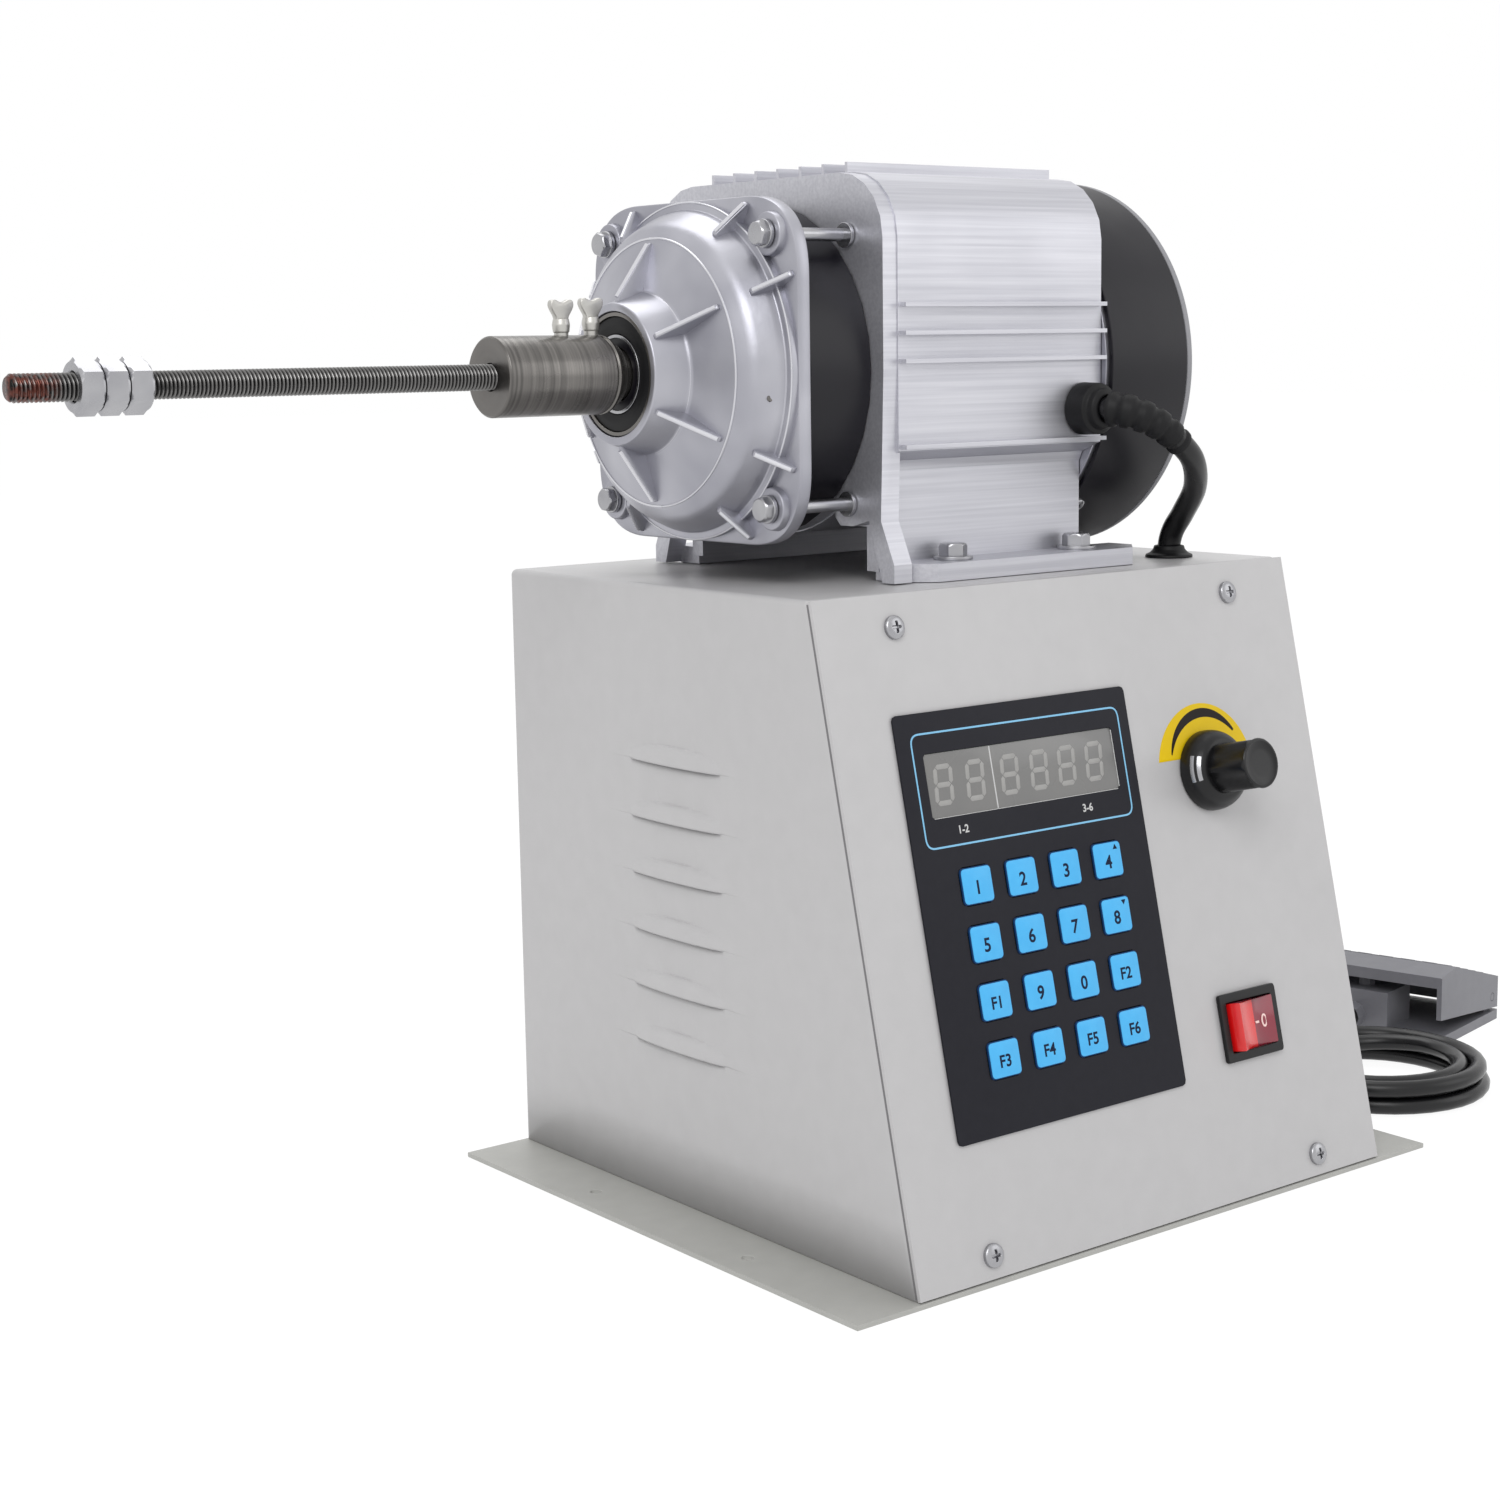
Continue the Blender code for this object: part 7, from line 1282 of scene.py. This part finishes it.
# %% [markdown]
# ## Through bolts, ring and bearing
# Four long hexagon screws clamp cover and ring to the motor; between the flanges their shanks
# show bright beside the black ring. The output bearing is a sealed one: black rubber between a
# thin outer race and a bright inner race.

# %% Through bolts, ring gear and bearing
def lathe(profile, frame_of, steps=48, **hexagon):
    """Grid of an open section that starts and ends on the axis, cut by six flats if asked."""
    return revolved(profile, frame_of, steps, 0.0003, closed=False, **hexagon)


head_line = [(0, -0.1128), (0.0040, -0.1128), (0.0050, -0.1118), (0.0052, -0.1092), (0.0, -0.1090)]
round_lines = ([(0, -0.1094), (0.0054, -0.1094), (0.0054, -0.1076), (0, -0.1074)],
               [(0, -0.1080), (0.0025, -0.1080), (0.0025, -0.0380), (0, -0.0380)],
               [(0, -0.0699), (0.0048, -0.0699), (0.0048, -0.0683), (0, -0.0683)])
for number, at in enumerate(corners_at, 1):
    grids = [lathe(head_line, at, flat=0.0044, phase=0.2 * number)]
    grids += [lathe(line, at) for line in round_lines]
    dress(merged("through_bolt_%d" % number, grids), "zinc_plate", nodes=("gearbox_bolt_%d" % number,))
eased("ring_gear", "black_enamel")
for name, look, soft, nodes, line in (
        ("bearing_race", "turned_steel", 0.0004, ("output_bearing",),
         [(0.0219, -0.1412), (0.0235, -0.1412), (0.0235, -0.1272), (0.0219, -0.1272)]),
        ("bearing_seal", "matt_rubber", 0.0004, (),
         [(0.0152, -0.1405), (0.0185, -0.1409), (0.0218, -0.1405), (0.0218, -0.1275), (0.0152, -0.1275)]),
        ("bearing_inner_race", "black_enamel", 0.0002, (),
         [(0.0103, -0.1403), (0.0138, -0.1403), (0.0138, -0.1275), (0.0103, -0.1275)]),
        ("bearing_race_line", "zinc_plate", 0.0002, (),
         [(0.0138, -0.1408), (0.0150, -0.1408), (0.0150, -0.1380), (0.0138, -0.1380)])):
    dress(turned(name, line, soft=soft), look, "black_rubber", nodes)
print("through bolts:", len(corners_at))

# %% [markdown]
# ## Chuck, screws and threaded rod
# The chuck is a bored steel bar whose rear steps down to a neck. Its two screws have cast wings,
# a plate with a symmetrical outline on a turned stem.

# %% Chuck and wing screws
chuck_line = [(0.0052, -0.1975), (0.0142, -0.1980), (0.0150, -0.1972), (0.0150, -0.1503), (0.0145, -0.1499),
              (0.0145, -0.1494), (0.0150, -0.1490), (0.0149, -0.1480), (0.0121, -0.1476), (0.0120, -0.1436),
              (0.0104, -0.1436), (0.0104, -0.1590), (0.0052, -0.1594)]
dress(turned("chuck_fine", chuck_line, steps=128, soft=0.0002), "turned_steel", "dark_steel",
      ("chuck_sleeve",), "spindle")
wing_right = [(0.0024, -0.0016), (0.0028, 0.0010), (0.0044, 0.0034), (0.0052, 0.0052), (0.0048, 0.0070),
              (0.0032, 0.0075), (0.0014, 0.0066)]
wing_left = [(-x, y) for x, y in wing_right[::-1]]
wing_line = softened(wing_left[-1:] + wing_right + [(0.0, 0.0062)] + wing_left[:-1], 0.0008, closed=True)
for name, x, tip, seat in (("wing_screw_front", -0.1655, 0.3362, 0.3468),
                           ("wing_screw_rear", -0.1520, 0.3396, 0.3474)):
    stem = [(0, tip), (0.0023, tip), (0.0027, tip + 0.0006), (0.0027, seat + 0.0001), (0.0031, seat + 0.0004),
            (0.0034, seat + 0.0030), (0.0030, seat + 0.0052), (0, seat + 0.0054)]
    grids = [lathe(stem, upright((x, SPINDLE[1], 0.0)), 32),
             slab_grid(wing_line, -0.0015, 0.0015, 0.0005,
                       ((x, SPINDLE[1], seat + 0.0050), X_WAY, Z_WAY, Y_WAY))]
    dress(merged(name + "_fine", grids, angle=50.0), "pale_cast", "zinc_plate", (name,), name + "_body")
stations = [station for radius, station in chuck_line]
print("chuck length", round(max(stations) - min(stations), 4), "m")

# %% [markdown]
# The rod is a rolled thread: one helical surface whose radius falls and rises once per pitch, so
# rows of the grid run along the rod and the phase turns with the angle. The depth of the groove
# goes into an attribute for the rod's finish. The nuts are hexagons with a chamfer at both ends.

# %% Threaded rod and nuts
PITCH, MAJOR, DEPTH = 0.0015, 0.0049, 0.0008
ROD_FREE_END, ROD_HELD_END, ROD_CHAMFER = -0.3820, -0.1602, 0.0012
NUT_HEIGHT, NUT_FLAT = 0.0084, 0.0085
rod_x = np.arange(ROD_FREE_END, ROD_HELD_END + 1e-9, PITCH / 6)
around = round_angles(24)
phase = np.mod(rod_x[:, None] / PITCH - around / (2 * math.pi), 1.0)
groove = np.clip(1.25 * np.abs(2 * phase - 1) - 0.12, 0, 1)
taper = np.clip(np.minimum(rod_x - rod_x[0], rod_x[-1] - rod_x) / ROD_CHAMFER, 0, 1)[:, None]
rod_radius = np.minimum(MAJOR - DEPTH * (1 - groove), MAJOR * (0.78 + 0.22 * taper))
rod = surface("rod_thread", world(AXIS, np.stack([rod_radius * np.cos(around), rod_radius * np.sin(around),
                                                  rod_x[:, None] + 0 * around], -1)), angle=60.0)
reach = np.linalg.norm(coordinates_of(rod.data)[:, 1:] - SPINDLE[1:], axis=1)
rod.data.attributes.new("groove", "FLOAT", "POINT").data.foreach_set("value", (MAJOR - reach) / DEPTH)
dress(rod, "rod_steel", "dark_steel", ("threaded_rod",), "spindle")
for name, start in (("nut_inner", -0.3424), ("nut_middle", -0.3511), ("nut_outer", -0.3598)):
    end = start + NUT_HEIGHT
    line = [(0.0051, start + 0.0006), (0.0057, start), (0.0082, start), (0.0099, start + 0.0010),
            (0.0099, end - 0.0010), (0.0082, end), (0.0057, end), (0.0051, end - 0.0006)]
    nut = surface(name + "_fine", revolved(line, soft=0.0002, flat=NUT_FLAT), **OPEN_ENDS)
    dress(nut, "zinc_plate", nodes=(name,), body=name + "_body")
print("thread turns:", round((rod_x[-1] - rod_x[0]) / PITCH))

# %% [markdown]
# ## Fan cowl, rear cap and end shield
# The cowl is a round sheet sleeve in black enamel. Its rear is closed by a grey cap, a shallow
# dome with nine air slots: the bars between the slots are strips of the dome's surface.

# %% Cowl, cap and shield
BAR_COUNT, BAR_PITCH, BAR_HALF, BAR_LIMIT, BARS_RADIUS, CAP_SHEET = 10, 0.0125, 0.0040, 0.0648, 0.0652, 0.0018
COWL_HEAD_DEGREES, COWL_RADIUS = (42, -42, 222, 138), 0.0769
cowl_line = [(0.0751, 0.0500), (0.0768, 0.0500), (0.0770, 0.0503), (0.0770, 0.0937), (0.0767, 0.0940),
             (0.0751, 0.0940)]
dress(turned("cowl_fine", cowl_line, steps=160, soft=0.0002), "black_enamel", nodes=("fan_cowl",))


def dome(radius):
    """Outer face of the cap: station falls with the square of the radius."""
    return 0.0978 + 0.0032 * (1 - (radius / 0.077) ** 2)


rim_line = [(0.0728, 0.0863), (0.0746, 0.0863), (0.0746, 0.0943), (0.0770, 0.0943), (0.0770, 0.0968),
            (0.0760, 0.0978), (0.0640, dome(0.0640)), (0.0640, dome(0.0640) - CAP_SHEET),
            (0.0728, dome(0.0728) - CAP_SHEET)]
dress(turned("cap_rim", rim_line, steps=160), "grey_cap", nodes=("fan_grille",))
bar_grids = []
for index in range(BAR_COUNT):
    centre = (index - (BAR_COUNT - 1) / 2) * BAR_PITCH
    across = np.linspace(max(centre - BAR_HALF, -BAR_LIMIT), min(centre + BAR_HALF, BAR_LIMIT), 5)[:, None]
    reach = np.sqrt(np.maximum(BARS_RADIUS ** 2 - across ** 2, 0.004 ** 2))
    along = np.linspace(-1, 1, 25)[None, :] * reach
    up = across + 0 * along
    station = dome(np.sqrt(up ** 2 + along ** 2))
    outside, inside = np.stack([along, up, station], -1), np.stack([along, up, station - CAP_SHEET], -1)
    loop = np.concatenate([outside, inside[::-1], outside[:1]])
    bar_grids.append(world(AXIS, loop.transpose(1, 0, 2)[:, :-1]))
dress(merged("cap_bars", bar_grids), "grey_cap")
shield_line = [(0.0088, 0.0533), (0.0088, 0.0583), (0.0747, 0.0583), (0.0747, 0.0484), (0.0577, 0.0483),
               (0.0577, 0.0433), (0.0517, 0.0433), (0.0517, 0.0533)]
dress(turned("shield_fine", shield_line), "cast_aluminium", nodes=("rear_shield",))
cowl_heads = []
for theta in np.radians(COWL_HEAD_DEGREES):
    ray = np.array((0.0, math.sin(theta), -math.cos(theta)))
    at = (SPINDLE + COWL_RADIUS * ray + (0.0545, 0, 0), X_WAY, np.cross(ray, X_WAY), ray)
    cowl_heads.append(cross_head(0.0038, 0.0021, at))
dress(merged("cowl_screws", cowl_heads, caps=(False, True), angle=45.0), "zinc_plate", "cast_aluminium")
print("cap bars:", len(bar_grids))

# %% [markdown]
# ## Foot bolts
# Hexagon screws with flat washers hold the motor's feet; their plate lies under the case top.

# %% Foot bolts and the plate under the top
FOOT_TOP, FOOT_ACROSS = 0.2573, 0.0685
washer_line = [(0, 0.0), (0.0078, 0.0), (0.0078, 0.0014), (0, 0.0015)]
foot_head_line = [(0, 0.0014), (0.0057, 0.0014), (0.0058, 0.0052), (0.0049, 0.0064), (0.0, 0.0066)]
shank_line = [(0, -0.0140), (0.0029, -0.0140), (0.0029, 0.0010), (0, 0.0012)]
bolt_grids = []
for x in (-0.030, 0.038):
    for dy in (-FOOT_ACROSS, FOOT_ACROSS):
        at = upright((x, SPINDLE[1] + dy, FOOT_TOP))
        bolt_grids += [lathe(washer_line, at, 64), lathe(foot_head_line, at, flat=0.0050, phase=0.3 + 10 * x),
                       lathe(shank_line, at, 24)]
dress(merged("foot_bolts", bolt_grids), "zinc_plate", nodes=("foot_bolt_plate",))
plate = slab("foot_plate", rounded_box(0.092, 0.161, 0.002, (0.004, SPINDLE[1])), 0.2412, 0.2472, 0.0004,
             upright((0, 0, 0)))
dress(plate, "zinc_plate")
print("foot bolts:", len(bolt_grids) // 3)

# %% [markdown]
# ## Motor lead
# A stiff round lead leaves the motor through a rubber boot, bends down and goes through a
# flared grommet into the case. Its route is the one of the model's source.

# %% Boot, lead and grommet
MOTOR_LEAD_RADIUS = 0.0048
lead_route = [(0.0374, -0.0465, 0.3140), (0.0374, -0.0500, 0.3140), (0.0374, -0.0580, 0.3140),
              (0.0410, -0.0655, 0.3128), (0.0495, -0.0715, 0.3085), (0.0600, -0.0740, 0.3010),
              (0.0720, -0.0715, 0.2925), (0.0850, -0.0610, 0.2810), (0.0940, -0.0465, 0.2695),
              (0.0966, -0.0388, 0.2620), (0.0970, -0.0361, 0.2555), (0.0970, -0.0360, 0.2480),
              (0.0970, -0.0360, 0.2320)]
motor_path = smooth_path(lead_route, 90)
motor_lead = surface("motor_lead_fine", pipe_grid(motor_path, MOTOR_LEAD_RADIUS, 28, X_WAY), angle=60.0)
dress(motor_lead, "lead_rubber", "black_rubber", ("motor_lead",))
boot_line = [(0.0052, -0.004), (0.0075, -0.004), (0.0075, 0.0), (0.0103, 0.0), (0.0105, 0.0010),
             (0.0102, 0.0095), (0.0084, 0.0104), (0.0078, 0.0128), (0.0060, 0.0140), (0.0052, 0.0140)]
boot = turned("gland_boot", boot_line, ((0.0374, -0.0433, 0.3140), X_WAY, Z_WAY, (0, -1, 0)), 72, 0.0005)
dress(boot, "matt_rubber", "black_rubber", ("motor_gland",))
relief("boot_relief", motor_path[8:30], 0.0072, 0.0055, 5)
grommet_line = [(0.0053, -0.0054), (0.0075, -0.0054), (0.0075, 0.0001), (0.0100, 0.0001), (0.0098, 0.0012),
                (0.0080, 0.0020), (0.0067, 0.0034), (0.0062, 0.0050), (0.0053, 0.0050)]
grommet = turned("grommet_fine", grommet_line, upright((0.0970, -0.0360, CASE_HEIGHT)), 64)
dress(grommet, "matt_rubber", "black_rubber", ("case_grommet",))
print("motor lead", round(path_length(motor_path), 3), "m")

# %% [markdown]
# ## Foot pedal
# The treadle is a moulded cover over its base. Its sloping top carries short raised bars in a
# brick pattern that keep a shoe from slipping. Their frame lies on the slope, between its low
# edge and its crown.

# %% Treadle and its tread
BAR_ROWS, BAR_COLUMNS, BAR_START, BAR_STEP = 10, 8, (0.0100, 0.0045), (0.0114, 0.0050)
eased("pedal_treadle", "pedal_plastic", width=0.0010, segments=3, body="treadle", angle=24.0)
low_edge, crown_edge = np.array((0.068, 0.022)), np.array((0.01632, 0.037))
slope_way = (crown_edge - low_edge) / np.linalg.norm(crown_edge - low_edge)
slope_out = np.array((slope_way[1], -slope_way[0]))
pedal_along = np.asarray(PEDAL[1])
SLOPE = (world(PEDAL, (low_edge[0], 0.0, low_edge[1])), PEDAL[2],
         *(pedal_along * way[0] + np.array(Z_WAY) * way[1] for way in (slope_way, slope_out)))
tread = []
for row in range(BAR_ROWS):
    half_step = 0.5 * (row % 2)
    for column in range(BAR_COLUMNS - row % 2):
        middle = (BAR_START[0] + BAR_STEP[0] * (column + half_step), BAR_START[1] + BAR_STEP[1] * row)
        bar = rounded_box(0.0078, 0.0020, 0.0009, middle, 3)
        tread.append(slab_grid(bar, -0.0003, 0.0006, 0.0003, SLOPE))
dress(merged("pedal_tread", tread), "pedal_plastic", body="treadle")
print("tread bars:", len(tread))

# %% [markdown]
# ## Closing
# The box of the dressed machine is printed.

# %% Sizes and finish
low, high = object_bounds()
print("visual box", [round(float(v), 4) for v in (*low, *high)])
